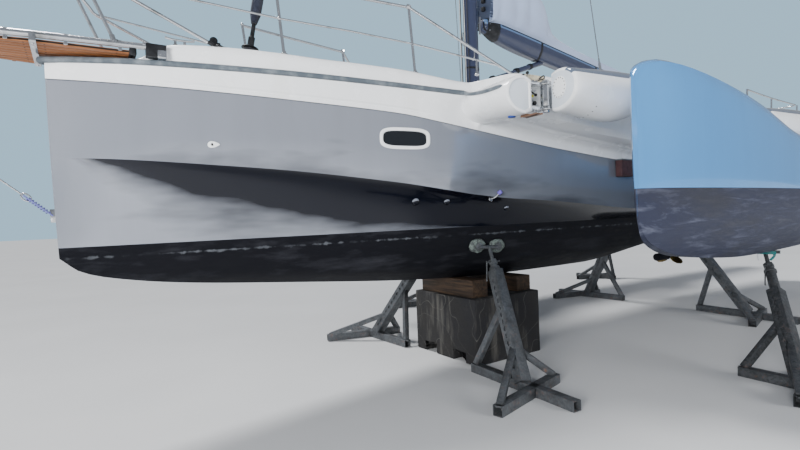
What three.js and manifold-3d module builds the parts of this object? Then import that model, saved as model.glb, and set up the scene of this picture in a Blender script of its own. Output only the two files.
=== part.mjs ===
// A folding trimaran sailing yacht, folded and propped ashore on a concrete keel block and jack stands.
// Millimetres, +X forward, +Y to port, +Z up. The origin is on the ground, at the middle of the keel block.
import * as THREE from 'three';
import { mergeVertices } from 'three/addons/utils/BufferGeometryUtils.js';
import Module from 'manifold-3d';

const wasm = await Module();
wasm.setup();

// Driving dimensions. A station is a distance aft of the main hull's stem.
const BLOCK_STATION = 4200;
const HULL_LENGTH = 11900;
const WATERLINE = 1500;
const GAP = 0.4;
const CABIN = { fore: 4850, aft: 8400, sole: 1480, wall: 60, halfOpening: 640 };
const COCKPIT = { fore: 8500, aft: 11450, floor: 2380, half: 620 };
const ROOF = { fore: 4700, wall: 35 };
const DOORWAY = { half: 310, sill: 2460, head: 3300 };
const MAST = { station: 4290, foot: 2990, head: 20500, chord: 205, width: 135 };
const BOOM = { station: 4450, height: 3950, swing: 7, droop: 3.5 };
const PIN = { radius: 28, hole: 32, y: 1415, clear: 78, arm: 180 };
const BEAM_STATIONS = { front: 3905, aft: 7950 };
const BEAM_LENGTH = 2400;
const FOLD_ANGLE = 74;
const FLOAT = { stem: 3950, length: 10200, y: 2250 };
const BLOCK = { length: 1000, width: 1100, height: 720 };

// Small helpers for places, tables and solids.
const X = (station) => BLOCK_STATION - station;
const at = (station, y, z) => [X(station), y, z];
const rad = THREE.MathUtils.degToRad;

// A column of a table at a station, on a smooth curve through the rows.
function look(table, name, station) {
  const last = table.length - 1;
  let k = table.findIndex((row, i) => i < last && station <= table[i + 1].s);
  if (k < 0) k = last - 1;
  const a = table[k], b = table[k + 1];
  const before = table[Math.max(k - 1, 0)], after = table[Math.min(k + 2, last)];
  const width = b.s - a.s;
  const t = THREE.MathUtils.clamp((station - a.s) / width, 0, 1);
  const rise = b[name] - a[name];
  const slope = (p, q) => (q.s > p.s ? (q[name] - p[name]) / (q.s - p.s) * width : 0);
  const limit = (m) => (m * rise <= 0 ? 0 : Math.sign(m) * Math.min(Math.abs(m), 3 * Math.abs(rise)));
  const m0 = limit(k === 0 ? rise : slope(before, b));
  const m1 = limit(k === last - 1 ? rise : slope(a, after));
  const t2 = t * t, t3 = t2 * t;
  return (2 * t3 - 3 * t2 + 1) * a[name] + (t3 - 2 * t2 + t) * m0
    + (3 * t2 - 2 * t3) * b[name] + (t3 - t2) * m1;
}

function rows(names, ...values) {
  return values.map((v) => Object.fromEntries(names.map((n, i) => [n, v[i]])));
}

function signedVolume(positions, index) {
  let sum = 0;
  const p = (i) => new THREE.Vector3(...positions.slice(3 * i, 3 * i + 3));
  for (let i = 0; i < index.length; i += 3) {
    sum += p(index[i]).dot(p(index[i + 1]).cross(p(index[i + 2])));
  }
  return sum / 6;
}

// A closed solid through rings of points, with both ends capped.
function loft(rings) {
  const n = rings[0].length;
  const positions = rings.flat(2);
  const index = [];
  for (let r = 0; r < rings.length - 1; r++) {
    for (let i = 0; i < n; i++) {
      const j = (i + 1) % n, a = r * n;
      index.push(a + i, a + j, a + n + j, a + i, a + n + j, a + n + i);
    }
  }
  for (const [r, flip] of [[0, true], [rings.length - 1, false]]) {
    const ring = rings[r].map((p) => new THREE.Vector3(...p));
    const normal = new THREE.Vector3();
    ring.forEach((p, i) => normal.add(p.clone().cross(ring[(i + 1) % n])));
    normal.normalize();
    const u = new THREE.Vector3(normal.y, normal.z, normal.x).cross(normal).normalize();
    const v = normal.clone().cross(u);
    const flat = ring.map((p) => new THREE.Vector2(p.dot(u), p.dot(v)));
    for (const face of THREE.ShapeUtils.triangulateShape(flat, [])) {
      const [a, b, c] = face.map((i) => r * n + i);
      index.push(...(flip ? [a, c, b] : [a, b, c]));
    }
  }
  return solidFrom(positions, index);
}

function solidFrom(positions, index) {
  if (signedVolume(positions, index) < 0) {
    for (let i = 0; i < index.length; i += 3) [index[i], index[i + 1]] = [index[i + 1], index[i]];
  }
  const mesh = new wasm.Mesh({
    numProp: 3, vertProperties: new Float32Array(positions), triVerts: new Uint32Array(index),
  });
  mesh.merge();
  return new wasm.Manifold(mesh);
}

function solidOf(geometry, matrix) {
  const g = geometry.clone();
  if (matrix) g.applyMatrix4(matrix);
  g.deleteAttribute('normal');
  g.deleteAttribute('uv');
  const merged = mergeVertices(g, 1e-3);
  const index = merged.index.array;
  const kept = [];
  for (let i = 0; i < index.length; i += 3) {
    const [a, b, c] = index.slice(i, i + 3);
    if (a !== b && b !== c && a !== c) kept.push(a, b, c);
  }
  return solidFrom(Array.from(merged.attributes.position.array), kept);
}

const join = (...parts) => parts.flat().reduce((a, b) => a.add(b));
const cut = (body, ...tools) => tools.flat().reduce((a, b) => a.subtract(b), body);

function box(x0, x1, y0, y1, z0, z1) {
  const m = new THREE.Matrix4().makeTranslation((x0 + x1) / 2, (y0 + y1) / 2, (z0 + z1) / 2);
  return solidOf(new THREE.BoxGeometry(Math.abs(x1 - x0), Math.abs(y1 - y0), Math.abs(z1 - z0)), m);
}

// A block between two stations.
const slab = (s0, s1, y0, y1, z0, z1) => box(X(s0), X(s1), y0, y1, z0, z1);

function post(x, y, z0, z1, radius, sides = 16, topRadius = radius) {
  const m = new THREE.Matrix4().makeTranslation(x, y, (z0 + z1) / 2)
    .multiply(new THREE.Matrix4().makeRotationX(Math.PI / 2));
  return solidOf(new THREE.CylinderGeometry(topRadius, radius, z1 - z0, sides), m);
}

// A tube or bar along a line of points, its section a regular polygon stretched to width and depth.
function bar(points, radius, sides = 8, depth = radius, spin = 0) {
  const p = points.map((q) => new THREE.Vector3(...q));
  const rings = p.map((q, i) => {
    const before = p[Math.max(i - 1, 0)], after = p[Math.min(i + 1, p.length - 1)];
    const along = after.clone().sub(before).normalize();
    const guide = Math.abs(along.z) < 0.9 ? new THREE.Vector3(0, 0, 1) : new THREE.Vector3(1, 0, 0);
    const side = along.clone().cross(guide).normalize();
    const up = side.clone().cross(along);
    const first = q.clone().sub(before), second = after.clone().sub(q);
    const bend = i > 0 && i < p.length - 1 ? Math.cos(first.angleTo(second) / 2) : 1;
    return Array.from({ length: sides }, (_, k) => {
      const a = spin + 2 * Math.PI * k / sides;
      const r = q.clone().addScaledVector(side, Math.cos(a) * radius / bend);
      return r.addScaledVector(up, Math.sin(a) * depth / bend).toArray();
    });
  });
  return loft(rings);
}

const square = (a, b, half) => bar([a, b], half * Math.SQRT2, 4, half * Math.SQRT2, Math.PI / 4);

const yacht = new THREE.Group();
function place(name, solid, color, roughness = 0.5, metalness = 0) {
  const { vertProperties, triVerts } = solid.getMesh();
  const g = new THREE.BufferGeometry();
  g.setAttribute('position', new THREE.BufferAttribute(new Float32Array(vertProperties), 3));
  g.setIndex(new THREE.BufferAttribute(new Uint32Array(triVerts), 1));
  g.computeVertexNormals();
  const mesh = new THREE.Mesh(g, new THREE.MeshStandardMaterial({ color, roughness, metalness }));
  mesh.name = name;
  yacht.add(mesh);
  return mesh;
}

const COLOR = {
  topside: 0xa2a6ac,
  white: 0xe4e6e8,
  trim: 0x69747a,
  steel: 0xb8bbbe,
  teak: 0xa5643c,
  carbon: 0x20242c,
  glass: 0x14181c,
  antifoul: 0x24242a,
  cloth: 0x8d9096,
  concrete: 0x4b4b48,
  stand: 0x5a5c5e,
  timber: 0x7a6248,
  bronze: 0xa08850,
};

// Main hull. Half breadths and heights of its lines: sheer, foot of the white band, knuckle, the shelf
// below it, waterline and keel.
const HULL = rows(
  ['s', 'deckY', 'deckZ', 'bandY', 'bandZ', 'knuckleY', 'knuckleZ', 'shelf', 'waterY', 'keelY', 'keelZ'],
  [0, 16, 2910, 16, 2770, 15, 2182, 0, 12, 8, 1425],
  [150, 80, 2915, 78, 2762, 70, 2178, 4, 36, 16, 1310],
  [500, 205, 2915, 198, 2745, 176, 2165, 20, 92, 28, 1222],
  [1000, 360, 2904, 350, 2715, 318, 2130, 60, 165, 40, 1150],
  [1800, 560, 2882, 548, 2660, 505, 2065, 100, 288, 60, 1072],
  [2750, 718, 2856, 700, 2600, 655, 1960, 125, 410, 80, 985],
  [3150, 765, 2846, 755, 2545, 715, 1900, 130, 458, 88, 955],
  [3520, 822, 2842, 811, 2486, 755, 1843, 130, 496, 93, 933],
  [3660, 1270, 2858, 826, 2465, 769, 1827, 130, 508, 95, 927],
  [3900, 1335, 2880, 850, 2430, 792, 1800, 130, 530, 98, 918],
  [4700, 1340, 2888, 915, 2325, 868, 1745, 130, 576, 105, 898],
  [6200, 1335, 2890, 962, 2205, 935, 1625, 130, 620, 110, 905],
  [7950, 1320, 2878, 968, 2190, 948, 1610, 130, 616, 105, 1105],
  [8700, 1180, 2860, 955, 2210, 936, 1625, 120, 590, 95, 1210],
  [10000, 980, 2815, 915, 2260, 890, 1665, 100, 520, 70, 1365],
  [11900, 900, 2760, 850, 2320, 815, 1735, 70, 400, 40, 1482],
);
// How far the deck's edge rises above the sheer: low under the bowsprit, high on the foredeck.
const DECK_RISE = rows(
  ['s', 'rise'],
  [0, 20],
  [600, 24],
  [820, 148],
  [1000, 172],
  [1400, 180],
  [1800, 172],
  [2050, 165],
  [2350, 166],
  [2800, 161],
  [3000, 150],
  [3250, 132],
  [3500, 114],
  [3660, 84],
  [3900, 62],
  [11900, 60],
);
const line = (name, s) => look(HULL, name, s);

// Where the deck is much wider than the hull, a cove and a flat shelf under the wing come in.
const WING = { start: 100, full: 350, coveY: 85, coveZ: 115, lip: 35, lipZ: 175 };
function wingPoints(s) {
  const { lerp, clamp } = THREE.MathUtils;
  const bandY = line('bandY', s), bandZ = line('bandZ', s);
  const deckY = line('deckY', s), low = line('deckZ', s) - 60;
  const share = clamp((deckY - bandY - WING.start) / (WING.full - WING.start), 0, 1);
  const wing = [[bandY + WING.coveY, bandZ + WING.coveZ], [deckY - WING.lip, bandZ + WING.lipZ]];
  return [0.4, 0.8].map((t, k) => [
    lerp(lerp(bandY, deckY, t), wing[k][0], share), lerp(lerp(bandZ, low, t), wing[k][1], share),
  ]);
}

function hullHalf(s) {
  const keelZ = line('keelZ', s), waterY = line('waterY', s);
  const knuckleY = line('knuckleY', s), knuckleZ = line('knuckleZ', s);
  return [
    [line('keelY', s), keelZ],
    [waterY * 0.62 + line('keelY', s) * 0.2, keelZ + (WATERLINE - keelZ) * 0.24],
    [waterY * 0.9, keelZ + (WATERLINE - keelZ) * 0.62],
    [waterY, WATERLINE + 5],
    [knuckleY - line('shelf', s), knuckleZ - 25 - line('shelf', s) * 0.25],
    [knuckleY, knuckleZ],
    [line('bandY', s), line('bandZ', s)],
    ...wingPoints(s),
    [line('deckY', s), line('deckZ', s) - 60],
    [line('deckY', s), line('deckZ', s)],
  ];
}

// The stem rakes a little, more towards the forefoot.
const STEM = { top: 45, foot: 30, fade: 1500 };
function stemRake(s, z) {
  const down = (2900 - z) / (2900 - 1450);
  return (STEM.top + STEM.foot * down * down) * Math.max(0, 1 - s / STEM.fade) ** 2;
}
const raked = (s, y, z) => at(s + stemRake(s, z), y, z);
const wholeRing = (s, half) => [
  ...half.map(([y, z]) => raked(s, y, z)), ...half.map(([y, z]) => raked(s, -y, z)).reverse(),
];
const HULL_STATIONS = [
  0, 60, 150, 300, 500, 620, 720, 820, 1000, 1400, 1800, 2250, 2750, 3000, 3250, 3520, 3590, 3660, 3900,
  4700, 5400, 6200, 7100, 7950, 8300, 8700, 9300, 10000, 10900, HULL_LENGTH,
];

// The hinge stubs that carry the folding beams, with a round nose forward and a flat face outboard.
const STUB = {
  chord: 330, low: 2530, high: 2886, outer: 1400, offset: 165, inner: { front: 760, aft: 900 },
};
function stubOutline(chord, low, high) {
  const mid = (low + high) / 2, half = (high - low) / 2, nose = chord * 0.75;
  const arc = Array.from({ length: 9 }, (_, k) => Math.PI / 2 + Math.PI * k / 8);
  const front = arc.map((a) => [chord - nose - nose * Math.cos(a), mid + half * Math.sin(a)]);
  return [[0, low + 30], ...front.reverse(), [0, high - 30]];
}

function stub(beam, side, grow = 0) {
  const aft = BEAM_STATIONS[beam] - STUB.offset;
  const outline = stubOutline(STUB.chord + 2 * grow, STUB.low - grow, STUB.high + grow);
  const ring = (y) => outline.map(([v, z]) => at(aft + grow - v, side * y, z));
  return loft([ring(STUB.inner[beam] - grow), ring(STUB.outer + grow)]);
}

const SIDES = [['port', 1], ['starboard', -1]];
const BEAMS = ['front', 'aft'];
const everyStub = (make) => SIDES.flatMap(([, side]) => BEAMS.map((beam) => make(beam, side)));
const pinAt = (beam, side) => [X(BEAM_STATIONS[beam]), side * PIN.y];
// Each pin stands in an open notch of the wing.
const NOTCH = { fore: 160, aft: 95, inner: 1290, outer: 1500 };
const notches = everyStub((beam, side) => {
  const fore = BEAM_STATIONS[beam] - NOTCH.fore, aft = BEAM_STATIONS[beam] + NOTCH.aft;
  return slab(fore, aft, side * NOTCH.inner, side * NOTCH.outer, 2300, 3100);
});

function cabinRing(s) {
  const half = [
    [430, CABIN.sole],
    [line('knuckleY', s) - 150, line('knuckleZ', s) + 40],
    [line('bandY', s) - CABIN.wall, line('bandZ', s) + 40],
    [line('bandY', s) - CABIN.wall, line('deckZ', s) + 60],
  ];
  return wholeRing(s, half);
}

const cabinSpace = loft([CABIN.fore, 5400, 6200, 7100, 7900, CABIN.aft].map(cabinRing));
const cockpitWell = slab(COCKPIT.fore, COCKPIT.aft, -COCKPIT.half, COCKPIT.half, COCKPIT.floor, 3400);
const doorHole = slab(
  CABIN.aft - 60, COCKPIT.fore + 60, -DOORWAY.half, DOORWAY.half, DOORWAY.sill, DOORWAY.head,
);
const BOARD = { pivot: 5480, height: 1160, radius: 235, length: 1850, width: 46, slot: 62 };
const boardSlot = slab(
  BOARD.pivot - 290, BOARD.pivot + BOARD.length + 40, -BOARD.slot / 2, BOARD.slot / 2, 700, 1422,
);

const widened = (s) => hullHalf(s).map(([y, z]) => [y + GAP, z]);
const hullLoft = loft(HULL_STATIONS.map((s) => wholeRing(s, hullHalf(s))));
const hullClear = join(
  loft(HULL_STATIONS.map((s) => wholeRing(s, widened(s)))),
  hullLoft.translate([GAP, 0, 0]),
  hullLoft.translate([0, 0, -GAP]),
);
const stubClear = everyStub((beam, side) => stub(beam, side, GAP));
const hullSolid = cut(hullLoft, cabinSpace, cockpitWell, doorHole, boardSlot, notches, stubClear);
place('main_hull', hullSolid, COLOR.topside, 0.25);

// Deck moulding with a rounded edge, its wings out to the beams, and the four stubs.
const riseAt = (s) => look(DECK_RISE, 'rise', s);
const crownAt = (s) => Math.min(60, line('deckY', s) * 0.06);
function deckTop(s, y) {
  const t = Math.min(Math.abs(y) / line('deckY', s), 0.95);
  const fall = t < 0.45 ? 0.25 * t / 0.45 : 0.25 + 0.75 * (t - 0.45) / 0.5;
  return line('deckZ', s) + riseAt(s) + crownAt(s) * (1 - fall);
}
function deckRing(s, grow = 0) {
  const y = line('deckY', s) + grow, z = line('deckZ', s), rise = riseAt(s), crown = crownAt(s);
  const inner = Math.max(y - 60, y * 0.5), mid = (y * 2 + inner) / 3;
  const top = [[y, z + GAP], [y, z + rise * 0.45], [mid, z + rise * 0.85], [inner, z + rise],
    [y * 0.45, z + rise + crown * 0.75]];
  return [...top.map(([a, h]) => raked(s, a, h)), raked(s, 0, z + rise + crown),
    ...top.map(([a, h]) => raked(s, -a, h)).reverse()];
}
const cabinOpening = slab(CABIN.fore + 60, CABIN.aft, -CABIN.halfOpening, CABIN.halfOpening, 2600, 3400);
const FOREHATCH = { fore: 2050, length: 620, half: 300 };
const hatchHole = slab(FOREHATCH.fore + 40, FOREHATCH.fore + FOREHATCH.length - 40,
  -FOREHATCH.half + 40, FOREHATCH.half - 40, 2900, 3200);
const deckLoft = loft(HULL_STATIONS.map((s) => deckRing(s)));
const deckSolid = cut(join(deckLoft, everyStub((b, side) => stub(b, side))),
  cabinOpening, cockpitWell, doorHole, hatchHole, notches);
place('deck', deckSolid, COLOR.white, 0.3);

// Grey rubbing strip along the sheer, round the stem and back along the other side.
function rubbingStrip() {
  const stations = [3440, 3300, 3150, 2750, 2250, 1800, 1400, 1000, 750, 500, 300, 150];
  const proud = 3 + GAP;
  const below = 4;
  const edge = (s, side) => raked(s, side * (line('deckY', s) + proud), line('deckZ', s) - below);
  const stem = Array.from({ length: 7 }, (_, k) => {
    const a = Math.PI * k / 6;
    return [X(STEM.top) + 14 + 16 * Math.sin(a), 26 * Math.cos(a), line('deckZ', 0) - below];
  });
  const path = [...stations.map((s) => edge(s, 1)), ...stem, ...stations.reverse().map((s) => edge(s, -1))];
  const deckWide = loft(HULL_STATIONS.map((s) => deckRing(s, GAP)));
  const hullUp = hullLoft.translate([0, 0, GAP]), deckDown = deckWide.translate([0, 0, -2 * GAP]);
  return cut(bar(path, 20, 6, 22), hullClear, hullUp, deckWide, deckDown, deckLoft.translate([GAP, 0, 0]));
}
const strip = rubbingStrip();
place('rubbing_strip', strip, COLOR.trim, 0.5);

// Coachroof: a shell with side and front windows cut, and a way out aft under the sliding hatch.
const ROOFLINE = rows(
  ['s', 'baseY', 'topY', 'topZ'],
  [4700, 560, 420, 3100],
  [5050, 690, 540, 3270],
  [5600, 740, 600, 3370],
  [6600, 745, 620, 3415],
  [7600, 740, 620, 3420],
  [8500, 725, 610, 3410],
);
function roofRing(s, inset) {
  const base = look(ROOFLINE, 'baseY', s) - inset, top = look(ROOFLINE, 'topY', s) - inset;
  const z = look(ROOFLINE, 'topZ', s) - inset;
  const foot = line('deckZ', s) - (inset ? 40 : 0) + 60;
  const half = [[base, foot], [base - 15, foot + 110], [top, z - 70], [top - 70, z - 18], [top * 0.5, z]];
  return [...half.map(([y, h]) => at(s, y, h)), ...half.map(([y, h]) => at(s, -y, h)).reverse()];
}
const ROOF_STATIONS = [4700, 4850, 5050, 5300, 5600, 6100, 6600, 7600, 8100, 8500];
const deckFilled = join(deckLoft, everyStub((b, side) => stub(b, side)));
const SIDE_WINDOW = { fore: 5350, aft: 7650, low: 3110, high: 3300 };
const sideWindows = slab(SIDE_WINDOW.fore, SIDE_WINDOW.aft, -900, 900, SIDE_WINDOW.low, SIDE_WINDOW.high);
const HATCHWAY = { fore: 7780, half: 300 };
const roofHatchHole = slab(HATCHWAY.fore, 8600, -HATCHWAY.half, HATCHWAY.half, 3300, 3600);
const HOLLOW_STATIONS = [4880, 5050, 5300, 5600, 6100, 6600, 7600, 8100, 8440];
const roofHollow = loft(HOLLOW_STATIONS.map((s) => roofRing(s, ROOF.wall)));
const roofOuter = loft(ROOF_STATIONS.map((s) => roofRing(s, 0)));
const openHoles = [roofHollow, doorHole, roofHatchHole];
const roofSolid = cut(roofOuter, openHoles, sideWindows, deckFilled.translate([0, 0, GAP]));
const aheadOfWindows = slab(ROOF.fore - 100, SIDE_WINDOW.fore, -900, 900, 2600, 3600);
place('coachroof_front', roofSolid.intersect(aheadOfWindows), COLOR.white, 0.3);
place('coachroof', cut(roofSolid, aheadOfWindows.translate([-GAP, 0, 0])), COLOR.white, 0.3);

// Window panes, set in the cut openings.
function windowPane(side) {
  const outer = loft(ROOF_STATIONS.map((s) => roofRing(s, 3)));
  const inner = loft(ROOF_STATIONS.map((s) => roofRing(s, 15)));
  const w = SIDE_WINDOW, y = side > 0 ? [100, 900] : [-900, -100];
  const frame = slab(w.fore + GAP, w.aft - GAP, ...y, w.low + GAP, w.high - GAP);
  return cut(outer, inner).intersect(frame);
}
for (const [name, side] of SIDES) place(`cabin_window_${name}`, windowPane(side), COLOR.glass, 0.1);

// Hatches, door and engine.
function foreHatch() {
  const { fore, length, half } = FOREHATCH;
  const z = Math.max(deckTop(fore, 0), deckTop(fore + length, 0)) + 12;
  return slab(fore, fore + length, -half, half, z, z + 38);
}
place('foredeck_hatch', foreHatch(), COLOR.glass, 0.2);
const SLIDE = { fore: 7740, aft: 8490, half: 345, low: 3428, high: 3462 };
place('companionway_hatch', slab(SLIDE.fore, SLIDE.aft, -SLIDE.half, SLIDE.half, SLIDE.low, SLIDE.high),
  COLOR.white, 0.3);
const DOOR = { thick: 28, gap: 8 };
place('companionway_door', slab(COCKPIT.fore + DOOR.gap, COCKPIT.fore + DOOR.gap + DOOR.thick,
  -DOORWAY.half - 20, DOORWAY.half + 20, DOORWAY.sill - 20, 3330), COLOR.glass, 0.2);
place('engine', slab(7600, 8300, -290, 290, CABIN.sole + GAP, 2130), COLOR.white, 0.6);

// Bowsprit: a stainless A frame with planking between its tubes, stayed down to the stem.
const SPRIT = {
  tip: -1350, foot: 800, z: 3000, tube: 24, tipY: 90, footY: 322, stemY: 285, rise: 10,
  planksEnd: 580, planksLow: -50, planksHigh: -27,
};
const spritSide = (side) => [
  at(SPRIT.foot, side * SPRIT.footY, SPRIT.z + 12),
  at(0, side * SPRIT.stemY, SPRIT.z),
  at(SPRIT.tip, side * SPRIT.tipY, SPRIT.z + SPRIT.rise),
];
function bowspritFrame() {
  const tip = (side) => at(SPRIT.tip, side * SPRIT.tipY, SPRIT.z + SPRIT.rise);
  const tipBar = bar([tip(-1), tip(1)], 30, 10);
  const crossY = THREE.MathUtils.mapLinear(-700, 0, SPRIT.tip, SPRIT.stemY, SPRIT.tipY);
  const cross = bar([at(-700, -crossY, SPRIT.z + 4), at(-700, crossY, SPRIT.z + 4)], 20, 8);
  const strap = join(
    slab(-25, 15, -312, 312, SPRIT.z - 62, SPRIT.z - 52),
    SIDES.map(([, side]) => slab(-25, 15, side * 290, side * 312, SPRIT.z - 62, SPRIT.z)),
  );
  const feet = SIDES.map(([, side]) => slab(SPRIT.foot - 130, SPRIT.foot + 40,
    side * SPRIT.footY - 30, side * SPRIT.footY + 30, SPRIT.z - 50, SPRIT.z + 32));
  const tubes = SIDES.map(([, side]) => bar(spritSide(side), SPRIT.tube, 10));
  return cut(join(tubes, tipBar, cross, strap, feet), deckFilled.translate([0, 0, GAP]));
}
const spritFrame = bowspritFrame();
place('bowsprit_frame', spritFrame, COLOR.steel, 0.25, 1);
const wholeOutline = (half, z) => [
  ...half.map(([s, y]) => at(s, y, z)), ...half.map(([s, y]) => at(s, -y, z)).reverse(),
];
function spritPlanks() {
  const half = [SPRIT.tip + 100, 0, SPRIT.planksEnd].map((s) => {
    const [end, endY] = s < 0 ? [SPRIT.tip, SPRIT.tipY] : [SPRIT.foot, SPRIT.footY];
    return [s, THREE.MathUtils.mapLinear(s, 0, end, SPRIT.stemY, endY) - 6];
  });
  const rings = [SPRIT.planksLow, SPRIT.planksHigh].map((up) => wholeOutline(half, SPRIT.z + up));
  const frameClear = [GAP, -GAP].map((up) => spritFrame.translate([0, 0, up]));
  return cut(loft(rings), deckFilled.translate([0, 0, GAP]), frameClear);
}
place('bowsprit_planks', spritPlanks(), COLOR.teak, 0.6);
const BOBSTAY = { low: 1750, radius: 14 };
place('bobstay', bar([raked(-14, 0, BOBSTAY.low), at(SPRIT.tip + 40, 0, SPRIT.z - 24)], BOBSTAY.radius, 10),
  COLOR.steel, 0.3, 1);

// Pulpit and guard rails of steel tube. The forward legs of the pulpit stand on the bowsprit's tubes.
const RAIL = { high: 620, tube: 13, fore: 1730, aft: 2950, foreZ: 3013, aftZ: 2990 };
const railY = (s) => line('deckY', s) - 70;
const onDeck = (s, y, up) => at(s, y, deckTop(s, Math.abs(y)) + up);
function guardRail(side) {
  const base = (s) => THREE.MathUtils.mapLinear(s, RAIL.fore, RAIL.aft, RAIL.foreZ, RAIL.aftZ);
  const head = (s, up) => {
    const t = up / RAIL.high;
    return at(s - 60 * t, side * (railY(s) + 20 * t), base(s) + up);
  };
  const stanchions = [RAIL.fore, RAIL.aft].map((s) => bar(
    [onDeck(s, side * railY(s), -12), head(s, RAIL.high)], RAIL.tube, 6));
  const mix = (a, b, t) => a.map((v, i) => v + (b[i] - v) * t);
  const topBend = head(RAIL.aft, RAIL.high - 3), stubFoot = onDeck(3750, side * 1200, -12);
  const top = bar([head(RAIL.fore, RAIL.high - 3), head(2340, RAIL.high), topBend, stubFoot], RAIL.tube, 6);
  const bend = head(RAIL.aft, 285), midEnd = mix(topBend, stubFoot, 0.84);
  const middle = bar([head(RAIL.fore, 340), bend, midEnd], 9, 6);
  const [px, py, pz] = mix(bend, midEnd, 0.74);
  const prop = bar([onDeck(BLOCK_STATION - px, py, -12), [px, py, pz]], 9, 6);
  return cut(join(stanchions, top, middle, prop), deckFilled.translate([0, 0, GAP]));
}
for (const [name, side] of SIDES) place(`guard_rail_${name}`, guardRail(side), COLOR.steel, 0.25, 1);

function pulpit() {
  const top = SPRIT.z + RAIL.high;
  const half = SIDES.map(([, side]) => [
    bar([at(490, side * 307, SPRIT.z + 16), at(240, side * 296, top)], RAIL.tube, 6),
    bar([onDeck(1220, side * 360, -12), at(400, side * 345, SPRIT.z + 440), at(240, side * 296, top - 4)],
      RAIL.tube, 6),
    bar([at(250, side * 297, top - 4), at(60, side * 215, top), at(-60, 0, top + 4)], RAIL.tube, 6),
  ]);
  return cut(join(half.flat()), deckFilled.translate([0, 0, GAP]), spritFrame.translate([0, 0, GAP]));
}
place('pulpit', pulpit(), COLOR.steel, 0.25, 1);

function sternRail(side) {
  const z = deckTop(11000, 800);
  const foot = (s, y) => at(s, side * y, deckTop(s, y) - 12);
  const head = (s, y, up) => at(s, side * y, z + up);
  const parts = [
    bar([foot(9300, 950), head(9300, 965, RAIL.high)], RAIL.tube, 6),
    bar([foot(10500, 850), head(10500, 870, RAIL.high)], RAIL.tube, 6),
    bar([foot(11780, 800), head(11800, 820, RAIL.high)], RAIL.tube, 6),
    bar([foot(11780, 420), head(11800, 420, RAIL.high)], RAIL.tube, 6),
    bar([head(9300, 965, RAIL.high - 3), head(10500, 870, RAIL.high - 3), head(11700, 822, RAIL.high - 3),
      head(11800, 720, RAIL.high - 3), head(11800, 415, RAIL.high - 3)], RAIL.tube, 6),
    bar([head(9300, 960, 300), head(10500, 862, 300), head(11790, 812, 300), head(11790, 420, 300)], 9, 6),
  ];
  return cut(join(parts), deckFilled.translate([0, 0, GAP]));
}
for (const [name, side] of SIDES) place(`stern_rail_${name}`, sternRail(side), COLOR.steel, 0.25, 1);

// Mast with two pairs of swept spreaders.
const SPREADERS = rows(['z', 'out', 'aft'], [8630, 820, 330], [12630, 690, 330]);
function mast() {
  const heights = [MAST.foot, 15500, MAST.head];
  const tube = bar(heights.map((z) => at(MAST.station, 0, z)), MAST.width / 2, 14, MAST.chord / 2);
  const step = slab(MAST.station - 130, MAST.station + 130, -110, 110, MAST.foot - 6, MAST.foot + 45);
  const spreaders = SPREADERS.flatMap((r) => SIDES.map(([, side]) => bar(
    [at(MAST.station + 20, side * 40, r.z - 30), at(MAST.station + r.aft, side * r.out, r.z)], 45, 6, 16)));
  return cut(join(tube, step, spreaders), deckFilled.translate([0, 0, GAP]), roofOuter);
}
place('mast', mast(), COLOR.carbon, 0.35);

// Boom with the flaked mainsail on top, turned a little to starboard.
const boomFrame = new THREE.Matrix4().makeTranslation(...at(BOOM.station, 0, BOOM.height))
  .multiply(new THREE.Matrix4().makeRotationZ(rad(BOOM.swing)))
  .multiply(new THREE.Matrix4().makeRotationY(rad(-BOOM.droop)));
const onBoom = (a, y, z) => new THREE.Vector3(-a, y, z).applyMatrix4(boomFrame).toArray();
const BOOM_SECTIONS = rows(
  ['s', 'half', 'low', 'high'],
  [10, 45, -60, 80],
  [250, 95, -115, 120],
  [900, 115, -150, 120],
  [4300, 115, -140, 120],
  [5100, 95, -60, 105],
  [5300, 60, -20, 70],
);
const boomRing = (s, half) => [
  ...half.map(([y, z]) => onBoom(s, y, z)), ...half.map(([y, z]) => onBoom(s, -y, z)).reverse(),
];
function boomSolid() {
  return loft(BOOM_SECTIONS.map((r) => boomRing(r.s, [
    [0.6 * r.half, r.low], [r.half, r.low * 0.3], [r.half, r.high * 0.55], [0.8 * r.half, r.high],
  ])));
}
place('boom', boomSolid(), COLOR.carbon, 0.3);
const STOW = rows(
  ['s', 'half', 'high'],
  [70, 120, 900],
  [250, 130, 860],
  [600, 150, 760],
  [1150, 150, 560],
  [1400, 120, 150],
  [2200, 100, 60],
  [4300, 85, 40],
  [5000, 50, 22],
);
function stowedSail() {
  return loft(STOW.map((r) => {
    const foot = look(BOOM_SECTIONS, 'high', r.s) + 8;
    return boomRing(r.s, [
      [0.75 * r.half, foot],
      [r.half, foot + r.high * 0.25],
      [0.9 * r.half, foot + r.high * 0.7],
      [0.3 * r.half, foot + r.high],
    ]);
  }));
}
place('mainsail_stowed', stowedSail(), COLOR.cloth, 0.9);
place('vang', cut(bar([onBoom(1400, 0, -100), at(BOOM.station, 0, 3260)], 26, 8),
  boomSolid().translate([0, 0, -GAP])), COLOR.carbon, 0.4);

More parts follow.
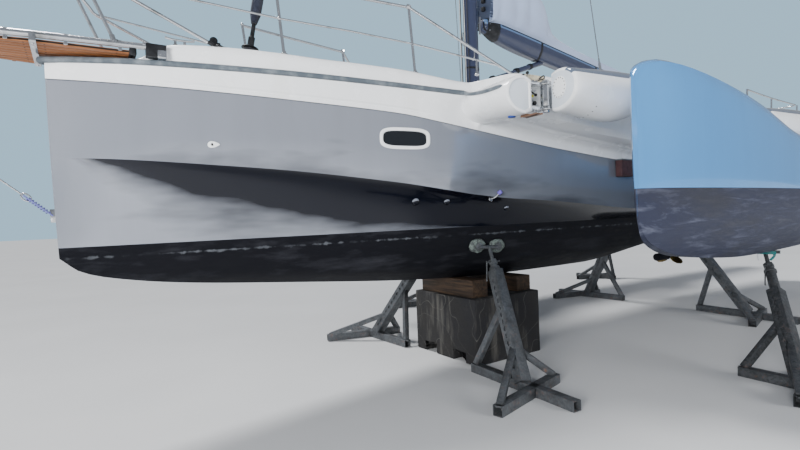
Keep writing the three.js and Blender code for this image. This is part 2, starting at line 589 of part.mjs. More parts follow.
// Standing rigging: furled jib on its stay, and the two shrouds.
const STAY = { foot: 1560, hounds: 16200 };
function furledJib() {
  const foot = at(STAY.foot, 0, deckTop(STAY.foot, 0) + 2), head = at(MAST.station - 125, 0, STAY.hounds);
  const along = (t, r) => [foot.map((v, i) => v + (head[i] - v) * t), r];
  const parts = [along(0, 18), along(0.004, 18), along(0.004, 75), along(0.014, 75), along(0.014, 30),
    along(0.03, 52), along(0.3, 66), along(0.8, 40), along(0.9, 14), along(1, 12)];
  return loft(parts.map(([p, r], k) => {
    const dir = new THREE.Vector3(head[0] - foot[0], 0, head[2] - foot[2]).normalize();
    const side = new THREE.Vector3(0, 1, 0), fore = side.clone().cross(dir);
    const lift = k % 2 && parts[k - 1][0] === p ? 0.5 : 0;
    return Array.from({ length: 12 }, (_, i) => {
      const a = 2 * Math.PI * i / 12;
      const q = new THREE.Vector3(...p).addScaledVector(dir, lift + k * 0.01);
      return q.addScaledVector(side, r * Math.cos(a)).addScaledVector(fore, r * Math.sin(a)).toArray();
    });
  }));
}
place('furled_jib', cut(furledJib(), deckFilled.translate([0, 0, GAP])), COLOR.carbon, 0.9);
for (const [name, side] of SIDES) {
  const low = at(5150, side * 1180, deckTop(5150, 1180) - 5);
  const high = at(MAST.station + 40, side * (MAST.width / 2 + 12), STAY.hounds - 300);
  const tips = SPREADERS.map((r) => at(MAST.station + r.aft, side * (r.out + 12), r.z));
  const wire = cut(bar([low, ...tips, high], 7, 6), deckFilled.translate([0, 0, GAP]));
  place(`shroud_${name}`, wire, COLOR.steel, 0.3, 1);
}

// Folding beams. Each is drawn as it lies abeam, then turned aft by the fold angle about its pin.
const BEAM = rows(
  ['s', 'aft', 'fore', 'low', 'high'],
  [15, -70, 430, 2545, 2920],
  [600, -80, 350, 2460, 2930],
  [1200, -115, 190, 2605, 2925],
  [1800, -155, 150, 2560, 2850],
  [2220, -164, 150, 2470, 2700],
  [2400, -165, 150, 2470, 2700],
);
const BOSS = { radius: 165, low: 2470, high: 2700, foot: 2120 };
const EYE = { low: 2615, high: 2805, plate: 26 };
function foldTurn(beam, side) {
  const [px, py] = pinAt(beam, side);
  return new THREE.Matrix4().makeTranslation(px, py, 0)
    .multiply(new THREE.Matrix4().makeRotationZ(side * rad(FOLD_ANGLE)));
}
function beamSolid(beam, side) {
  const turn = foldTurn(beam, side);
  const put = (u, v, z) => new THREE.Vector3(v, side * u, z).applyMatrix4(turn).toArray();
  const ring = (r) => {
    const mid = (r.low + r.high) / 2, half = (r.high - r.low) / 2, chord = r.fore - r.aft;
    return Array.from({ length: 12 }, (_, k) => {
      const a = 2 * Math.PI * k / 12;
      const v = r.aft + chord * (0.45 + 0.55 * Math.cos(a) * (Math.cos(a) > 0 ? 1 : 0.82));
      return put(r.s, v, mid + half * Math.sin(a));
    });
  };
  const lookBeam = (name, s) => look(BEAM, name, s);
  const section = (s) => ({
    s, aft: lookBeam('aft', s), fore: lookBeam('fore', s), low: lookBeam('low', s), high: lookBeam('high', s),
  });
  const spar = loft([15, 400, 800, 1200, 1500, 1800, 2220, BEAM_LENGTH].map((s) => ring(section(s))));
  const tip = new THREE.Vector3(...put(BEAM_LENGTH, 0, 0));
  const pin = new THREE.Vector3(...put(0, 0, 0));
  const boss = post(tip.x, tip.y, BOSS.low, BOSS.high, BOSS.radius, 16);
  const arm = loft([0, 150].map((u) => [
    put(u, -44, EYE.low), put(u, 44, EYE.low), put(u, 44, EYE.high), put(u, -44, EYE.high)]));
  const eye = post(pin.x, pin.y, EYE.low, EYE.high, 50, 14);
  const tipHole = post(tip.x, tip.y, 2300, 3100, beam === 'front' ? PIN.hole : PIN.hole + 14, 14);
  const pinHole = post(pin.x, pin.y, 2300, 3100, PIN.hole, 14);
  const body = cut(join(spar, boss), post(pin.x, pin.y, 2300, 3100, PIN.clear, 14));
  return cut(join(body, arm, eye), tipHole, pinHole);
}
function hinge(beam, side) {
  const [px, py] = pinAt(beam, side);
  const plate = (z) => {
    const disc = post(px, py, z, z + EYE.plate, 58, 14);
    return join(disc, box(px, px + PIN.arm, py - side * 10, py - side * 120, z, z + EYE.plate));
  };
  const low = EYE.low - 8 - EYE.plate, high = EYE.high + 8;
  const fitting = join(post(px, py, low, high + EYE.plate, PIN.radius, 12), plate(low), plate(high));
  return cut(fitting, stub(beam, side, GAP), hullClear);
}
for (const [name, side] of SIDES) {
  for (const beam of BEAMS) {
    place(`${beam}_beam_${name}`, beamSolid(beam, side), COLOR.white, 0.3);
    place(`${beam}_hinge_${name}`, hinge(beam, side), COLOR.steel, 0.3, 1);
  }
}

// Floats. Half breadth, deck edge, deck crown and keel along each, from its stem.
const FLOAT_LINES = rows(
  ['s', 'half', 'deckZ', 'crown', 'keelZ'],
  [0, 22, 2680, 18, 1560],
  [60, 70, 2752, 30, 1405],
  [200, 135, 2801, 40, 1305],
  [500, 212, 2776, 45, 1215],
  [1000, 290, 2680, 45, 1160],
  [1600, 342, 2535, 40, 1128],
  [2250, 378, 2325, 40, 1135],
  [2900, 395, 2240, 42, 1152],
  [4000, 415, 2215, 45, 1190],
  [6300, 400, 2240, 45, 1320],
  [8300, 340, 2270, 40, 1500],
  [10200, 250, 2300, 30, 1760],
);
const FLOAT_STATIONS = [
  0, 60, 200, 350, 500, 750, 1000, 1300, 1600, 1900, 2250, 2550, 2900, 4000, 5200, 6300, 7300, 8300, 9300, FLOAT.length,
];
const tipPoint = (beam, side) => [
  X(BEAM_STATIONS[beam] + BEAM_LENGTH * Math.sin(rad(FOLD_ANGLE))),
  side * (PIN.y + BEAM_LENGTH * Math.cos(rad(FOLD_ANGLE))),
];
function floatLoft(side) {
  const get = (n, t) => look(FLOAT_LINES, n, t);
  return loft(FLOAT_STATIONS.map((t) => {
    const b = get('half', t), top = get('deckZ', t), low = get('keelZ', t), rise = top - low;
    const half = [
      [b * 0.28, low],
      [b * 0.62, low + rise * 0.1],
      [b * 0.88, low + rise * 0.28],
      [b * 0.98, low + rise * 0.5],
      [b, low + rise * 0.75],
      [b * 0.96, top - rise * 0.06],
      [b * 0.86, top],
    ];
    const point = (y, z) => at(FLOAT.stem + t, side * (FLOAT.y + y), z);
    return [...half.map(([y, z]) => point(y, z)), point(0, top + get('crown', t)),
      ...half.map(([y, z]) => point(-y, z)).reverse()];
  }));
}
function floatSolid(side) {
  const mounts = BEAMS.flatMap((beam) => {
    const [x, y] = tipPoint(beam, side);
    return [post(x, y, BOSS.foot, BOSS.low - 8, 120, 14), post(x, y, BOSS.foot, BOSS.high + 8, PIN.radius, 12),
      post(x, y, BOSS.high + 8, BOSS.high + 26, 60, 12)];
  });
  return join(floatLoft(side), mounts);
}
for (const [name, side] of SIDES) place(`float_${name}`, floatSolid(side), COLOR.topside, 0.2);

// Rudder in a cassette on the transom, with its tiller; centreboard, drive leg and propeller.
const RUDDER = { axis: 12060, blade: 330, foot: 420, top: 2700 };
function rudder() {
  const outline = [[-90, RUDDER.top], [-100, 1500], [-60, 700], [20, RUDDER.foot], [190, RUDDER.foot],
    [240, 900], [RUDDER.blade - 60, 1500], [RUDDER.blade - 90, RUDDER.top]];
  const ring = (y, shrink) => outline.map(([a, z]) => at(RUDDER.axis + 75 + (a - 75) * shrink, y, z));
  const blade = loft([ring(-28, 0.55), ring(-10, 1), ring(10, 1), ring(28, 0.55)]);
  const head = slab(RUDDER.axis - 100, RUDDER.axis + 200, -60, 60, RUDDER.top - 60, RUDDER.top + 350);
  return join(blade, head);
}
place('rudder', rudder(), COLOR.white, 0.35);
const TILLER = [[104, 3000], [700, 3060], [1350, 3110]];
place('tiller', bar(TILLER.map(([fore, z]) => at(RUDDER.axis - fore, 0, z)), 26, 8, 22), COLOR.teak, 0.5);
function transomBracket() {
  const plates = [1900, 2450].map((z) => slab(HULL_LENGTH + GAP, RUDDER.axis - 112, -70, 70, z, z + 60));
  return join(plates, slab(HULL_LENGTH + GAP, HULL_LENGTH + 20, -70, 70, 1900, 2510));
}
place('rudder_bracket', transomBracket(), COLOR.steel, 0.3, 1);
function centreboard() {
  const { pivot, height, radius, length, width } = BOARD;
  const nose = Array.from({ length: 9 }, (_, k) => {
    const a = Math.PI / 2 + Math.PI * k / 8;
    return [pivot + radius * Math.cos(a), height + radius * Math.sin(a)];
  });
  const outline = [...nose, [pivot + length - 160, height - 190], [pivot + length, height - 60],
    [pivot + length, height + 120], [pivot + length - 60, height + radius]];
  const ring = (y) => outline.map(([s, z]) => at(s, y, z));
  return loft([ring(-width / 2), ring(width / 2)]);
}
place('centreboard', centreboard(), COLOR.antifoul, 0.6);
const DRIVE = { station: 8450, z: 800, hub: 62 };
function driveLeg() {
  const leg = loft([[1260, 130, 40], [1000, 120, 36], [DRIVE.z, 105, 34]].map(([z, chord, w]) => Array.from(
    { length: 12 }, (_, k) => at(DRIVE.station - 40 + chord * Math.cos(k * Math.PI / 6),
      w * Math.sin(k * Math.PI / 6), z))));
  const pod = bar([at(DRIVE.station - 230, 0, DRIVE.z), at(DRIVE.station - 160, 0, DRIVE.z),
    at(DRIVE.station + 100, 0, DRIVE.z)], DRIVE.hub, 14);
  return cut(join(leg, pod), hullClear);
}
place('drive_leg', driveLeg(), COLOR.antifoul, 0.5);
function propeller() {
  const hub = bar([at(DRIVE.station + 108, 0, DRIVE.z), at(DRIVE.station + 225, 0, DRIVE.z),
    at(DRIVE.station + 300, 0, DRIVE.z)], 50, 14);
  const blades = [0, 1, 2].map((k) => {
    const turn = new THREE.Matrix4().makeTranslation(...at(DRIVE.station + 175, 0, DRIVE.z))
      .multiply(new THREE.Matrix4().makeRotationX(k * 2 * Math.PI / 3));
    const rings = [[30, 34, 22], [110, 62, 10], [190, 60, 7], [235, 26, 4]].map(([r, w, t]) => Array.from(
      { length: 8 }, (_, i) => {
        const a = i * Math.PI / 4, pitch = rad(62) - r * 0.0025;
        const u = w * Math.cos(a), v = t * Math.sin(a);
        return new THREE.Vector3(u * Math.cos(pitch) - v * Math.sin(pitch),
          u * Math.sin(pitch) + v * Math.cos(pitch), r).applyMatrix4(turn).toArray();
      }));
    return loft(rings);
  });
  return join(hub, blades);
}
place('propeller', propeller(), COLOR.bronze, 0.35, 1);

// Deck gear: two winches on the coachroof.
const WINCH = { station: 7500, y: 480, z: 3390 };
for (const [name, side] of SIDES) {
  const drum = (low, high, radius, topRadius) => post(
    X(WINCH.station), side * WINCH.y, WINCH.z + low, WINCH.z + high, radius, 18, topRadius);
  const winch = join(drum(0, 70, 88), drum(60, 160, 62, 70), drum(155, 185, 82));
  place(`winch_${name}`, cut(winch, roofOuter.translate([0, 0, GAP])), COLOR.steel, 0.2, 1);
}

// Supports ashore: concrete block, two timbers, and jack stands under the hull and both floats.
const blockX = BLOCK.length / 2, blockY = BLOCK.width / 2;
const forkSlots = [-260, 260].map((y) => box(-blockX - 1, blockX + 1, y - 100, y + 100, -1, 105));
const block = box(-blockX, blockX, -blockY, blockY, 0, BLOCK.height);
place('keel_block', cut(block, forkSlots), COLOR.concrete, 0.95);
for (const [name, s] of [['fore', BLOCK_STATION - 340], ['aft', BLOCK_STATION + 340]]) {
  const top = Math.min(line('keelZ', s - 110), line('keelZ', s + 110)) - GAP - 0.6;
  const timber = slab(s - 110, s + 110, -470, 470, BLOCK.height + GAP, top);
  place(`keel_timber_${name}`, timber, COLOR.timber, 0.9);
}

// A jack stand leans its post from a cross of square tubes towards what it holds. The base ends are
// offsets from the post's foot along the boat and away from its middle.
const STAND = { bar: 45, post: 47, brace: 24, inner: 36, screw: 20, base: 92, lobe: 108, lobeDepth: 84 };

function padAgainst(body, station, y, z, side) {
  const { vertProperties, triVerts } = body.getMesh();
  const g = new THREE.BufferGeometry();
  g.setAttribute('position', new THREE.BufferAttribute(new Float32Array(vertProperties), 3));
  g.setIndex(new THREE.BufferAttribute(new Uint32Array(triVerts), 1));
  const mesh = new THREE.Mesh(g, new THREE.MeshBasicMaterial({ side: THREE.DoubleSide }));
  const from = new THREE.Vector3(...at(station, side * y, z));
  const aim = new THREE.Vector3(0, -side * 0.62, 0.78).normalize();
  const hit = new THREE.Raycaster(from, aim).intersectObject(mesh)[0];
  const normal = hit.face.normal.clone();
  if (normal.dot(aim) > 0) normal.negate();
  return (away) => hit.point.clone().addScaledVector(normal, away);
}

function openTube(a, b, half) {
  const from = new THREE.Vector3(...a), to = new THREE.Vector3(...b);
  const along = to.clone().sub(from).normalize();
  const hollow = [[from, 1], [to, -1]].map(([end, sign]) => {
    const step = (by) => end.clone().addScaledVector(along, by * sign).toArray();
    return square(step(-2), step(60), half - 7);
  });
  return cut(square(a, b, half), hollow);
}

// The base, the leaning post up to its head, and the braces, each a fraction of the way up the post.
// The post stands on the cross bar, this much inboard of where the bars cross.
function standFrame(foot, head, side, baseBars, braces, postIn) {
  const [s, y] = foot;
  const spot = ([ds, dy], z) => at(s + ds, side * (y + dy), z);
  const low = new THREE.Vector3(...at(s, side * (y - postIn), STAND.base));
  const reach = low.distanceTo(head);
  const up = (t) => low.clone().lerp(head, t).toArray();
  const bars = baseBars.map(([a, b]) => openTube(spot(a, STAND.bar), spot(b, STAND.bar), STAND.bar));
  const legs = braces.map(([end, t]) => square(spot(end, STAND.base - 12), up(t), STAND.brace));
  const collar = 60 / reach;
  const handles = [-1, 1].map((k) => {
    const [x, hy, z] = up(0.84);
    return bar([[x, hy, z], [x + k * 95, hy, z + 8]], 9, 6);
  });
  const post = square(up(-0.02), up(0.66), STAND.post);
  const postHead = bar([up(0.66 - collar), up(0.68)], 62, 12);
  const inner = bar([up(0.6), up(0.86)], STAND.inner, 12);
  const nut = bar([up(0.82), up(0.86)], 48, 10);
  const screw = bar([up(0.8), up(1)], STAND.screw, 8);
  return join(bars, legs, post, postHead, inner, nut, handles, screw);
}

// Under the hull the head is a yoke with two rubber lobes.
const HULL_BASE = [[[-610, 140], [390, -100]], [[30, -850], [-40, 470]]];
const HULL_BRACES = [[[30, -815], 0.53], [[-575, 132], 0.22], [[355, -92], 0.22]];
const LOBE_OFFSET = 138;
function hullStand(row, side) {
  const pad = (ds) => padAgainst(hullLoft, row.padS + ds, row.padY, row.padZ, side);
  const lobes = [-LOBE_OFFSET, LOBE_OFFSET].map((ds) => pad(ds));
  const rubber = lobes.map((p) => bar([p(1.2).toArray(), p(38).toArray()], STAND.lobe, 12, STAND.lobeDepth));
  const yoke = square(lobes[0](46).toArray(), lobes[1](46).toArray(), 15);
  const frame = standFrame([row.footS, row.footY], pad(0)(52), side, HULL_BASE, HULL_BRACES, 160);
  return cut(join(frame, rubber, yoke), hullClear);
}
const STANDS = rows(
  ['name', 'padS', 'padY', 'padZ', 'footS', 'footY'],
  ['hull_stand_fore', 3960, 950, 700, 3570, 1470],
  ['hull_stand_aft', 7950, 1000, 750, 8200, 1470],
);
for (const row of STANDS) {
  for (const [name, side] of SIDES) {
    place(`${row.name}_${name}`, hullStand(row, side), COLOR.stand, 0.6, 0.6);
  }
}

// Under a float the head is a flat channel, with a hook at its outboard end.
const FLOAT_BASE = [[[-500, 120], [510, -110]], [[10, -510], [-40, 480]]];
const FLOAT_BRACES = [[[10, -475], 0.42], [[-465, 112], 0.25]];
const CHANNEL = { half: 180, width: 55, thick: 12, flange: 34 };
function floatStand(row, side) {
  const s = FLOAT.stem + row.padT;
  const keels = [-CHANNEL.width, 0, CHANNEL.width].map((d) => look(FLOAT_LINES, 'keelZ', row.padT + d));
  const lowest = Math.min(...keels);
  const top = lowest - 8, y = FLOAT.y;
  const span = [side * (y - CHANNEL.half), side * (y + CHANNEL.half)];
  const plate = slab(s - CHANNEL.width, s + CHANNEL.width, ...span, top - CHANNEL.thick, top);
  const flanges = [-1, 1].map((k) => slab(s + k * CHANNEL.width, s + k * (CHANNEL.width - 9), ...span,
    top - CHANNEL.flange, top - 2));
  const hookEnd = side * (y + CHANNEL.half);
  const hook = bar([[X(s), hookEnd - side * 20, top - 14], [X(s), hookEnd + side * 55, top - 14],
    [X(s), hookEnd + side * 80, top - 40], [X(s), hookEnd + side * 45, top - 105]], 24, 8, 12);
  const head = new THREE.Vector3(...at(s, side * y, top - CHANNEL.thick));
  const frame = standFrame([row.footS, row.footY], head, side, FLOAT_BASE, FLOAT_BRACES, 40);
  return join(frame, plate, flanges, hook);
}
const FLOAT_STANDS = rows(
  ['name', 'padT', 'footS', 'footY'],
  ['float_stand_fore', 2350, 5420, 2850],
  ['float_stand_aft', 7000, 10500, 2780],
);
for (const row of FLOAT_STANDS) {
  for (const [name, side] of SIDES) {
    place(`${row.name}_${name}`, floatStand(row, side), COLOR.stand, 0.6, 0.6);
  }
}

export default yacht;
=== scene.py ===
"""A folding trimaran sailing yacht, folded and propped ashore on a keel block and jack stands."""

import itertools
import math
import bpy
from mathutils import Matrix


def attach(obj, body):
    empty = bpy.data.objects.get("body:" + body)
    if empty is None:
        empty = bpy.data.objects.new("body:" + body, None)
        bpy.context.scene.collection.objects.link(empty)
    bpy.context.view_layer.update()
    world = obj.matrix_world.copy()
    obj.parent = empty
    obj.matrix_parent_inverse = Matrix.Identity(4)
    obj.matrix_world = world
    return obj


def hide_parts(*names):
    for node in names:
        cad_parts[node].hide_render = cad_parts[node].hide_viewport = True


bl_info = {
    "name": "Folding Trimaran Ashore",
    "version": (1, 0, 0),
    "blender": (4, 5, 0),
    "location": "View3D > Sidebar > Trimaran",
    "description": "Dresses a folding trimaran: hull, floats, beams, rig, deck gear and supports",
    "category": "Object",
}

import bmesh
import bpy
from bpy.props import FloatProperty, FloatVectorProperty, PointerProperty
from mathutils import Matrix, Vector

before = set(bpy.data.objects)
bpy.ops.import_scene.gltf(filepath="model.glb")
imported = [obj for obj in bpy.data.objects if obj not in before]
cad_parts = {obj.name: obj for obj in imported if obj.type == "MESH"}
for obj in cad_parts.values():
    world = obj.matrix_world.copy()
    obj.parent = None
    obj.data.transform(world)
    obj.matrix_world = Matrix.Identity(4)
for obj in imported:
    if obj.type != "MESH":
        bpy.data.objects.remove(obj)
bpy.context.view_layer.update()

# Driving places, in metres. A station is a distance aft of the main hull's stem, and X is forward.
BLOCK_STATION = 4.2
HULL_LENGTH = 11.9
WATERLINE = 1.505
BEAM_STATIONS = {"front": 3.905, "aft": 7.95}
PIN_Y = 1.415
FOLD = math.radians(74)
FLOAT_STEM = 3.95
FLOAT_Y = 2.25
MAST_STATION = 4.29
# Each side's name and its sign across the boat.
SIDES = (("port", 1), ("starboard", -1))
BEAMS = ("front", "aft")


UP = Vector((0, 0, 1))
PORT = Vector((0, 1, 0))


def at(station, y, z):
    return Vector((BLOCK_STATION - station, y, z))


def table(names, *rows):
    """Rows of numbers under named columns; s is a station or a distance along a spar, and may be a height."""
    return [dict(zip(names.split(), row)) for row in rows]


def look(rows, name, station):
    """A column at a station, on the same smooth curve through the rows as the CAD's."""
    last = len(rows) - 1
    k = next((i for i in range(last) if station <= rows[i + 1]["s"]), last - 1)
    a, b = rows[k], rows[k + 1]
    before, after = rows[max(k - 1, 0)], rows[min(k + 2, last)]
    width = b["s"] - a["s"]
    t = min(max((station - a["s"]) / width, 0), 1)
    rise = b[name] - a[name]

    def slope(p, q):
        return (q[name] - p[name]) / (q["s"] - p["s"]) * width

    def limit(m):
        return 0 if m * rise <= 0 else math.copysign(min(abs(m), 3 * abs(rise)), m)

    m0 = limit(rise if k == 0 else slope(before, b))
    m1 = limit(rise if k == last - 1 else slope(a, after))
    t2, t3 = t * t, t**3
    return (
        (2 * t3 - 3 * t2 + 1) * a[name]
        + (t3 - 2 * t2 + t) * m0
        + (3 * t2 - 2 * t3) * b[name]
        + (t3 - t2) * m1
    )


def lerp(a, b, t):
    return a + (b - a) * t


def spread(low, high, count):
    """Evenly spaced values, both ends included."""
    return [lerp(low, high, i / (count - 1)) for i in range(count)]


# Meshes


def make(name, verts, faces, spans=None):
    """A new object from points and faces, with a material index for each face if given."""
    mesh = bpy.data.meshes.new(name)
    mesh.from_pydata([tuple(v) for v in verts], [], faces)
    if spans:
        for polygon, index in zip(mesh.polygons, spans):
            polygon.material_index = index
    obj = bpy.data.objects.new(name, mesh)
    bpy.context.scene.collection.objects.link(obj)
    return obj


def soften(obj, angle=32, merge=1e-5, outward=True):
    """Merges doubles, points the faces outward and shades smooth up to an angle."""
    bm = bmesh.new()
    bm.from_mesh(obj.data)
    if merge:
        bmesh.ops.remove_doubles(bm, verts=bm.verts, dist=merge)
        bmesh.ops.dissolve_degenerate(bm, edges=bm.edges, dist=merge)
    if outward:
        bmesh.ops.recalc_face_normals(bm, faces=bm.faces)
    limit = math.radians(angle)
    for face in bm.faces:
        face.smooth = True
    for edge in bm.edges:
        edge.smooth = len(edge.link_faces) == 2 and edge.calc_face_angle(0) < limit
    bm.to_mesh(obj.data)
    bm.free()
    return obj


def around(count, start=0.0):
    """Evenly spaced angles round a full turn."""
    return [start + 2 * math.pi * k / count for k in range(count)]


def loft(name, rings, spans=None, caps=(0, 0), angle=32):
    """A closed surface through rings of points. spans and caps say which finish strips and ends have."""
    count = len(rings[0])
    faces, indices = [], []
    for start in range(0, (len(rings) - 1) * count, count):
        for i in range(count):
            a, b = start + i, start + (i + 1) % count
            faces.append((a, b, b + count, a + count))
            indices.append(spans[i] if spans else 0)
    last = (len(rings) - 1) * count
    faces.append(list(range(count))[::-1])
    faces.append(list(range(last, last + count)))
    indices += caps
    obj = make(name, [p for ring in rings for p in ring], faces, indices)
    return soften(obj, angle)


def path_rings(points, radii, sides, spin=0.0, flat=1.0):
    """Circles square to a line of points, turned as little as possible from one to the next."""
    p = [Vector(q) for q in points]
    radii = radii if hasattr(radii, "__len__") else [radii] * len(p)
    along = (p[1] - p[0]).normalized()
    guide = UP if abs(along.z) < 0.9 else Vector((1, 0, 0))
    side = along.cross(guide).normalized()
    rings = []
    for i, q in enumerate(p):
        before, after = p[max(i - 1, 0)], p[min(i + 1, len(p) - 1)]
        along = (after - before).normalized()
        side = (side - along * side.dot(along)).normalized()
        up = side.cross(along)
        bend = 1.0
        if 0 < i < len(p) - 1:
            bend = max(math.cos((q - before).angle(after - q) / 2), 0.5)
        turn = around(sides, spin)
        rings.append([q + (side * math.cos(a) + up * math.sin(a) * flat) * radii[i] / bend for a in turn])
    return rings


def tube(name, points, radii, sides=12, spin=0.0, flat=1.0, angle=40):
    return loft(name, path_rings(points, radii, sides, spin, flat), angle=angle)


def curve_points(points, steps=6):
    """Points on a Catmull-Rom curve through the given ones."""
    p = [Vector(q) for q in points]
    out = []
    for i in range(len(p) - 1):
        p0, p1, p2, p3 = p[max(i - 1, 0)], p[i], p[i + 1], p[min(i + 2, len(p) - 1)]
        for k in range(steps):
            t = k / steps
            a = p1 * 2 + (p2 - p0) * t
            b = (p0 * 2 - p1 * 5 + p2 * 4 - p3) * t * t
            c = (p1 * 3 - p0 - p2 * 3 + p3) * t**3
            out.append((a + b + c) * 0.5)
    return out + [p[-1]]


def box(name, low, high):
    verts = list(itertools.product(*zip(low, high)))
    faces = [(0, 1, 3, 2), (4, 6, 7, 5), (0, 4, 5, 1), (2, 3, 7, 6), (0, 2, 6, 4), (1, 5, 7, 3)]
    return soften(make(name, verts, faces))


def slab(name, s0, s1, y0, y1, z0, z1):
    """A block between two stations."""
    return box(name, at(s1, min(y0, y1), z0), at(s0, max(y0, y1), z1))


def turned(name, centre, axis, profile, sides=32, angle=32):
    """A lathe shape: profile is (distance along the axis, radius) pairs."""
    axis = Vector(axis).normalized()
    guide = UP if abs(axis.z) < 0.9 else Vector((1, 0, 0))
    side = axis.cross(guide).normalized()
    up = side.cross(axis)
    rings = []
    for along, radius in profile:
        middle = Vector(centre) + axis * along
        rings.append([middle + (side * math.cos(a) + up * math.sin(a)) * radius for a in around(sides)])
    return loft(name, rings, angle=angle)


def settle(obj):
    """Puts what the modifiers make into the mesh, and takes the modifiers off."""
    bpy.context.view_layer.update()
    graph = bpy.context.evaluated_depsgraph_get()
    mesh = bpy.data.meshes.new_from_object(obj.evaluated_get(graph))
    obj.modifiers.clear()
    obj.data = mesh
    return obj


def carve(obj, *tools, operation="DIFFERENCE"):
    """Cuts or joins with other objects, which are used up."""
    for tool in tools:
        step = obj.modifiers.new("carve", "BOOLEAN")
        step.operation = operation
        step.solver = "EXACT"
        step.object = tool
        if operation == "DIFFERENCE":
            step.material_mode = "TRANSFER"
        settle(obj)
        bpy.data.objects.remove(tool)
    return obj


def bevel(obj, width, segments=2, angle=30):
    step = obj.modifiers.new("bevel", "BEVEL")
    step.width = width
    step.segments = segments
    step.limit_method = "ANGLE"
    step.angle_limit = math.radians(angle)
    return soften(settle(obj), 40, merge=0)


def merged(parts):
    """One object from several, keeping each one's materials."""
    verts, faces, indices, smooth, sharp, slots = [], [], [], [], set(), []
    for part in parts:
        offset = len(verts)
        mesh = part.data
        place = part.matrix_world
        verts += [place @ v.co for v in mesh.vertices]
        own = list(mesh.materials) or [None]
        where = []
        for material in own:
            if material not in slots:
                slots.append(material)
            where.append(slots.index(material))
        for polygon in mesh.polygons:
            faces.append([offset + v for v in polygon.vertices])
            indices.append(where[min(polygon.material_index, len(where) - 1)])
            smooth.append(polygon.use_smooth)
        for edge in mesh.edges:
            if edge.use_edge_sharp:
                sharp.add(frozenset(offset + v for v in edge.vertices))
        bpy.data.objects.remove(part)
    obj = make("merged", verts, faces, indices)
    for material in slots:
        obj.data.materials.append(material)
    for polygon, value in zip(obj.data.polygons, smooth):
        polygon.use_smooth = value
    for edge in obj.data.edges:
        if frozenset(edge.vertices) in sharp:
            edge.use_edge_sharp = True
    return obj


def paint(obj, *finishes):
    """Gives a piece its finishes by name, keeping which face has which."""
    mesh = obj.data
    spans = [0] * len(mesh.polygons)
    mesh.polygons.foreach_get("material_index", spans)
    mesh.materials.clear()
    for finish in finishes:
        mesh.materials.append(coat(finish))
    mesh.polygons.foreach_set("material_index", [min(k, len(finishes) - 1) for k in spans])
    return obj


def paint_bare(parts, finish):
    """Gives a finish to each part that has none yet, also where a cut left an empty slot for one."""
    for part in parts:
        if not any(part.data.materials):
            paint(part, finish)


def dressed(node, finish, round_by, segments=2, angle=35):
    """A merged copy of a CAD node with its edges rounded, to stand for it."""
    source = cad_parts[node]
    obj = bpy.data.objects.new(node + "_finished", source.data.copy())
    bpy.context.scene.collection.objects.link(obj)
    bm = bmesh.new()
    bm.from_mesh(obj.data)
    bmesh.ops.remove_doubles(bm, verts=bm.verts, dist=2e-5)
    bmesh.ops.dissolve_limit(bm, angle_limit=math.radians(1), verts=bm.verts, edges=bm.edges)
    bm.to_mesh(obj.data)
    bm.free()
    bevel(obj, round_by, segments, angle)
    soften(obj, angle, merge=0, outward=False)
    return paint(obj, finish)


def keep(obj, name, body, slot, *nodes):
    """Names a piece, or several as one, and says what it rides on and what it stands for. The slot argument
    is not used.
    """
    if isinstance(obj, list):
        obj = merged(obj)
    obj.name = name
    obj.data.name = name
    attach(obj, body)
    if nodes:
        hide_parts(*nodes)
    return obj


def studs(name, places, radius, height, finish, sides=10, dome=0.35):
    """Small round heads on a surface, placed and turned by a node tree. places are (point, normal)."""
    obj = make(name, [p for p, _ in places], [])
    toward = obj.data.attributes.new("toward", "FLOAT_VECTOR", "POINT")
    toward.data.foreach_set("vector", [c for _, n in places for c in Vector(n).normalized()])
    step = obj.modifiers.new("heads", "NODES")
    step.node_group, inputs = stud_nodes(name, finish, sides)
    for key, value in zip(inputs, (radius, height, dome)):
        step[key] = value
    settle(obj)
    soften(obj, 50)
    return paint(obj, finish)


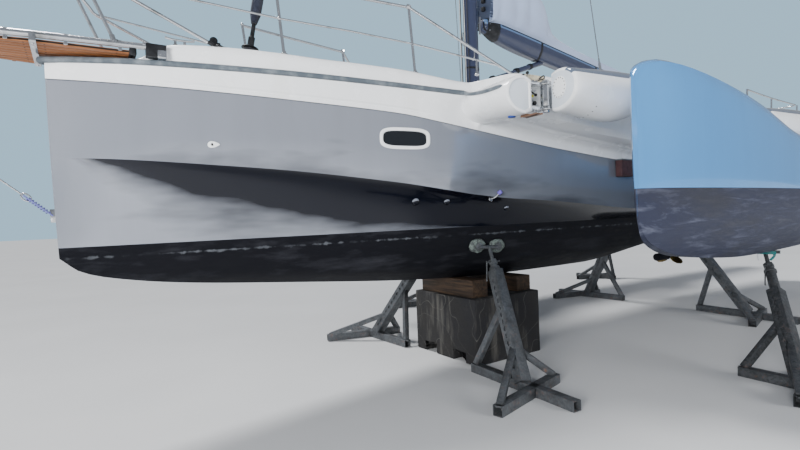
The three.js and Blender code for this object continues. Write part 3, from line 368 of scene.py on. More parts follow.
def stud_nodes(name, finish, sides):
    """The node tree of the round heads, and the keys of its radius, height and crown."""
    tree = bpy.data.node_groups.new(name + "_nodes", "GeometryNodeTree")
    face = tree.interface
    face.new_socket("Geometry", in_out="INPUT", socket_type="NodeSocketGeometry")
    labels = ("Radius", "Height", "Crown")
    sizes = [face.new_socket(label, in_out="INPUT", socket_type="NodeSocketFloat") for label in labels]
    face.new_socket("Geometry", in_out="OUTPUT", socket_type="NodeSocketGeometry")
    nodes, links = tree.nodes, tree.links
    start, end = nodes.new("NodeGroupInput"), nodes.new("NodeGroupOutput")
    shrink = nodes.new("ShaderNodeMath")
    shrink.operation = "MULTIPLY"
    cone = nodes.new("GeometryNodeMeshCone")
    cone.inputs["Vertices"].default_value = sides
    attribute = nodes.new("GeometryNodeInputNamedAttribute")
    attribute.data_type = "FLOAT_VECTOR"
    attribute.inputs["Name"].default_value = "toward"
    aim = nodes.new("FunctionNodeAlignRotationToVector")
    aim.axis = "Z"
    place = nodes.new("GeometryNodeInstanceOnPoints")
    real = nodes.new("GeometryNodeRealizeInstances")
    cover = nodes.new("GeometryNodeSetMaterial")
    cover.inputs["Material"].default_value = coat(finish)
    links.new(start.outputs["Radius"], cone.inputs["Radius Bottom"])
    links.new(start.outputs["Radius"], shrink.inputs[0])
    links.new(start.outputs["Crown"], shrink.inputs[1])
    links.new(shrink.outputs[0], cone.inputs["Radius Top"])
    links.new(start.outputs["Height"], cone.inputs["Depth"])
    links.new(attribute.outputs["Attribute"], aim.inputs["Vector"])
    links.new(start.outputs["Geometry"], place.inputs["Points"])
    links.new(cone.outputs["Mesh"], place.inputs["Instance"])
    links.new(aim.outputs["Rotation"], place.inputs["Rotation"])
    links.new(place.outputs["Instances"], real.inputs["Geometry"])
    links.new(real.outputs["Geometry"], cover.inputs["Geometry"])
    links.new(cover.outputs["Geometry"], end.inputs["Geometry"])
    return tree, [size.identifier for size in sizes]


# Finishes


def shade(red, green, blue):
    """A linear colour from screen values of 0 to 255."""
    parts = [value / 255 for value in (red, green, blue)]
    return [v / 12.92 if v <= 0.04045 else ((v + 0.055) / 1.055) ** 2.4 for v in parts] + [1.0]


class Finish:
    """One procedural material, built from patterns in the object's own place."""

    def __init__(self, name, colour, roughness, **sockets):
        self.material = bpy.data.materials.new(name)
        self.material.use_nodes = True
        self.nodes = self.material.node_tree.nodes
        self.links = self.material.node_tree.links
        self.shader = self.nodes["Principled BSDF"]
        self.place = self.nodes.new("ShaderNodeTexCoord").outputs["Object"]
        self.normal = None
        self.put("Base Color", colour)
        self.put("Roughness", roughness)
        for socket, value in sockets.items():
            self.put(socket.replace("_", " "), value)

    def put(self, socket, value):
        self.feed(self.shader.inputs[socket], value)

    def feed(self, socket, value):
        if isinstance(value, bpy.types.NodeSocket):
            self.links.new(value, socket)
        else:
            socket.default_value = value

    def stretched(self, x, y, z, turn=(0, 0, 0)):
        """Object coordinates made longer or shorter along each axis."""
        node = self.nodes.new("ShaderNodeMapping")
        node.inputs["Scale"].default_value = (x, y, z)
        node.inputs["Rotation"].default_value = turn
        self.links.new(self.place, node.inputs["Vector"])
        return node.outputs["Vector"]

    def noise(self, scale, detail=4, rough=0.55, along=None, twist=0):
        node = self.nodes.new("ShaderNodeTexNoise")
        node.inputs["Scale"].default_value = scale
        node.inputs["Detail"].default_value = detail
        node.inputs["Roughness"].default_value = rough
        node.inputs["Distortion"].default_value = twist
        self.links.new(along or self.place, node.inputs["Vector"])
        return node.outputs["Fac"]

    def cells(self, scale, along=None, feature="F1", output="Distance"):
        node = self.nodes.new("ShaderNodeTexVoronoi")
        node.feature = feature
        node.inputs["Scale"].default_value = scale
        self.links.new(along or self.place, node.inputs["Vector"])
        return node.outputs[output]

    def waves(self, scale, along=None, twist=0, axis="X", profile="SIN"):
        node = self.nodes.new("ShaderNodeTexWave")
        node.bands_direction = axis
        node.wave_profile = profile
        node.inputs["Scale"].default_value = scale
        node.inputs["Distortion"].default_value = twist
        self.links.new(along or self.place, node.inputs["Vector"])
        return node.outputs["Fac"]

    def axis(self, name):
        node = self.nodes.new("ShaderNodeSeparateXYZ")
        self.links.new(self.place, node.inputs[0])
        return node.outputs[name]

    def facing_down(self):
        """How much the surface faces the ground: 0 where it is upright, 1 where it faces straight down."""
        geometry = self.nodes.new("ShaderNodeNewGeometry")
        split = self.nodes.new("ShaderNodeSeparateXYZ")
        self.links.new(geometry.outputs["Normal"], split.inputs[0])
        return self.sum("MULTIPLY", split.outputs[2], -1.0)

    def scaled(self, value, low, high, new_low=0.0, new_high=1.0):
        node = self.nodes.new("ShaderNodeMapRange")
        limits = {"From Min": low, "From Max": high, "To Min": new_low, "To Max": new_high}
        for label, number in limits.items():
            node.inputs[label].default_value = number
        self.feed(node.inputs["Value"], value)
        return node.outputs["Result"]

    def sum(self, operation, a, b):
        node = self.nodes.new("ShaderNodeMath")
        node.operation = operation
        self.feed(node.inputs[0], a)
        self.feed(node.inputs[1], b)
        return node.outputs[0]

    def blend(self, share, a, b):
        node = self.nodes.new("ShaderNodeMix")
        node.data_type = "RGBA"
        self.feed(node.inputs[0], share)
        self.feed(node.inputs[6], a)
        self.feed(node.inputs[7], b)
        return node.outputs[2]

    def tint(self, share, colour, other):
        self.put("Base Color", self.blend(share, colour, other))

    def rough(self, pattern, low, high, least, most):
        self.put("Roughness", self.scaled(pattern, low, high, least, most))

    def bump(self, height, strength, depth):
        node = self.nodes.new("ShaderNodeBump")
        node.inputs["Strength"].default_value = strength
        node.inputs["Distance"].default_value = depth
        self.links.new(height, node.inputs["Height"])
        if self.normal:
            self.links.new(self.normal, node.inputs["Normal"])
        self.normal = node.outputs["Normal"]
        self.links.new(self.normal, self.shader.inputs["Normal"])
        return self


def gloss_topside(colour, shaded=1.0, aft_shade_share=0.8):
    """Gloss paint with painted shade: darker where it faces the ground, as a painted reflection of dark
    ground, and darker aft, as painted shade.
    """
    f = Finish("silver_grey_topside", colour, 0.15, Coat_Weight=1.0, Coat_Roughness=0.03, Metallic=0.3)
    streaks = f.noise(3.2, 5, 0.6, f.stretched(1.0, 1.0, 0.12))
    dull = tuple(c * 0.93 for c in colour[:3]) + (1,)
    # The near-black copy on the next line is a painted reflection of dark ground, used where the surface
    # faces down.
    deep = tuple(c * w for c, w in zip(colour[:3], (0.012, 0.015, 0.03))) + (1,)
    # The darker copy on the next line is painted shade, blended in towards the stern.
    painted_aft_shade = tuple(c * w for c, w in zip(colour[:3], (0.4, 0.44, 0.5))) + (1,)
    plain = f.blend(f.scaled(streaks, 0.45, 0.75), colour, dull)
    plain = f.blend(f.scaled(f.axis("X"), 1.9, -1.8, 0, aft_shade_share), plain, painted_aft_shade)
    # A wobble along the edge of the painted ground reflection.
    reflection_wobble = f.scaled(f.noise(2.6, 3, 0.5, f.stretched(0.35, 1.0, 1.6)), 0.35, 0.65, -0.04, 0.04)
    down = f.sum("ADD", f.facing_down(), reflection_wobble)
    # Paints the dark ground reflection in where the surface faces down, and thins the coat there.
    f.tint(f.scaled(down, 0.1, 0.24, 0, shaded), plain, deep)
    f.put("Coat Weight", f.scaled(down, 0.1, 0.24, 1.0, 1.0 - 0.75 * shaded))
    f.rough(f.noise(1.7, 6), 0.35, 0.7, 0.1, 0.2)
    return f.bump(f.noise(0.9, 2), 0.02, 0.02).material


def white_gelcoat(colour):
    f = Finish("white_gelcoat", colour, 0.24, Coat_Weight=0.5, Coat_Roughness=0.08)
    grime = f.noise(2.6, 6, 0.65, f.stretched(1, 1, 0.3))
    worn = tuple(c * w for c, w in zip(colour[:3], (0.9, 0.89, 0.86))) + (1,)
    f.tint(f.scaled(grime, 0.52, 0.8, 0, 0.8), colour, worn)
    f.rough(f.noise(5, 5), 0.35, 0.7, 0.18, 0.32)
    return f.bump(f.noise(1.3, 2), 0.03, 0.01).material


def grip_deck(colour):
    f = Finish("grip_deck", colour, 0.7)
    f.tint(f.scaled(f.noise(4, 6), 0.4, 0.75), colour, shade(176, 179, 181))
    return f.bump(f.cells(260), 0.5, 0.0015).material


def rubbing_rubber(colour):
    f = Finish("rubbing_rubber", colour, 0.45)
    f.tint(f.scaled(f.noise(9, 6), 0.45, 0.8), colour, shade(130, 138, 144))
    f.rough(f.noise(14, 4), 0.3, 0.7, 0.36, 0.58)
    return f.bump(f.noise(60, 3), 0.12, 0.002).material


def antifouling(colour):
    """Eroded bottom paint, chalky in patches, with a pale scum line near its top."""
    f = Finish("antifouling", colour, 0.75, Specular_IOR_Level=0.2)
    streaks = f.noise(4.5, 8, 0.7, f.stretched(0.35, 0.35, 1.6))
    patchy = f.blend(f.scaled(streaks, 0.5, 0.78), colour, shade(48, 49, 54))
    near = f.sum("ABSOLUTE", f.sum("SUBTRACT", f.axis("Z"), 1.42), 0)
    ragged = f.sum("ADD", near, f.scaled(f.noise(14, 5), 0.3, 0.7, -0.012, 0.02))
    scum = f.sum("MULTIPLY", f.scaled(ragged, 0.0, 0.012, 0.55, 0.0), f.scaled(f.noise(3, 3), 0.4, 0.6))
    f.tint(scum, patchy, shade(104, 108, 114))
    f.rough(streaks, 0.3, 0.7, 0.5, 0.85)
    f.bump(f.noise(45, 5), 0.16, 0.003)
    return f.bump(f.noise(3, 4), 0.08, 0.01).material


def worn_antifouling(colour):
    """The floats' bottom paint: greyer, scuffed along its length."""
    f = Finish("worn_antifouling", colour, 0.65)
    scuffs = f.noise(7, 9, 0.72, f.stretched(0.3, 1, 2.2), twist=0.6)
    rubbed = f.blend(f.scaled(scuffs, 0.5, 0.72), colour, shade(88, 92, 108))
    dark = f.noise(1.8, 7, 0.6, f.stretched(0.5, 1, 1.4))
    f.tint(f.scaled(dark, 0.52, 0.7, 0, 0.75), rubbed, shade(44, 45, 52))
    f.rough(scuffs, 0.35, 0.7, 0.42, 0.75)
    return f.bump(f.noise(40, 5), 0.14, 0.003).material


def polished_steel(colour):
    f = Finish("polished_steel", colour, 0.2, Metallic=1.0)
    f.rough(f.noise(22, 5), 0.35, 0.7, 0.12, 0.3)
    f.tint(f.scaled(f.noise(8, 6), 0.55, 0.8), colour, shade(150, 148, 142))
    return f.bump(f.noise(180, 2), 0.03, 0.001).material


def teak(colour):
    f = Finish("oiled_teak", colour, 0.55)
    grain = f.noise(16, 9, 0.68, f.stretched(0.14, 4.5, 4.5), twist=0.4)
    boards = f.noise(5.5, 1, 0.4, f.stretched(0.02, 2.2, 0.2))
    base = f.blend(f.scaled(grain, 0.38, 0.66), colour, shade(120, 68, 36))
    f.tint(f.scaled(boards, 0.4, 0.62, 0, 0.5), base, shade(190, 124, 80))
    f.rough(grain, 0.3, 0.7, 0.45, 0.7)
    return f.bump(grain, 0.35, 0.0015).material


def dark_carbon(colour):
    """Lacquered carbon: a faint weave under a clear coat."""
    f = Finish("dark_carbon", colour, 0.4, Coat_Weight=0.9, Coat_Roughness=0.07)
    warp = f.waves(210, axis="DIAGONAL")
    weft = f.waves(190, f.stretched(1, -1, 1), axis="DIAGONAL")
    weave = f.sum("MULTIPLY", warp, weft)
    f.tint(f.scaled(weave, 0.2, 0.9, 0, 0.5), colour, shade(52, 58, 74))
    f.rough(f.noise(9, 5), 0.3, 0.7, 0.3, 0.5)
    return f.bump(f.noise(2.2, 3), 0.03, 0.01).material


def smoked_glass(colour):
    f = Finish("smoked_glass", colour, 0.06, Coat_Weight=0.6, Coat_Roughness=0.03)
    f.rough(f.noise(6, 6), 0.4, 0.75, 0.04, 0.12)
    return f.bump(f.noise(1.6, 1), 0.02, 0.004).material


def sailcloth(colour):
    f = Finish("grey_sailcloth", colour, 0.8, Sheen_Weight=0.25)
    weave = f.sum("MULTIPLY", f.waves(260, axis="X"), f.waves(260, axis="Z"))
    worn = f.noise(1.6, 3, 0.5, f.stretched(0.6, 1, 1.2))
    f.tint(f.scaled(worn, 0.35, 0.75, 0, 0.35), colour, shade(112, 116, 132))
    f.bump(weave, 0.12, 0.0006)
    return f.bump(f.noise(6, 3), 0.15, 0.006).material


def dark_cover(colour):
    f = Finish("dark_cover_cloth", colour, 0.85, Sheen_Weight=0.2)
    f.tint(f.scaled(f.noise(11, 6), 0.45, 0.75), colour, shade(48, 52, 66))
    f.bump(f.sum("MULTIPLY", f.waves(300, axis="X"), f.waves(300, axis="Y")), 0.2, 0.0008)
    return f.bump(f.noise(17, 3), 0.25, 0.006).material


def stained_and_shaded_concrete(colour):
    """Old cast concrete with blotches, pits, runs and pale scratches; its very dark colour is partly painted
    shade.
    """
    f = Finish("stained_and_shaded_concrete", colour, 0.9)
    cloud = f.noise(3.4, 10, 0.7)
    stain_and_shade = f.blend(f.scaled(cloud, 0.4, 0.66), colour, shade(40, 39, 38))
    runs = f.noise(6, 6, 0.6, f.stretched(1, 1, 0.16))
    stain_and_shade = f.blend(f.scaled(runs, 0.55, 0.74, 0, 0.55), stain_and_shade, shade(112, 110, 104))
    scratch = f.waves(1.6, f.stretched(1, 1, 1, (0.5, 0.4, 0.7)), 14, "DIAGONAL", "SAW")
    f.tint(f.scaled(scratch, 0.985, 1.0, 0, 0.5), stain_and_shade, shade(138, 136, 130))
    f.bump(f.cells(34, feature="SMOOTH_F1"), 0.25, 0.006)
    f.bump(f.noise(80, 8, 0.7), 0.4, 0.003)
    return f.bump(cloud, 0.3, 0.02).material


def galvanised(colour):
    """Weathered zinc: a crystal pattern, dull patches and a little rust low down."""
    f = Finish("galvanised_steel", colour, 0.5, Metallic=0.75)
    spangle = f.cells(55, output="Color")
    crystal = f.scaled(f.sum("MULTIPLY", spangle, 1.0), 0, 1, 0, 0.35)
    zinc = f.blend(crystal, colour, shade(150, 153, 156))
    dull = f.blend(f.scaled(f.noise(9, 7, 0.65), 0.45, 0.7, 0, 0.7), zinc, shade(74, 75, 76))
    low_down = f.scaled(f.axis("Z"), 0, 0.9, 0.9, 0.15)
    rust = f.sum("MULTIPLY", f.scaled(f.noise(19, 8, 0.7), 0.56, 0.72), low_down)
    f.tint(rust, dull, shade(104, 66, 42))
    f.put("Metallic", f.scaled(rust, 0, 0.5, 0.75, 0.1))
    f.rough(f.noise(14, 5), 0.3, 0.7, 0.38, 0.66)
    return f.bump(f.noise(70, 5), 0.18, 0.0015).material


def peeling_rubber(colour):
    f = Finish("peeling_rubber", colour, 0.85)
    flakes = f.scaled(f.noise(24, 8, 0.7), 0.5, 0.54)
    f.tint(flakes, colour, shade(70, 74, 74))
    f.bump(flakes, 0.5, 0.002)
    return f.bump(f.noise(9, 6), 0.4, 0.006).material


def rough_timber(colour):
    f = Finish("rough_timber", colour, 0.85)
    grain = f.noise(9, 10, 0.7, f.stretched(3.2, 0.2, 3.2), twist=0.8)
    f.tint(f.scaled(grain, 0.36, 0.68), colour, shade(70, 55, 42))
    return f.bump(grain, 0.5, 0.004).material


def bronze(colour):
    f = Finish("bronze", colour, 0.35, Metallic=1.0)
    f.tint(f.scaled(f.noise(16, 7), 0.42, 0.7), colour, shade(96, 84, 52))
    f.rough(f.noise(12, 5), 0.3, 0.7, 0.25, 0.5)
    return f.bump(f.noise(60, 4), 0.1, 0.001).material


def plain_coat(name, colour, rough, worn, **sockets):
    """A paint, plastic or rope with its own wear and a light texture."""
    f = Finish(name, colour, rough, **sockets)
    f.tint(f.scaled(f.noise(18, 6, 0.6), 0.45, 0.72), colour, worn)
    f.rough(f.noise(25, 4), 0.3, 0.7, rough * 0.8, min(rough * 1.2, 1))
    return f.bump(f.noise(90, 4), 0.15, 0.001).material


def pale_floor():
    f = Finish("pale_floor", shade(206, 207, 208), 0.85)
    cloud = f.scaled(f.noise(0.5, 3), 0.3, 0.7)
    f.tint(cloud, shade(203, 204, 205), shade(209, 210, 211))
    return f.material


def rope(name, colour, worn):
    f = Finish(name, colour, 0.8, Sheen_Weight=0.2)
    lay = f.waves(120, f.stretched(1, 1, 1, (0.6, 0.5, 0.3)), 1.5, "DIAGONAL")
    f.tint(f.scaled(lay, 0.2, 0.8, 0, 0.7), colour, worn)
    return f.bump(lay, 0.5, 0.002).material


RECIPES = {
    "topside": lambda p: gloss_topside(tuple(p.topside)),
    "gelcoat": lambda p: white_gelcoat(tuple(p.gelcoat)),
    "stub_face": lambda p: white_gelcoat(tuple(shade(205, 213, 222))),
    "line": lambda p: plain_coat("dark_line", shade(58, 60, 66), 0.4, shade(80, 82, 88)),
    # The beams' stripe carries a weaker painted reflection of dark ground, and no painted aft shade.
    "stripe": lambda p: gloss_topside(tuple(shade(104, 118, 140)), 0.3, 0.0),
    # The floats' paint carries a painted reflection of dark ground where it faces down.
    "float_side": lambda p: gloss_topside(tuple(p.float_side), 0.4, 0.0),
    "grip": lambda p: grip_deck(shade(196, 199, 201)),
    "trim": lambda p: rubbing_rubber(tuple(p.trim)),
    "antifoul": lambda p: antifouling(tuple(p.antifoul)),
    "float_antifoul": lambda p: worn_antifouling(tuple(p.float_antifoul)),
    "steel": lambda p: polished_steel(shade(226, 228, 231)),
    "teak": lambda p: teak(tuple(p.teak)),
    "seam": lambda p: plain_coat("black_seam", shade(18, 17, 16), 0.6, shade(30, 29, 28)),
    "carbon": lambda p: dark_carbon(tuple(p.carbon)),
    # A lighter blue for the boom's upper side walls, as a painted sky reflection.
    "boom_sky_reflection": lambda p: dark_carbon(shade(84, 112, 150)),
    "glass": lambda p: smoked_glass(shade(16, 20, 25)),
    "cloth": lambda p: sailcloth(tuple(p.cloth)),
    "cover": lambda p: dark_cover(shade(24, 27, 38)),
    "concrete": lambda p: stained_and_shaded_concrete(tuple(p.concrete)),
    "stand": lambda p: galvanised(tuple(p.stand)),
    "dark_stand": lambda p: galvanised(shade(76, 79, 82)),
    "rubber": lambda p: peeling_rubber(shade(98, 108, 104)),
    # The timbers' near-black brown is their dark timber, darkened further as painted shade.
    "timber": lambda p: rough_timber(shade(27, 24, 22)),
    "bronze": lambda p: bronze(shade(168, 142, 84)),
    "black": lambda p: plain_coat("black_plastic", shade(18, 19, 21), 0.45, shade(42, 43, 46)),
    "black_rope": lambda p: rope("black_rope", shade(22, 22, 25), shade(60, 60, 66)),
    "blue_rope": lambda p: rope("blue_rope", shade(48, 56, 150), shade(150, 154, 196)),
    "white_rope": lambda p: rope("white_rope", shade(205, 205, 200), shade(150, 152, 156)),
    "purple": lambda p: plain_coat("purple_cap", shade(112, 98, 190), 0.4, shade(86, 76, 160)),
    "blue": lambda p: plain_coat("blue_fitting", shade(40, 70, 150), 0.35, shade(28, 50, 110)),
    "teal": lambda p: plain_coat("teal_paint", shade(26, 104, 106), 0.5, shade(84, 92, 88)),
    "cream": lambda p: plain_coat("bare_moulding", shade(196, 188, 166), 0.5, shade(120, 112, 98)),
    "floor": lambda p: pale_floor(),
    "yellow": lambda p: plain_coat("yellow_tag", shade(214, 210, 60), 0.5, shade(170, 160, 40)),
    "buffer": lambda p: plain_coat("brown_buffer", shade(66, 44, 46), 0.6, shade(48, 34, 36)),
    "brown_plate": lambda p: plain_coat("brown_plate", shade(112, 84, 66), 0.5, shade(84, 62, 50)),
}
MADE = {}


def coat(name):
    """The finish of that name, made the first time it is asked for."""
    if name not in MADE:
        MADE[name] = RECIPES[name](bpy.context.scene.trimaran_colours)
    return MADE[name]


# Shapes of the hull, decks and floats, on the same lines as the CAD

HULL = table(
    "s deck_y deck_z band_y band_z knuckle_y knuckle_z shelf water_y keel_y keel_z",
    (0, 0.016, 2.91, 0.016, 2.77, 0.015, 2.182, 0, 0.012, 0.008, 1.425),
    (0.15, 0.08, 2.915, 0.078, 2.762, 0.07, 2.178, 0.004, 0.036, 0.016, 1.31),
    (0.5, 0.205, 2.915, 0.198, 2.745, 0.176, 2.165, 0.02, 0.092, 0.028, 1.222),
    (1, 0.36, 2.904, 0.35, 2.715, 0.318, 2.13, 0.06, 0.165, 0.04, 1.15),
    (1.8, 0.56, 2.882, 0.548, 2.66, 0.505, 2.065, 0.1, 0.288, 0.06, 1.072),
    (2.75, 0.718, 2.856, 0.7, 2.6, 0.655, 1.96, 0.125, 0.41, 0.08, 0.985),
    (3.15, 0.765, 2.846, 0.755, 2.545, 0.715, 1.9, 0.13, 0.458, 0.088, 0.955),
    (3.52, 0.822, 2.842, 0.811, 2.486, 0.755, 1.843, 0.13, 0.496, 0.093, 0.933),
    (3.66, 1.27, 2.858, 0.826, 2.465, 0.769, 1.827, 0.13, 0.508, 0.095, 0.927),
    (3.9, 1.335, 2.88, 0.85, 2.43, 0.792, 1.8, 0.13, 0.53, 0.098, 0.918),
    (4.7, 1.34, 2.888, 0.915, 2.325, 0.868, 1.745, 0.13, 0.576, 0.105, 0.898),
    (6.2, 1.335, 2.89, 0.962, 2.205, 0.935, 1.625, 0.13, 0.62, 0.11, 0.905),
    (7.95, 1.32, 2.878, 0.968, 2.19, 0.948, 1.61, 0.13, 0.616, 0.105, 1.105),
    (8.7, 1.18, 2.86, 0.955, 2.21, 0.936, 1.625, 0.12, 0.59, 0.095, 1.21),
    (10, 0.98, 2.815, 0.915, 2.26, 0.89, 1.665, 0.1, 0.52, 0.07, 1.365),
    (11.9, 0.9, 2.76, 0.85, 2.32, 0.815, 1.735, 0.07, 0.4, 0.04, 1.482),
)
DECK_RISE = table(
    "s rise",
    (0, 0.02),
    (0.6, 0.024),
    (0.82, 0.148),
    (1, 0.172),
    (1.4, 0.18),
    (1.8, 0.172),
    (2.05, 0.165),
    (2.35, 0.166),
    (2.8, 0.161),
    (3, 0.15),
    (3.25, 0.132),
    (3.5, 0.114),
    (3.66, 0.084),
    (3.9, 0.062),
    (11.9, 0.06),
)
ROOFLINE = table(
    "s base_y top_y top_z",
    (4.7, 0.56, 0.42, 3.1),
    (5.05, 0.69, 0.54, 3.27),
    (5.6, 0.74, 0.6, 3.37),
    (6.6, 0.745, 0.62, 3.415),
    (7.6, 0.74, 0.62, 3.42),
    (8.5, 0.725, 0.61, 3.41),
)
FLOAT_LINES = table(
    "s half deck_z crown keel_z",
    (0, 0.022, 2.68, 0.018, 1.56),
    (0.06, 0.07, 2.752, 0.03, 1.405),
    (0.2, 0.135, 2.801, 0.04, 1.305),
    (0.5, 0.212, 2.776, 0.045, 1.215),
    (1, 0.29, 2.68, 0.045, 1.16),
    (1.6, 0.342, 2.535, 0.04, 1.128),
    (2.25, 0.378, 2.325, 0.04, 1.135),
    (2.9, 0.395, 2.24, 0.042, 1.152),
    (4, 0.415, 2.215, 0.045, 1.19),
    (6.3, 0.4, 2.24, 0.045, 1.32),
    (8.3, 0.34, 2.27, 0.04, 1.5),
    (10.2, 0.25, 2.3, 0.03, 1.76),
)
BEAM = table(
    "s aft fore low high",
    (0.015, -0.07, 0.43, 2.545, 2.92),
    (0.6, -0.08, 0.35, 2.46, 2.93),
    (1.2, -0.115, 0.19, 2.605, 2.925),
    (1.8, -0.155, 0.15, 2.56, 2.85),
    (2.22, -0.164, 0.15, 2.47, 2.7),
    (2.4, -0.165, 0.15, 2.47, 2.7),
)
BEAM_LENGTH = 2.4
BOOM = table(
    "s half low high",
    (0.01, 0.045, -0.06, 0.08),
    (0.25, 0.095, -0.115, 0.12),
    (0.9, 0.115, -0.15, 0.12),
    (4.3, 0.115, -0.14, 0.12),
    (5.1, 0.095, -0.06, 0.105),
    (5.3, 0.06, -0.02, 0.07),
)
STOW = table(
    "s half high",
    (0.07, 0.12, 0.9),
    (0.25, 0.13, 0.86),
    (0.6, 0.15, 0.76),
    (1.15, 0.15, 0.56),
    (1.4, 0.12, 0.15),
    (2.2, 0.1, 0.06),
    (4.3, 0.085, 0.04),
    (5, 0.05, 0.022),
)


def line(name, s):
    return look(HULL, name, s)


def rise_at(s):
    """How far the deck's edge stands above the sheer."""
    return look(DECK_RISE, "rise", s)


def rake(s, z):
    """How far aft the stem leans at a height, fading out along the bow."""
    down = (2.9 - z) / 1.45
    return (0.045 + 0.03 * down * down) * max(0, 1 - s / 1.5) ** 2


def raked(s, y, z):
    return at(s + rake(s, z), y, z)


def whole(half, place):
    """Both sides of a half section."""
    return [place(y, z) for y, z in half] + [place(-y, z) for y, z in half[::-1]]


def narrowed(ring):
    """A section pressed almost flat on its own middle plane, which closes a stem without a one-colour cap."""
    middle = sum(p.y for p in ring) / len(ring)
    return [Vector((p.x, lerp(middle, p.y, 0.03), p.z)) for p in ring]


def smooth_line(points, steps):
    """A curve in the section's plane through (y, z) points."""
    return [(p.y, p.z) for p in curve_points([(0, y, z) for y, z in points], steps)]


def wing_share(s):
    """How much of the shelf under the wing there is: none along the bow, all of it at the beams."""
    return min(max((line("deck_y", s) - line("band_y", s) - 0.1) / 0.25, 0), 1)


def wing(s):
    """The sharp edge of the shelf under the wing, and the shelf's outer lip."""
    band_y, band_z, deck_y = line("band_y", s), line("band_z", s), line("deck_y", s)
    low = line("deck_z", s) - 0.06
    share = wing_share(s)
    full = [(band_y + 0.085, band_z + 0.115), (deck_y - 0.035, band_z + 0.175)]
    out = []
    for t, (y, z) in zip((0.55, 0.85), full):
        out.append((lerp(lerp(band_y, deck_y, t), y, share), lerp(lerp(band_z, low, t), z, share)))
    return out


def swell(band_y):
    """How far the topside bulges between the knuckle and the white band."""
    return min(0.012, band_y * 0.04)


BOTTOM_STEPS = 4
COVE_STEPS = 9
TOPSIDE_STEPS = 4


def hull_half(s):
    """One side of the hull from the keel up, and the finish of each strip between its points."""
    keel_y, keel_z = line("keel_y", s), line("keel_z", s)
    water_y, water_z = line("water_y", s), WATERLINE
    knuckle = Vector((line("knuckle_y", s), line("knuckle_z", s)))
    depth = water_z - keel_z
    bottom = [
        (keel_y, keel_z),
        (water_y * 0.62 + keel_y * 0.2, keel_z + depth * 0.24),
        (water_y * 0.9, keel_z + depth * 0.62),
        (water_y, water_z),
    ]
    half = smooth_line(bottom, BOTTOM_STEPS)
    spans = [0] * (len(half) - 1)
    shelf = line("shelf", s)
    p = [Vector((water_y, water_z)), None, None, knuckle]
    p[2] = Vector((knuckle.x - shelf * 1.05, knuckle.y - 0.02 - shelf * 0.3))
    p[1] = Vector((lerp(water_y, p[2].x, 0.3), lerp(water_z, p[2].y, 0.5)))
    for k in range(1, COVE_STEPS + 1):
        t = k / COVE_STEPS
        u = 1 - t
        q = p[0] * u**3 + p[1] * 3 * u * u * t + p[2] * 3 * u * t * t + p[3] * t**3
        half.append((q.x, q.y))
    spans += [1] * COVE_STEPS
    band = Vector((line("band_y", s), line("band_z", s)))
    bulge = swell(band.x)
    lined = 1 - 0.008 / (band - knuckle).length
    for k in range(1, TOPSIDE_STEPS + 2):
        t = lined * k / TOPSIDE_STEPS if k <= TOPSIDE_STEPS else 1
        q = knuckle.lerp(band, t)
        half.append((q.x + bulge * math.sin(math.pi * t), q.y))
    spans += [1] * TOPSIDE_STEPS + [3]
    deck_y, deck_z = line("deck_y", s), line("deck_z", s)
    corner, lip = wing(s)
    corner = Vector(corner)
    share = wing_share(s)
    middle = band.lerp(corner, 0.5) + Vector((-0.012, 0.02)) * share
    cove = [Vector(q) for q in smooth_line([tuple(band), tuple(middle), tuple(corner)], 6)]
    length = (corner - band).length
    start = min(lerp(0.02, 0.042, min(s / 2.5, 1)), length * 0.3)
    deep = 0.011 * min(max((3.35 - s) / 0.5, 0), 1) * min(max((s - 0.35) / 0.5, 0), 1)
    edge = (cove[1] - cove[0]).normalized()
    last = min(start + 0.03, length * 0.8)
    groove = ((start, 0), (lerp(start, last, 0.12), deep), (lerp(start, last, 0.5), deep), (last, 0))
    for up, inward in groove:
        q = band + edge * up
        half.append((q.x - inward, q.y))
    spans += [2] * 4
    beyond = [tuple(q) for q in cove[1:] if (q - band).length > last + 0.004]
    rest = resample([half[-1], *(beyond or [tuple(corner)])], 6)[1:]
    rest += resample(smooth_line([tuple(corner), lip, (deck_y, deck_z - 0.06)], 5), 9)[1:]
    half += rest
    spans += [2] * len(rest)
    half.append((deck_y, deck_z))
    spans.append(2)
    return half, spans


HULL_STATIONS = (
    [0, 0.03, 0.07, 0.12, 0.2, 0.3, 0.42, 0.53]
    + spread(0.6, 0.86, 9)
    + spread(0.95, 3.35, 23)
    + spread(3.42, 3.72, 19)
    + spread(3.78, 8.7, 34)
    + spread(8.9, HULL_LENGTH, 16)
)


def crown(s):
    return min(0.06, line("deck_y", s) * 0.06)


def deck_top(s, y):
    """Height of the deck at a place."""
    t = min(abs(y) / line("deck_y", s), 0.95)
    fall = 0.25 * t / 0.45 if t < 0.45 else 0.25 + 0.75 * (t - 0.45) / 0.5
    return line("deck_z", s) + rise_at(s) + crown(s) * (1 - fall)


def on_deck(s, y, up=0.0):
    return at(s, y, deck_top(s, abs(y)) + up)


def deck_half(s):
    """One side of the deck moulding, from its lower edge round to the centreline."""
    y, z, rise = line("deck_y", s), line("deck_z", s), rise_at(s)
    inner = max(y - 0.06, y * 0.5)
    edge = [(y, z + 0.0004), (y, z + rise * 0.3)]
    for k in range(1, 7):
        a = math.pi / 2 * k / 6
        edge.append((inner + (y - inner) * math.cos(a) ** 0.8, z + rise * (0.3 + 0.7 * math.sin(a) ** 0.9)))
    flat = [inner * t for t in (0.93, 0.8, 0.62, 0.45, 0.28, 0.12)]
    return edge + [(v, deck_top(s, v)) for v in flat]


STUB = {"chord": 0.33, "low": 2.53, "high": 2.886, "outer": 1.4, "offset": 0.165}
STUB_INNER = {"front": 0.76, "aft": 0.9}
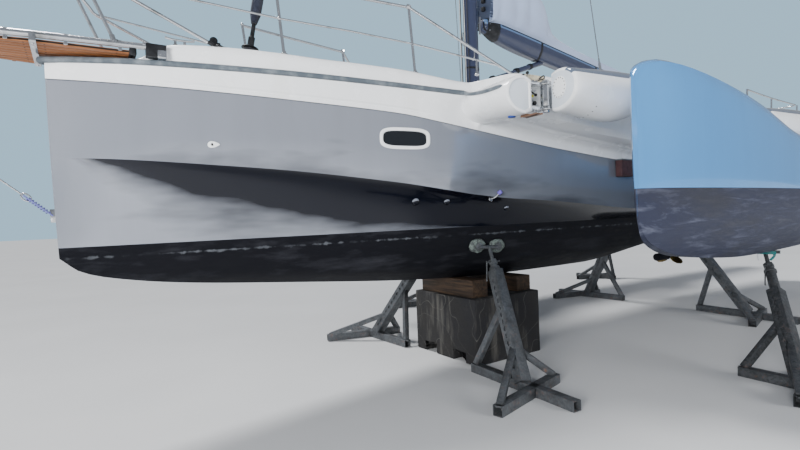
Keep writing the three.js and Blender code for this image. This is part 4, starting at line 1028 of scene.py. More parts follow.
# Distance off the centreline and inset of each ring of a stub, the last two of them the panel in its end.
STUB_END = ((1.15, 0), (1.375, 0), (1.392, 0.004), (1.4, 0.014), (1.4, 0.03), (1.386, 0.036))


def stub_outline(chord, low, high, steps=14):
    mid, half, nose = (low + high) / 2, (high - low) / 2, chord * 0.75
    arc = [math.pi / 2 + math.pi * k / steps for k in range(steps + 1)]
    front = [(chord - nose - nose * math.cos(a), mid + half * math.sin(a)) for a in arc]
    return [(0, low + 0.03)] + front[::-1] + [(0, high - 0.03)]


def stub(beam, side, grow=0.0):
    aft = BEAM_STATIONS[beam] - STUB["offset"]
    outline = stub_outline(STUB["chord"] + 2 * grow, STUB["low"] - grow, STUB["high"] + grow)
    span = STUB_INNER[beam] - grow, STUB["outer"] + grow
    return loft("stub", [[at(aft + grow - v, side * y, z) for v, z in outline] for y in span])


def pin_post(x, y, low, high, radius, sides=32):
    return turned("post", (x, y, low), UP, [(0, radius), (high - low, radius)], sides)


def pin_at(beam, side):
    return BLOCK_STATION - BEAM_STATIONS[beam], side * PIN_Y


def notches():
    """The open notches of the wings where the hinge pins stand."""
    out = []
    for _, side in SIDES:
        for station in BEAM_STATIONS.values():
            out.append(slab("notch", station - 0.16, station + 0.095, side * 1.29, side * 1.5, 2.3, 3.1))
    return out


def cabin_space():
    rings = []
    for s in (4.85, 5.4, 6.2, 7.1, 7.9, 8.4):
        band = line("band_y", s) - 0.06
        half = [
            (0.43, 1.48),
            (line("knuckle_y", s) - 0.15, line("knuckle_z", s) + 0.04),
            (band, line("band_z", s) + 0.04),
            (band, line("deck_z", s) + 0.06),
        ]
        rings.append(whole(half, lambda y, z, s=s: at(s, y, z)))
    return loft("cabin_space", rings)


def cockpit_well():
    return slab("cockpit_well", 8.5, 11.45, -0.62, 0.62, 2.38, 3.4)


def doorway():
    return slab("doorway", 8.34, 8.56, -0.31, 0.31, 2.46, 3.3)


def hatch_hole():
    """The foredeck hatch's opening."""
    return slab("hatch_hole", 2.09, 2.63, -0.26, 0.26, 2.9, 3.2)


def roof_half(s, inset=0.0):
    base, top = look(ROOFLINE, "base_y", s) - inset, look(ROOFLINE, "top_y", s) - inset
    z = look(ROOFLINE, "top_z", s) - inset
    foot = line("deck_z", s) - (0.04 if inset > 0.03 else 0) + 0.06
    side = [(base, foot), (base - 0.015, foot + 0.11)]
    corner = smooth_line([side[-1], (top, z - 0.07), (top - 0.07, z - 0.018), (top * 0.5, z), (0, z)], 4)
    return side + corner[1:-1]


def float_half(t, waterline):
    """A float's section from keel to crown, with a point on its waterline."""
    b, top, low = (look(FLOAT_LINES, n, t) for n in ("half", "deck_z", "keel_z"))
    rise = top - low
    given = [
        (b * 0.28, low),
        (b * 0.62, low + rise * 0.1),
        (b * 0.88, low + rise * 0.28),
        (b * 0.98, low + rise * 0.5),
        (b, low + rise * 0.75),
        (b * 0.96, top - rise * 0.06),
        (b * 0.86, top),
    ]
    fine = smooth_line(given, 8)
    count = 12
    split = min(max(waterline, low + rise * 0.05), top - rise * 0.2)
    k = next(i for i in range(1, len(fine)) if fine[i][1] >= split)
    share = (split - fine[k - 1][1]) / (fine[k][1] - fine[k - 1][1])
    mark = (lerp(fine[k - 1][0], fine[k][0], share), split)
    below = resample([*fine[:k], mark], count)
    above = resample([mark, *fine[k:]], count + 4)
    return below + above[1:] + [(b * 0.6, top + look(FLOAT_LINES, "crown", t) * 0.62)], count


def resample(points, count):
    """Evenly spaced points along a line of (y, z) points."""
    p = [Vector(q) for q in points]
    lengths = [0.0]
    for a, b in zip(p, p[1:]):
        lengths.append(lengths[-1] + (b - a).length)
    out, k = [], 0
    for i in range(count):
        want = lengths[-1] * i / (count - 1)
        while k < len(p) - 2 and lengths[k + 1] < want:
            k += 1
        share = (want - lengths[k]) / max(lengths[k + 1] - lengths[k], 1e-9)
        q = p[k].lerp(p[k + 1], min(share, 1))
        out.append((q.x, q.y))
    return out


def fold_turn(beam, side):
    """The matrix that swings a beam drawn abeam to where it lies folded."""
    x, y = pin_at(beam, side)
    return Matrix.Translation((x, y, 0)) @ Matrix.Rotation(side * FOLD, 4, "Z")


def beam_place(beam, side):
    turn = fold_turn(beam, side)
    return lambda u, v, z: turn @ Vector((v, side * u, z))


BOOM_STATION = 4.45
BOOM_HEIGHT = 3.95
BOOM_FRAME = (
    Matrix.Translation(at(BOOM_STATION, 0, BOOM_HEIGHT))
    @ Matrix.Rotation(math.radians(7), 4, "Z")
    @ Matrix.Rotation(math.radians(-3.5), 4, "Y")
)


def on_boom(a, y, z):
    """A place at a distance along the boom from its pivot, a height above its axis and a distance to port."""
    return BOOM_FRAME @ Vector((-a, y, z))

# Pieces


def side_y(s, z):
    """Half breadth of the topside at a height between the knuckle and the white band."""
    low, high = line("knuckle_z", s), line("band_z", s)
    t = min(max((z - low) / (high - low), 0), 1)
    y = lerp(line("knuckle_y", s), line("band_y", s), t)
    return y + swell(line("band_y", s)) * math.sin(math.pi * t)


def cove_y(s, z):
    """Half breadth of the hull between the waterline and the knuckle, read off its section."""
    half, _ = hull_half(s)
    for a, b in zip(half, half[1:]):
        if a[1] <= z <= b[1] and b[1] > a[1]:
            return lerp(a[0], b[0], (z - a[1]) / (b[1] - a[1]))
    return half[0][0]


def on_side(s, z, out=0.0, side=1):
    return raked(s, side * (side_y(s, z) + out), z)


def oval(s, z, half_length, half_height, count=48, power=0.55):
    """Places round a rounded slot on the topside, as (station, height)."""
    out = []
    for k in range(count):
        a = 2 * math.pi * k / count
        c, d = math.cos(a), math.sin(a)
        u = math.copysign(abs(c) ** power, c) * half_length
        v = math.copysign(abs(d) ** power, d) * half_height
        out.append((s + u, z + v))
    return out


PORTLIGHT = {"s": 2.79, "z": 2.368, "half_length": 0.23, "half_height": 0.074}


def rim(name, rings):
    """A ring-shaped piece whose section closes on itself."""
    count, total = len(rings[0]), len(rings)
    faces = []
    for r in range(total):
        n = (r + 1) % total
        for i in range(count):
            j = (i + 1) % count
            faces.append((r * count + i, r * count + j, n * count + j, n * count + i))
    return soften(make(name, [p for ring in rings for p in ring], faces), 40)


def disc(name, ring):
    """A filled outline, with rings towards the middle so that it can follow a curve."""
    middle = sum((Vector(p) for p in ring), Vector()) / len(ring)
    rings = [[Vector(p).lerp(middle, t) for p in ring] for t in (0, 0.3, 0.6, 0.9)]
    count = len(ring)
    verts = [p for r in rings for p in r] + [middle]
    faces = []
    for r in range(3):
        for i in range(count):
            j = (i + 1) % count
            faces.append((r * count + i, r * count + j, (r + 1) * count + j, (r + 1) * count + i))
    faces += [(3 * count + i, 3 * count + (i + 1) % count, 4 * count) for i in range(count)]
    return make(name, verts, faces)


def crease(obj, places):
    """Marks the edges that run between the given places as sharp, however shallow the angle there is."""
    wanted = {tuple(round(v, 4) for v in place) for place in places}
    bm = bmesh.new()
    bm.from_mesh(obj.data)
    on_line = {v for v in bm.verts if tuple(round(c, 4) for c in v.co) in wanted}
    for edge in bm.edges:
        if edge.verts[0] in on_line and edge.verts[1] in on_line:
            edge.smooth = False
    bm.to_mesh(obj.data)
    bm.free()
    return obj


def face_out(obj, direction):
    """Turns an open sheet's faces towards a direction."""
    bm = bmesh.new()
    bm.from_mesh(obj.data)
    bmesh.ops.recalc_face_normals(bm, faces=bm.faces)
    total = sum((f.normal * f.calc_area() for f in bm.faces), Vector())
    if total.dot(Vector(direction)) < 0:
        bmesh.ops.reverse_faces(bm, faces=bm.faces)
    for face in bm.faces:
        face.smooth = True
    bm.to_mesh(obj.data)
    bm.free()
    return obj


def build_hull():
    rings = []
    for s in HULL_STATIONS:
        half, spans = hull_half(s)
        ring = whole(half, lambda y, z, s=s: raked(s, y, z))
        if not rings:
            rings.append(narrowed(ring))
        rings.append(ring)
    strips = spans + [2] + spans[::-1] + [0]
    hull = loft("hull_shell", rings, strips, caps=(1, 1), angle=24)
    paint(hull, "antifoul", "topside", "gelcoat", "line")
    slot_cut = slab("board_slot", 5.19, 7.37, -0.031, 0.031, 0.7, 1.422)
    cutters = [cabin_space(), cockpit_well(), doorway(), *notches()]
    cutters += [stub(b, side, 0.0004) for _, side in SIDES for b in BEAMS]
    for cutter in cutters:
        paint(cutter, "gelcoat")
    paint(slot_cut, "antifoul")
    recess = []
    for _, side in SIDES:
        ring = oval(**PORTLIGHT)
        recess.append(loft("recess", [[on_side(s, z, out, side) for s, z in ring] for out in (-0.03, 0.05)]))
        paint(recess[-1], "black")
    carve(hull, *cutters, slot_cut, *recess)
    soften(hull, 24, merge=1e-5)
    knuckle = []
    for s in HULL_STATIONS:
        y, z = line("knuckle_y", s), line("knuckle_z", s)
        knuckle += [raked(s, side * y, z) for _, side in SIDES]
    crease(hull, knuckle)
    keep(hull, "hull_shell", "hull", "topside", "main_hull")
    for name, side in SIDES:
        p = PORTLIGHT

        def ring(grow, out):
            shape = oval(p["s"], p["z"], p["half_length"] + grow, p["half_height"] + grow)
            return [on_side(s, z, out, side) for s, z in shape]

        frame_piece = rim("portlight_frame", [
            ring(0.026, -0.002), ring(0.026, 0.004), ring(0.018, 0.009), ring(0.002, 0.009),
            ring(-0.004, 0.004), ring(-0.004, -0.012), ring(0.003, -0.014)])
        paint(frame_piece, "gelcoat")
        pane = face_out(disc("portlight_pane", ring(0.0, -0.011)), (0, side, 0))
        paint(pane, "glass")
        keep([frame_piece, pane], f"portlight_{name}", "hull", "gelcoat")


def build_deck():
    rings = [whole(deck_half(s), lambda y, z, s=s: raked(s, y, z)) for s in HULL_STATIONS]
    count = len(deck_half(0))
    half = [0] * 8 + [1] * (count - 9)
    strips = half + [1] + half[::-1] + [0]
    deck = loft("deck_shell", rings, strips, caps=(0, 0), angle=28)
    paint(deck, "gelcoat", "grip", "stub_face")
    stubs = [paint(stub_shape(b, side), "gelcoat", "stub_face") for _, side in SIDES for b in BEAMS]
    carve(deck, *stubs, operation="UNION")
    cutters = [
        slab("cabin_opening", 4.91, 8.4, -0.64, 0.64, 2.6, 3.4),
        cockpit_well(),
        doorway(),
        hatch_hole(),
        *notches(),
    ]
    for cutter in cutters:
        paint(cutter, "cream" if cutter.name.startswith("notch") else "gelcoat")
    carve(deck, *cutters)
    soften(deck, 28, merge=1e-5)
    keep(deck, "deck_moulding", "hull", "gelcoat", "deck")


def stub_shape(beam, side):
    """A hinge stub with a rounded nose and a shallow panel in its end face."""
    aft = BEAM_STATIONS[beam] - STUB["offset"]
    first = STUB_INNER[beam]
    rings = []
    for y, inset in ((first, 0), *STUB_END):
        outline = stub_outline(STUB["chord"] - 2 * inset, STUB["low"] + inset, STUB["high"] - inset)
        rings.append([at(aft - inset - v, side * y, z) for v, z in outline])
    return loft("stub", rings, caps=(0, 1), angle=30)


def nose_station(z):
    """The station of the front stub's rounded nose at a height."""
    mid, half = (STUB["low"] + STUB["high"]) / 2, (STUB["high"] - STUB["low"]) / 2
    nose = STUB["chord"] * 0.75
    centre = BEAM_STATIONS["front"] - STUB["offset"] - STUB["chord"] + nose
    return centre - nose * math.sqrt(max(0, 1 - ((z - mid) / half) ** 2))


STRIP_STATIONS = [3.44, 3.4, 3.3, 3.2, 3.1, 3.0, 2.75, 2.5, 2.25, 2.0, 1.8, 1.6, 1.4, 1.2]
STRIP_STATIONS += [1.0, 0.87, 0.75, 0.62, 0.5, 0.4, 0.3, 0.22, 0.15, 0.1, 0.06]
# The strip's run round the nose of the front stub, as distance off the centreline and height.
STRIP_END = ((0.86, 2.812), (0.92, 2.798), (1.0, 2.787), (1.1, 2.776), (1.2, 2.774), (1.28, 2.776),
             (1.33, 2.78))


def build_strip():

    def edge(s, side):
        return raked(s, side * (line("deck_y", s) + 0.003), line("deck_z", s) - 0.004)

    port = [edge(s, 1) for s in STRIP_STATIONS]
    nose = []
    for k in range(13):
        a = math.pi * k / 12
        nose.append((BLOCK_STATION - 0.045 + 0.014 + 0.016 * math.sin(a), 0.026 * math.cos(a), 2.906))
    path = port + nose + [Vector((p.x, -p.y, p.z)) for p in port[::-1]]
    strip = paint(tube("strip", path, [0.021] * len(path), 14, flat=1.12), "trim")
    keep(strip, "rubbing_strip_finished", "hull", "trim", "rubbing_strip")
    for name, side in SIDES:
        run = [at(nose_station(z) - 0.001, side * y, z) for y, z in STRIP_END]
        places = curve_points([edge(STRIP_STATIONS[0], side), *run], 4)
        radii = [0.02] * len(places)
        for k, radius in enumerate((0.006, 0.011, 0.016)):
            radii[-1 - k] = radius
        keep(paint(tube("end", places, radii, 12), "trim"), f"rubbing_strip_end_{name}", "hull", "trim")


def build_coachroof():
    stations = spread(4.7, 5.6, 15) + spread(5.7, 8.5, 20)
    rings = [whole(roof_half(s), lambda y, z, s=s: at(s, y, z)) for s in stations]
    roof = loft("roof", rings, caps=(0, 0), angle=35)
    inner = [4.88, 5.05, 5.3, 5.6, 6.1, 6.6, 7.6, 8.1, 8.44]
    hollow = loft("hollow", [whole(roof_half(s, 0.035), lambda y, z, s=s: at(s, y, z)) for s in inner])
    cutters = [
        hollow,
        doorway(),
        slab("hatch", 7.78, 8.6, -0.3, 0.3, 3.3, 3.6),
        window_space("windows", 0.0, 0.02),
    ]
    paint(roof, "gelcoat")
    for cutter in cutters:
        paint(cutter, "gelcoat")
    carve(roof, *cutters)
    soften(roof, 35)
    keep(roof, "coachroof_moulding", "hull", "gelcoat", "coachroof", "coachroof_front")
    for name, side in SIDES:
        outer = loft("o", [whole(roof_half(s, 0.003), lambda y, z, s=s: at(s, y, z)) for s in stations])
        core = loft("i", [whole(roof_half(s, 0.015), lambda y, z, s=s: at(s, y, z)) for s in stations])
        carve(outer, core)
        carve(outer, window_space("part", 0.0006, 0.02, side), operation="INTERSECT")
        paint(soften(outer, 35), "glass")
        keep(outer, f"window_{name}", "hull", "glass", f"cabin_window_{name}")


def window_space(name, inset, radius, side=0):
    """A long rounded slot through the coachroof's sides."""
    low, high = 3.11 + inset, 3.3 - inset
    fore, aft = 5.35 + inset, 7.65 - inset
    ring = []
    for s, z, start in ((aft, high, 0), (fore, high, 90), (fore, low, 180), (aft, low, 270)):
        cs = s - radius if s == aft else s + radius
        cz = z - radius if z == high else z + radius
        for k in range(5):
            a = math.radians(start + 90 * k / 4)
            ring.append((cs + radius * math.cos(a), cz + radius * math.sin(a)))
    span = {0: (-0.9, 0.9), 1: (0.1, 0.9), -1: (-0.9, -0.1)}[side]
    return loft(name, [[at(s, y, z) for s, z in ring] for y in span])


def round_slab(name, s0, s1, y0, y1, z0, z1, corner, edge, crown_height=0.0):
    """A flat cover with rounded corners and edges, and a little crown."""
    ring = []
    y_mid, s_mid = (y0 + y1) / 2, (s0 + s1) / 2
    for cy, cs, start in ((y1, s1, 0), (y0, s1, 90), (y0, s0, 180), (y1, s0, 270)):
        ky = cy - math.copysign(corner, cy - y_mid)
        ks = cs - math.copysign(corner, cs - s_mid)
        for k in range(7):
            a = math.radians(start + 90 * k / 6)
            ring.append((ky + corner * math.cos(a), ks + corner * math.sin(a)))

    def level(z, inset):
        share_y = 1 - inset / ((y1 - y0) / 2)
        share_s = 1 - inset / ((s1 - s0) / 2)
        return [at(s_mid + (s - s_mid) * share_s, y_mid + (y - y_mid) * share_y, z) for y, s in ring]

    rings = [level(z0, 0), level(z1 - edge, 0), level(z1 - edge * 0.3, edge * 0.3), level(z1, edge)]
    if crown_height:
        rings += [level(z1 + crown_height * 0.7, (y1 - y0) * 0.22), level(z1 + crown_height, (y1 - y0) * 0.4)]
    return loft(name, rings, angle=35)


def build_hatches():
    top = max(deck_top(2.05, 0), deck_top(2.67, 0)) + 0.012
    lens = paint(round_slab("lens", 2.09, 2.63, -0.26, 0.26, top + 0.012, top + 0.038, 0.05, 0.006), "glass")
    frame_piece = paint(round_slab("frame", 2.05, 2.67, -0.3, 0.3, top, top + 0.032, 0.06, 0.008), "black")
    keep([frame_piece, lens], "foredeck_hatch_lens", "foredeck_hatch", "glass", "foredeck_hatch")
    foot = deck_top(2.36, 0.3) - 0.03
    rail = round_slab("coaming", 2.03, 2.69, -0.32, 0.32, foot, top - 0.002, 0.06, 0.006)
    hole = hatch_hole()
    paint(rail, "gelcoat")
    paint(hole, "gelcoat")
    carve(rail, hole)
    keep(rail, "foredeck_hatch_coaming", "hull", "gelcoat")
    slide = round_slab("slide", 7.74, 8.49, -0.345, 0.345, 3.428, 3.456, 0.07, 0.01, 0.006)
    paint(slide, "gelcoat")
    keep(slide, "sliding_hatch", "companionway_hatch", "gelcoat", "companionway_hatch")
    low, high = 2.44, 3.33
    door = bevel(slab("door", 8.508, 8.536, -0.33, 0.33, low, high), 0.004)
    paint(door, "black")
    window = slab("door_window", 8.5375, 8.5325, -0.24, 0.24, low + 0.32, high - 0.09)
    paint(bevel(window, 0.002, 1), "glass")
    handle = [at(8.537, 0.27, 2.86), at(8.56, 0.27, 2.86), at(8.562, 0.19, 2.86)]
    knob = paint(tube("knob", handle, 0.007, 10), "steel")
    keep([door, window, knob], "cabin_door", "companionway_door", "glass", "companionway_door")
    engine = dressed("engine", "gelcoat", round_by=0.03, segments=3)
    lid = bevel(slab("lid", 7.62, 8.28, -0.27, 0.27, 2.131, 2.15), 0.006)
    paint(lid, "gelcoat")
    keep([engine, lid], "engine_cover", "hull", "gelcoat", "engine")


def float_place(t, side):
    return lambda y, z: at(FLOAT_STEM + t, side * (FLOAT_Y + y), z)


def float_waterline(t):
    return 1.79 - 0.012 * t


FLOAT_STATIONS = [0, 0.02, 0.045, 0.08, 0.13, 0.2, 0.3, 0.42] + spread(0.55, 10.2, 62)


# The base, pin and cap of a beam's pivot on a float: finish, height of the foot, sides and profile.
FLOAT_PIVOT = (
    ("gelcoat", 2.12, 40, [(0, 0.12), (0.18, 0.12), (0.23, 0.118), (0.328, 0.1), (0.342, 0.092)]),
    ("steel", 2.3, 28, [(0, 0.028), (0.408, 0.028)]),
    ("steel", 2.708, 40, [(0, 0.058), (0.012, 0.06), (0.017, 0.054), (0.018, 0.03)]),
)


def build_floats():
    for name, side in SIDES:
        rings = []
        for t in FLOAT_STATIONS:
            half, count = float_half(t, float_waterline(t))
            place = float_place(t, side)
            middle = [place(0, look(FLOAT_LINES, "deck_z", t) + look(FLOAT_LINES, "crown", t))]
            ring = [place(y, z) for y, z in half] + middle + [place(-y, z) for y, z in half[::-1]]
            if not rings:
                rings.append(narrowed(ring))
            rings.append(ring)
        below, above = count - 1, len(half) - count
        strips = [0] * below + [1] * (above + 1) + [1] * (above + 1) + [0] * (below + 1)
        shell = loft("float", rings, strips, caps=(1, 1), angle=30)
        paint(shell, "float_antifoul", "float_side", "gelcoat")
        parts = [shell]
        for beam in BEAMS:
            tip = beam_place(beam, side)(BEAM_LENGTH, 0, 0)
            for finish, z, sides, profile in FLOAT_PIVOT:
                parts.append(paint(turned("pivot", (tip.x, tip.y, z), UP, profile, sides), finish))
        keep(parts, f"float_{name}_shell", f"float_{name}", "topside", f"float_{name}")


BEAM_SIDES = 48


def beam_ring(s):
    """A beam's section at a distance from its pin, as (s, v, z), fuller forward than aft."""
    row = {n: look(BEAM, n, s) for n in ("aft", "fore", "low", "high")}
    mid, half = (row["low"] + row["high"]) / 2, (row["high"] - row["low"]) / 2
    chord = row["fore"] - row["aft"]
    out = []
    for a in around(BEAM_SIDES):
        c, d = math.cos(a), math.sin(a)
        v = row["aft"] + chord * (0.45 + 0.55 * c * (1 if c > 0 else 0.82))
        out.append((s, v, mid + half * math.copysign(abs(d) ** 0.9, d)))
    return out


def build_beam(beam, name, side):
    put = beam_place(beam, side)
    stations = [0.015, 0.019, 0.027, 0.04] + spread(0.1, 2.4, 30)
    rings = []
    for s in stations:
        ring = beam_ring(s)
        row_mid = sum(z for _, _, z in ring) / BEAM_SIDES
        v_mid = sum(v for _, v, _ in ring) / BEAM_SIDES
        inset = {0.015: 0.03, 0.019: 0.012, 0.027: 0.004}.get(s, 0)
        grown = []
        for _, v, z in ring:
            toward = Vector((v - v_mid, z - row_mid))
            q = toward * (1 - inset / max(toward.length, 1e-6))
            grown.append(put(s, v_mid + q.x, row_mid + q.y))
        rings.append(grown)
    strips = [1 if 32 < 360 * (k + 0.5) / BEAM_SIDES < 62 else 0 for k in range(BEAM_SIDES)]
    spar = loft("spar", rings, strips, caps=(2, 0), angle=35)
    paint(spar, "gelcoat", "stripe", "stub_face")
    tip, pin = put(BEAM_LENGTH, 0, 0), put(0, 0, 0)
    boss = turned("boss", (tip.x, tip.y, 2.47), UP, [
        (0, 0.15), (0.006, 0.16), (0.014, 0.165), (0.212, 0.165), (0.224, 0.16), (0.23, 0.148)], 48)
    carve(spar, paint(boss, "gelcoat"), operation="UNION")
    notch = paint(pin_post(pin.x, pin.y, 2.3, 3.1, 0.078, 40), "gelcoat")
    hole = 0.032 if beam == "front" else 0.046
    tip_hole = paint(pin_post(tip.x, tip.y, 2.3, 3.1, hole), "steel")
    carve(spar, notch, tip_hole)
    soften(spar, 35)
    parts = [spar, beam_arm(put, pin), *beam_cover(put)]
    keep(parts, f"{beam}_beam_{name}_fairing", f"{beam}_beam_{name}", "gelcoat", f"{beam}_beam_{name}")


def beam_arm(put, pin):
    """The steel arm that joins a beam to its hinge pin."""
    low, high = 2.615, 2.805
    section = ((-0.044, low), (0.044, low), (0.044, high), (-0.044, high))
    arm = loft("arm", [[put(u, v, z) for v, z in section] for u in (0, 0.15)])
    eye = pin_post(pin.x, pin.y, low, high, 0.05, 32)
    paint(arm, "steel")
    carve(arm, paint(eye, "steel"), operation="UNION")
    carve(arm, paint(pin_post(pin.x, pin.y, 2.5, 2.9, 0.032), "steel"))
    return bevel(arm, 0.004)


def beam_cover(put):
    """The round cover plate in a beam's inner end, its screws, and a row of screws round the nose."""
    cover, screws = [], []
    middle = (0.19, 2.745)
    radius = 0.098
    centre = put(0.016, *middle)
    inward = (put(0, 0, 0) - put(1, 0, 0)).normalized()
    profile = [(0, radius), (0.005, radius), (0.007, radius - 0.006), (0.007, 0.04)]
    cover.append(paint(turned("plate", centre, inward, profile, 56), "gelcoat"))
    screw_circle = radius - 0.012
    for a in around(16):
        v, z = middle[0] + screw_circle * math.cos(a), middle[1] + screw_circle * math.sin(a)
        screws.append((put(0.0085, v, z), inward))
    for t in spread(0.05, 0.9, 9):
        a = math.radians(lerp(200, 330, t))
        _, v, z = beam_ring(0.3)[int(a / (2 * math.pi) * BEAM_SIDES)]
        screws.append((put(0.3, v, z), put(0, v - 0.18, z - 2.7) - put(0, 0, 0)))
    cover.append(studs("screws", screws, 0.006, 0.004, "black"))
    return cover


def build_beams():
    for name, side in SIDES:
        for beam in BEAMS:
            build_beam(beam, name, side)
            hinge = dressed(f"{beam}_hinge_{name}", "steel", round_by=0.003)
            keep(hinge, f"{beam}_hinge_{name}_plates", "hull", "steel", f"{beam}_hinge_{name}")


SPRIT = {"tip": -1.35, "foot": 0.8, "z": 3.0, "tube": 0.024, "tip_y": 0.09, "foot_y": 0.322, "stem_y": 0.285}


def sprit_y(s):
    """Half breadth of the bowsprit's side tubes at a station."""
    if s < 0:
        return lerp(SPRIT["stem_y"], SPRIT["tip_y"], s / SPRIT["tip"])
    return lerp(SPRIT["stem_y"], SPRIT["foot_y"], s / SPRIT["foot"])


def sprit_z(s):
    if s < 0:
        return SPRIT["z"] + 0.01 * s / SPRIT["tip"]
    return SPRIT["z"] + 0.012 * s / SPRIT["foot"]


def build_bowsprit():
    parts = []
    for _, side in SIDES:
        places = [at(s, side * sprit_y(s), sprit_z(s)) for s in (0.8, 0.4, 0.06, 0, -0.06, -0.5, -1, -1.35)]
        parts.append(tube("rail", places, SPRIT["tube"], 20))
        foot = slab("foot", 0.67, 0.84, side * 0.322 - 0.03, side * 0.322 + 0.03,
                    deck_top(0.84, 0.32) - 0.03, 3.032)
        parts.append(bevel(foot, 0.006))
    tip = [at(-1.35, y, 3.01) for y in (-0.118, -0.112, -0.09, 0, 0.09, 0.112, 0.118)]
    parts.append(tube("tip", tip, [0.012, 0.026, 0.03, 0.03, 0.03, 0.026, 0.012], 20))
    cross = [at(-0.7, y, sprit_z(-0.7)) for y in (-sprit_y(-0.7), sprit_y(-0.7))]
    parts.append(tube("cross", cross, 0.02, 16))
    strap = [(-0.312, 0.0), (-0.312, -0.05), (-0.3, -0.06), (0.3, -0.06), (0.312, -0.05), (0.312, 0.0)]
    strap += [(0.302, 0.0), (0.302, -0.046), (0.296, -0.052)]
    strap += [(-0.296, -0.052), (-0.302, -0.046), (-0.302, 0.0)]
    ends = [[at(s, y, SPRIT["z"] + z) for y, z in strap] for s in (-0.025, 0.015)]
    parts.append(loft("strap", ends, angle=30))
    spots = [(at(-0.005, y, SPRIT["z"] - 0.06), (0, 0, -1)) for y in (-0.268, -0.2, 0.2, 0.268)]
    parts.append(studs("strap_bolts", spots, 0.012, 0.008, "steel", 14, 0.6))
    for _, side in SIDES:
        for s in (-0.98, -0.56, -0.155, 0.185, 0.52):
            clip = turned("clip", at(s, side * sprit_y(s), sprit_z(s)), (0.97, side * 0.14, 0),
                          [(-0.012, 0.0245), (-0.012, 0.0275), (0.012, 0.0275), (0.012, 0.0245)], 20)
            parts.append(clip)
            tab = slab("tab", s - 0.012, s + 0.012, side * (sprit_y(s) + 0.004), side * (sprit_y(s) + 0.012),
                       sprit_z(s) - 0.052, sprit_z(s) - 0.004)
            parts.append(bevel(tab, 0.002, 1))
    loop = [at(-1.345 - 0.02 * math.sin(a), 0.026 * math.cos(a), 2.985 - 0.035 * math.sin(a))
            for a in spread(0, math.pi, 9)]
    parts.append(tube("bail", loop, 0.007, 10))
    paint_bare(parts, "steel")
    keep(parts, "bowsprit_tubes", "hull", "steel", "bowsprit_frame")
    build_planks()
    build_bobstay()


def build_planks():
    """Teak planks under the tubes, with dark caulked seams, an end bracket and bolted straps."""
    low, high = SPRIT["z"] - 0.05, SPRIT["z"] - 0.027
    fore, aft = -1.245, 0.58

    def edge(s):
        return sprit_y(s) - 0.006

    backing = []
    for level in (low + 0.005, high - 0.005):
        half = [(s, edge(s) - 0.002) for s in (fore + 0.002, 0, aft - 0.002)]
        backing.append([at(s, y, level) for s, y in half] + [at(s, -y, level) for s, y in half[::-1]])
    parts = [paint(loft("caulk", backing), "seam")]
    count, gap, e = 9, 0.003, 0.003
    cuts = spread(-1, 1, count + 1)
    for k in range(count):
        for s0, s1 in ((fore, -0.006), (0.002, aft)):
            rings = []
            for s in (s0, s1):
                a, b = cuts[k] * edge(s) + gap, cuts[k + 1] * edge(s) - gap
                rings.append([at(s, a, low + e), at(s, a + e, low), at(s, b - e, low), at(s, b, low + e),
                              at(s, b, high - e), at(s, b - e, high), at(s, a + e, high), at(s, a, high - e)])
            parts.append(paint(loft("plank", rings, angle=50), "teak"))
    spots = []
    for k in range(count):
        y_share = (cuts[k] + cuts[k + 1]) / 2
        for s in (fore + 0.03, -0.66, -0.06, 0.06, 0.5):
            spots.append((at(s, y_share * edge(s), high), UP))
            spots.append((at(s, y_share * edge(s), low), (0, 0, -1)))
    parts.append(studs("plugs", spots, 0.006, 0.0012, "seam", 10, 0.9))
    keep(parts, "bowsprit_planking", "hull", "teak", "bowsprit_planks")
    half = edge(aft) + 0.014
    lip = bevel(slab("lip", aft + 0.001, aft + 0.05, -half, half, low - 0.012, high + 0.02), 0.01, 3)
    pocket = slab("pocket", aft - 0.01, aft + 0.036, -half + 0.02, half - 0.02, low - 0.03, high + 0.008)
    paint(lip, "black")
    paint(pocket, "black")
    carve(lip, pocket)
    keep(lip, "bowsprit_end_bracket", "hull", "steel")
    for name, side in SIDES:
        block = bevel(slab("block", 0.69, 0.775, side * 0.285, side * 0.353, 2.93, 3.034), 0.006)
        cheek = bevel(slab("cheek", 0.765, 0.835, side * 0.283, side * 0.358, 2.928, 2.992), 0.01, 3)
        lid = bevel(slab("lid", 0.7, 0.832, side * 0.288, side * 0.35, 2.99, 3.036), 0.008)
        clamp = [paint(block, "black"), paint(cheek, "steel"), paint(lid, "black")]
        bolts = [(at(s, side * 0.357, 2.96), (0, side, 0)) for s in (0.785, 0.815)]
        clamp.append(studs("bolts", bolts, 0.007, 0.005, "steel", 12, 0.7))
        keep(clamp, f"bowsprit_foot_clamp_{name}", "hull", "steel")


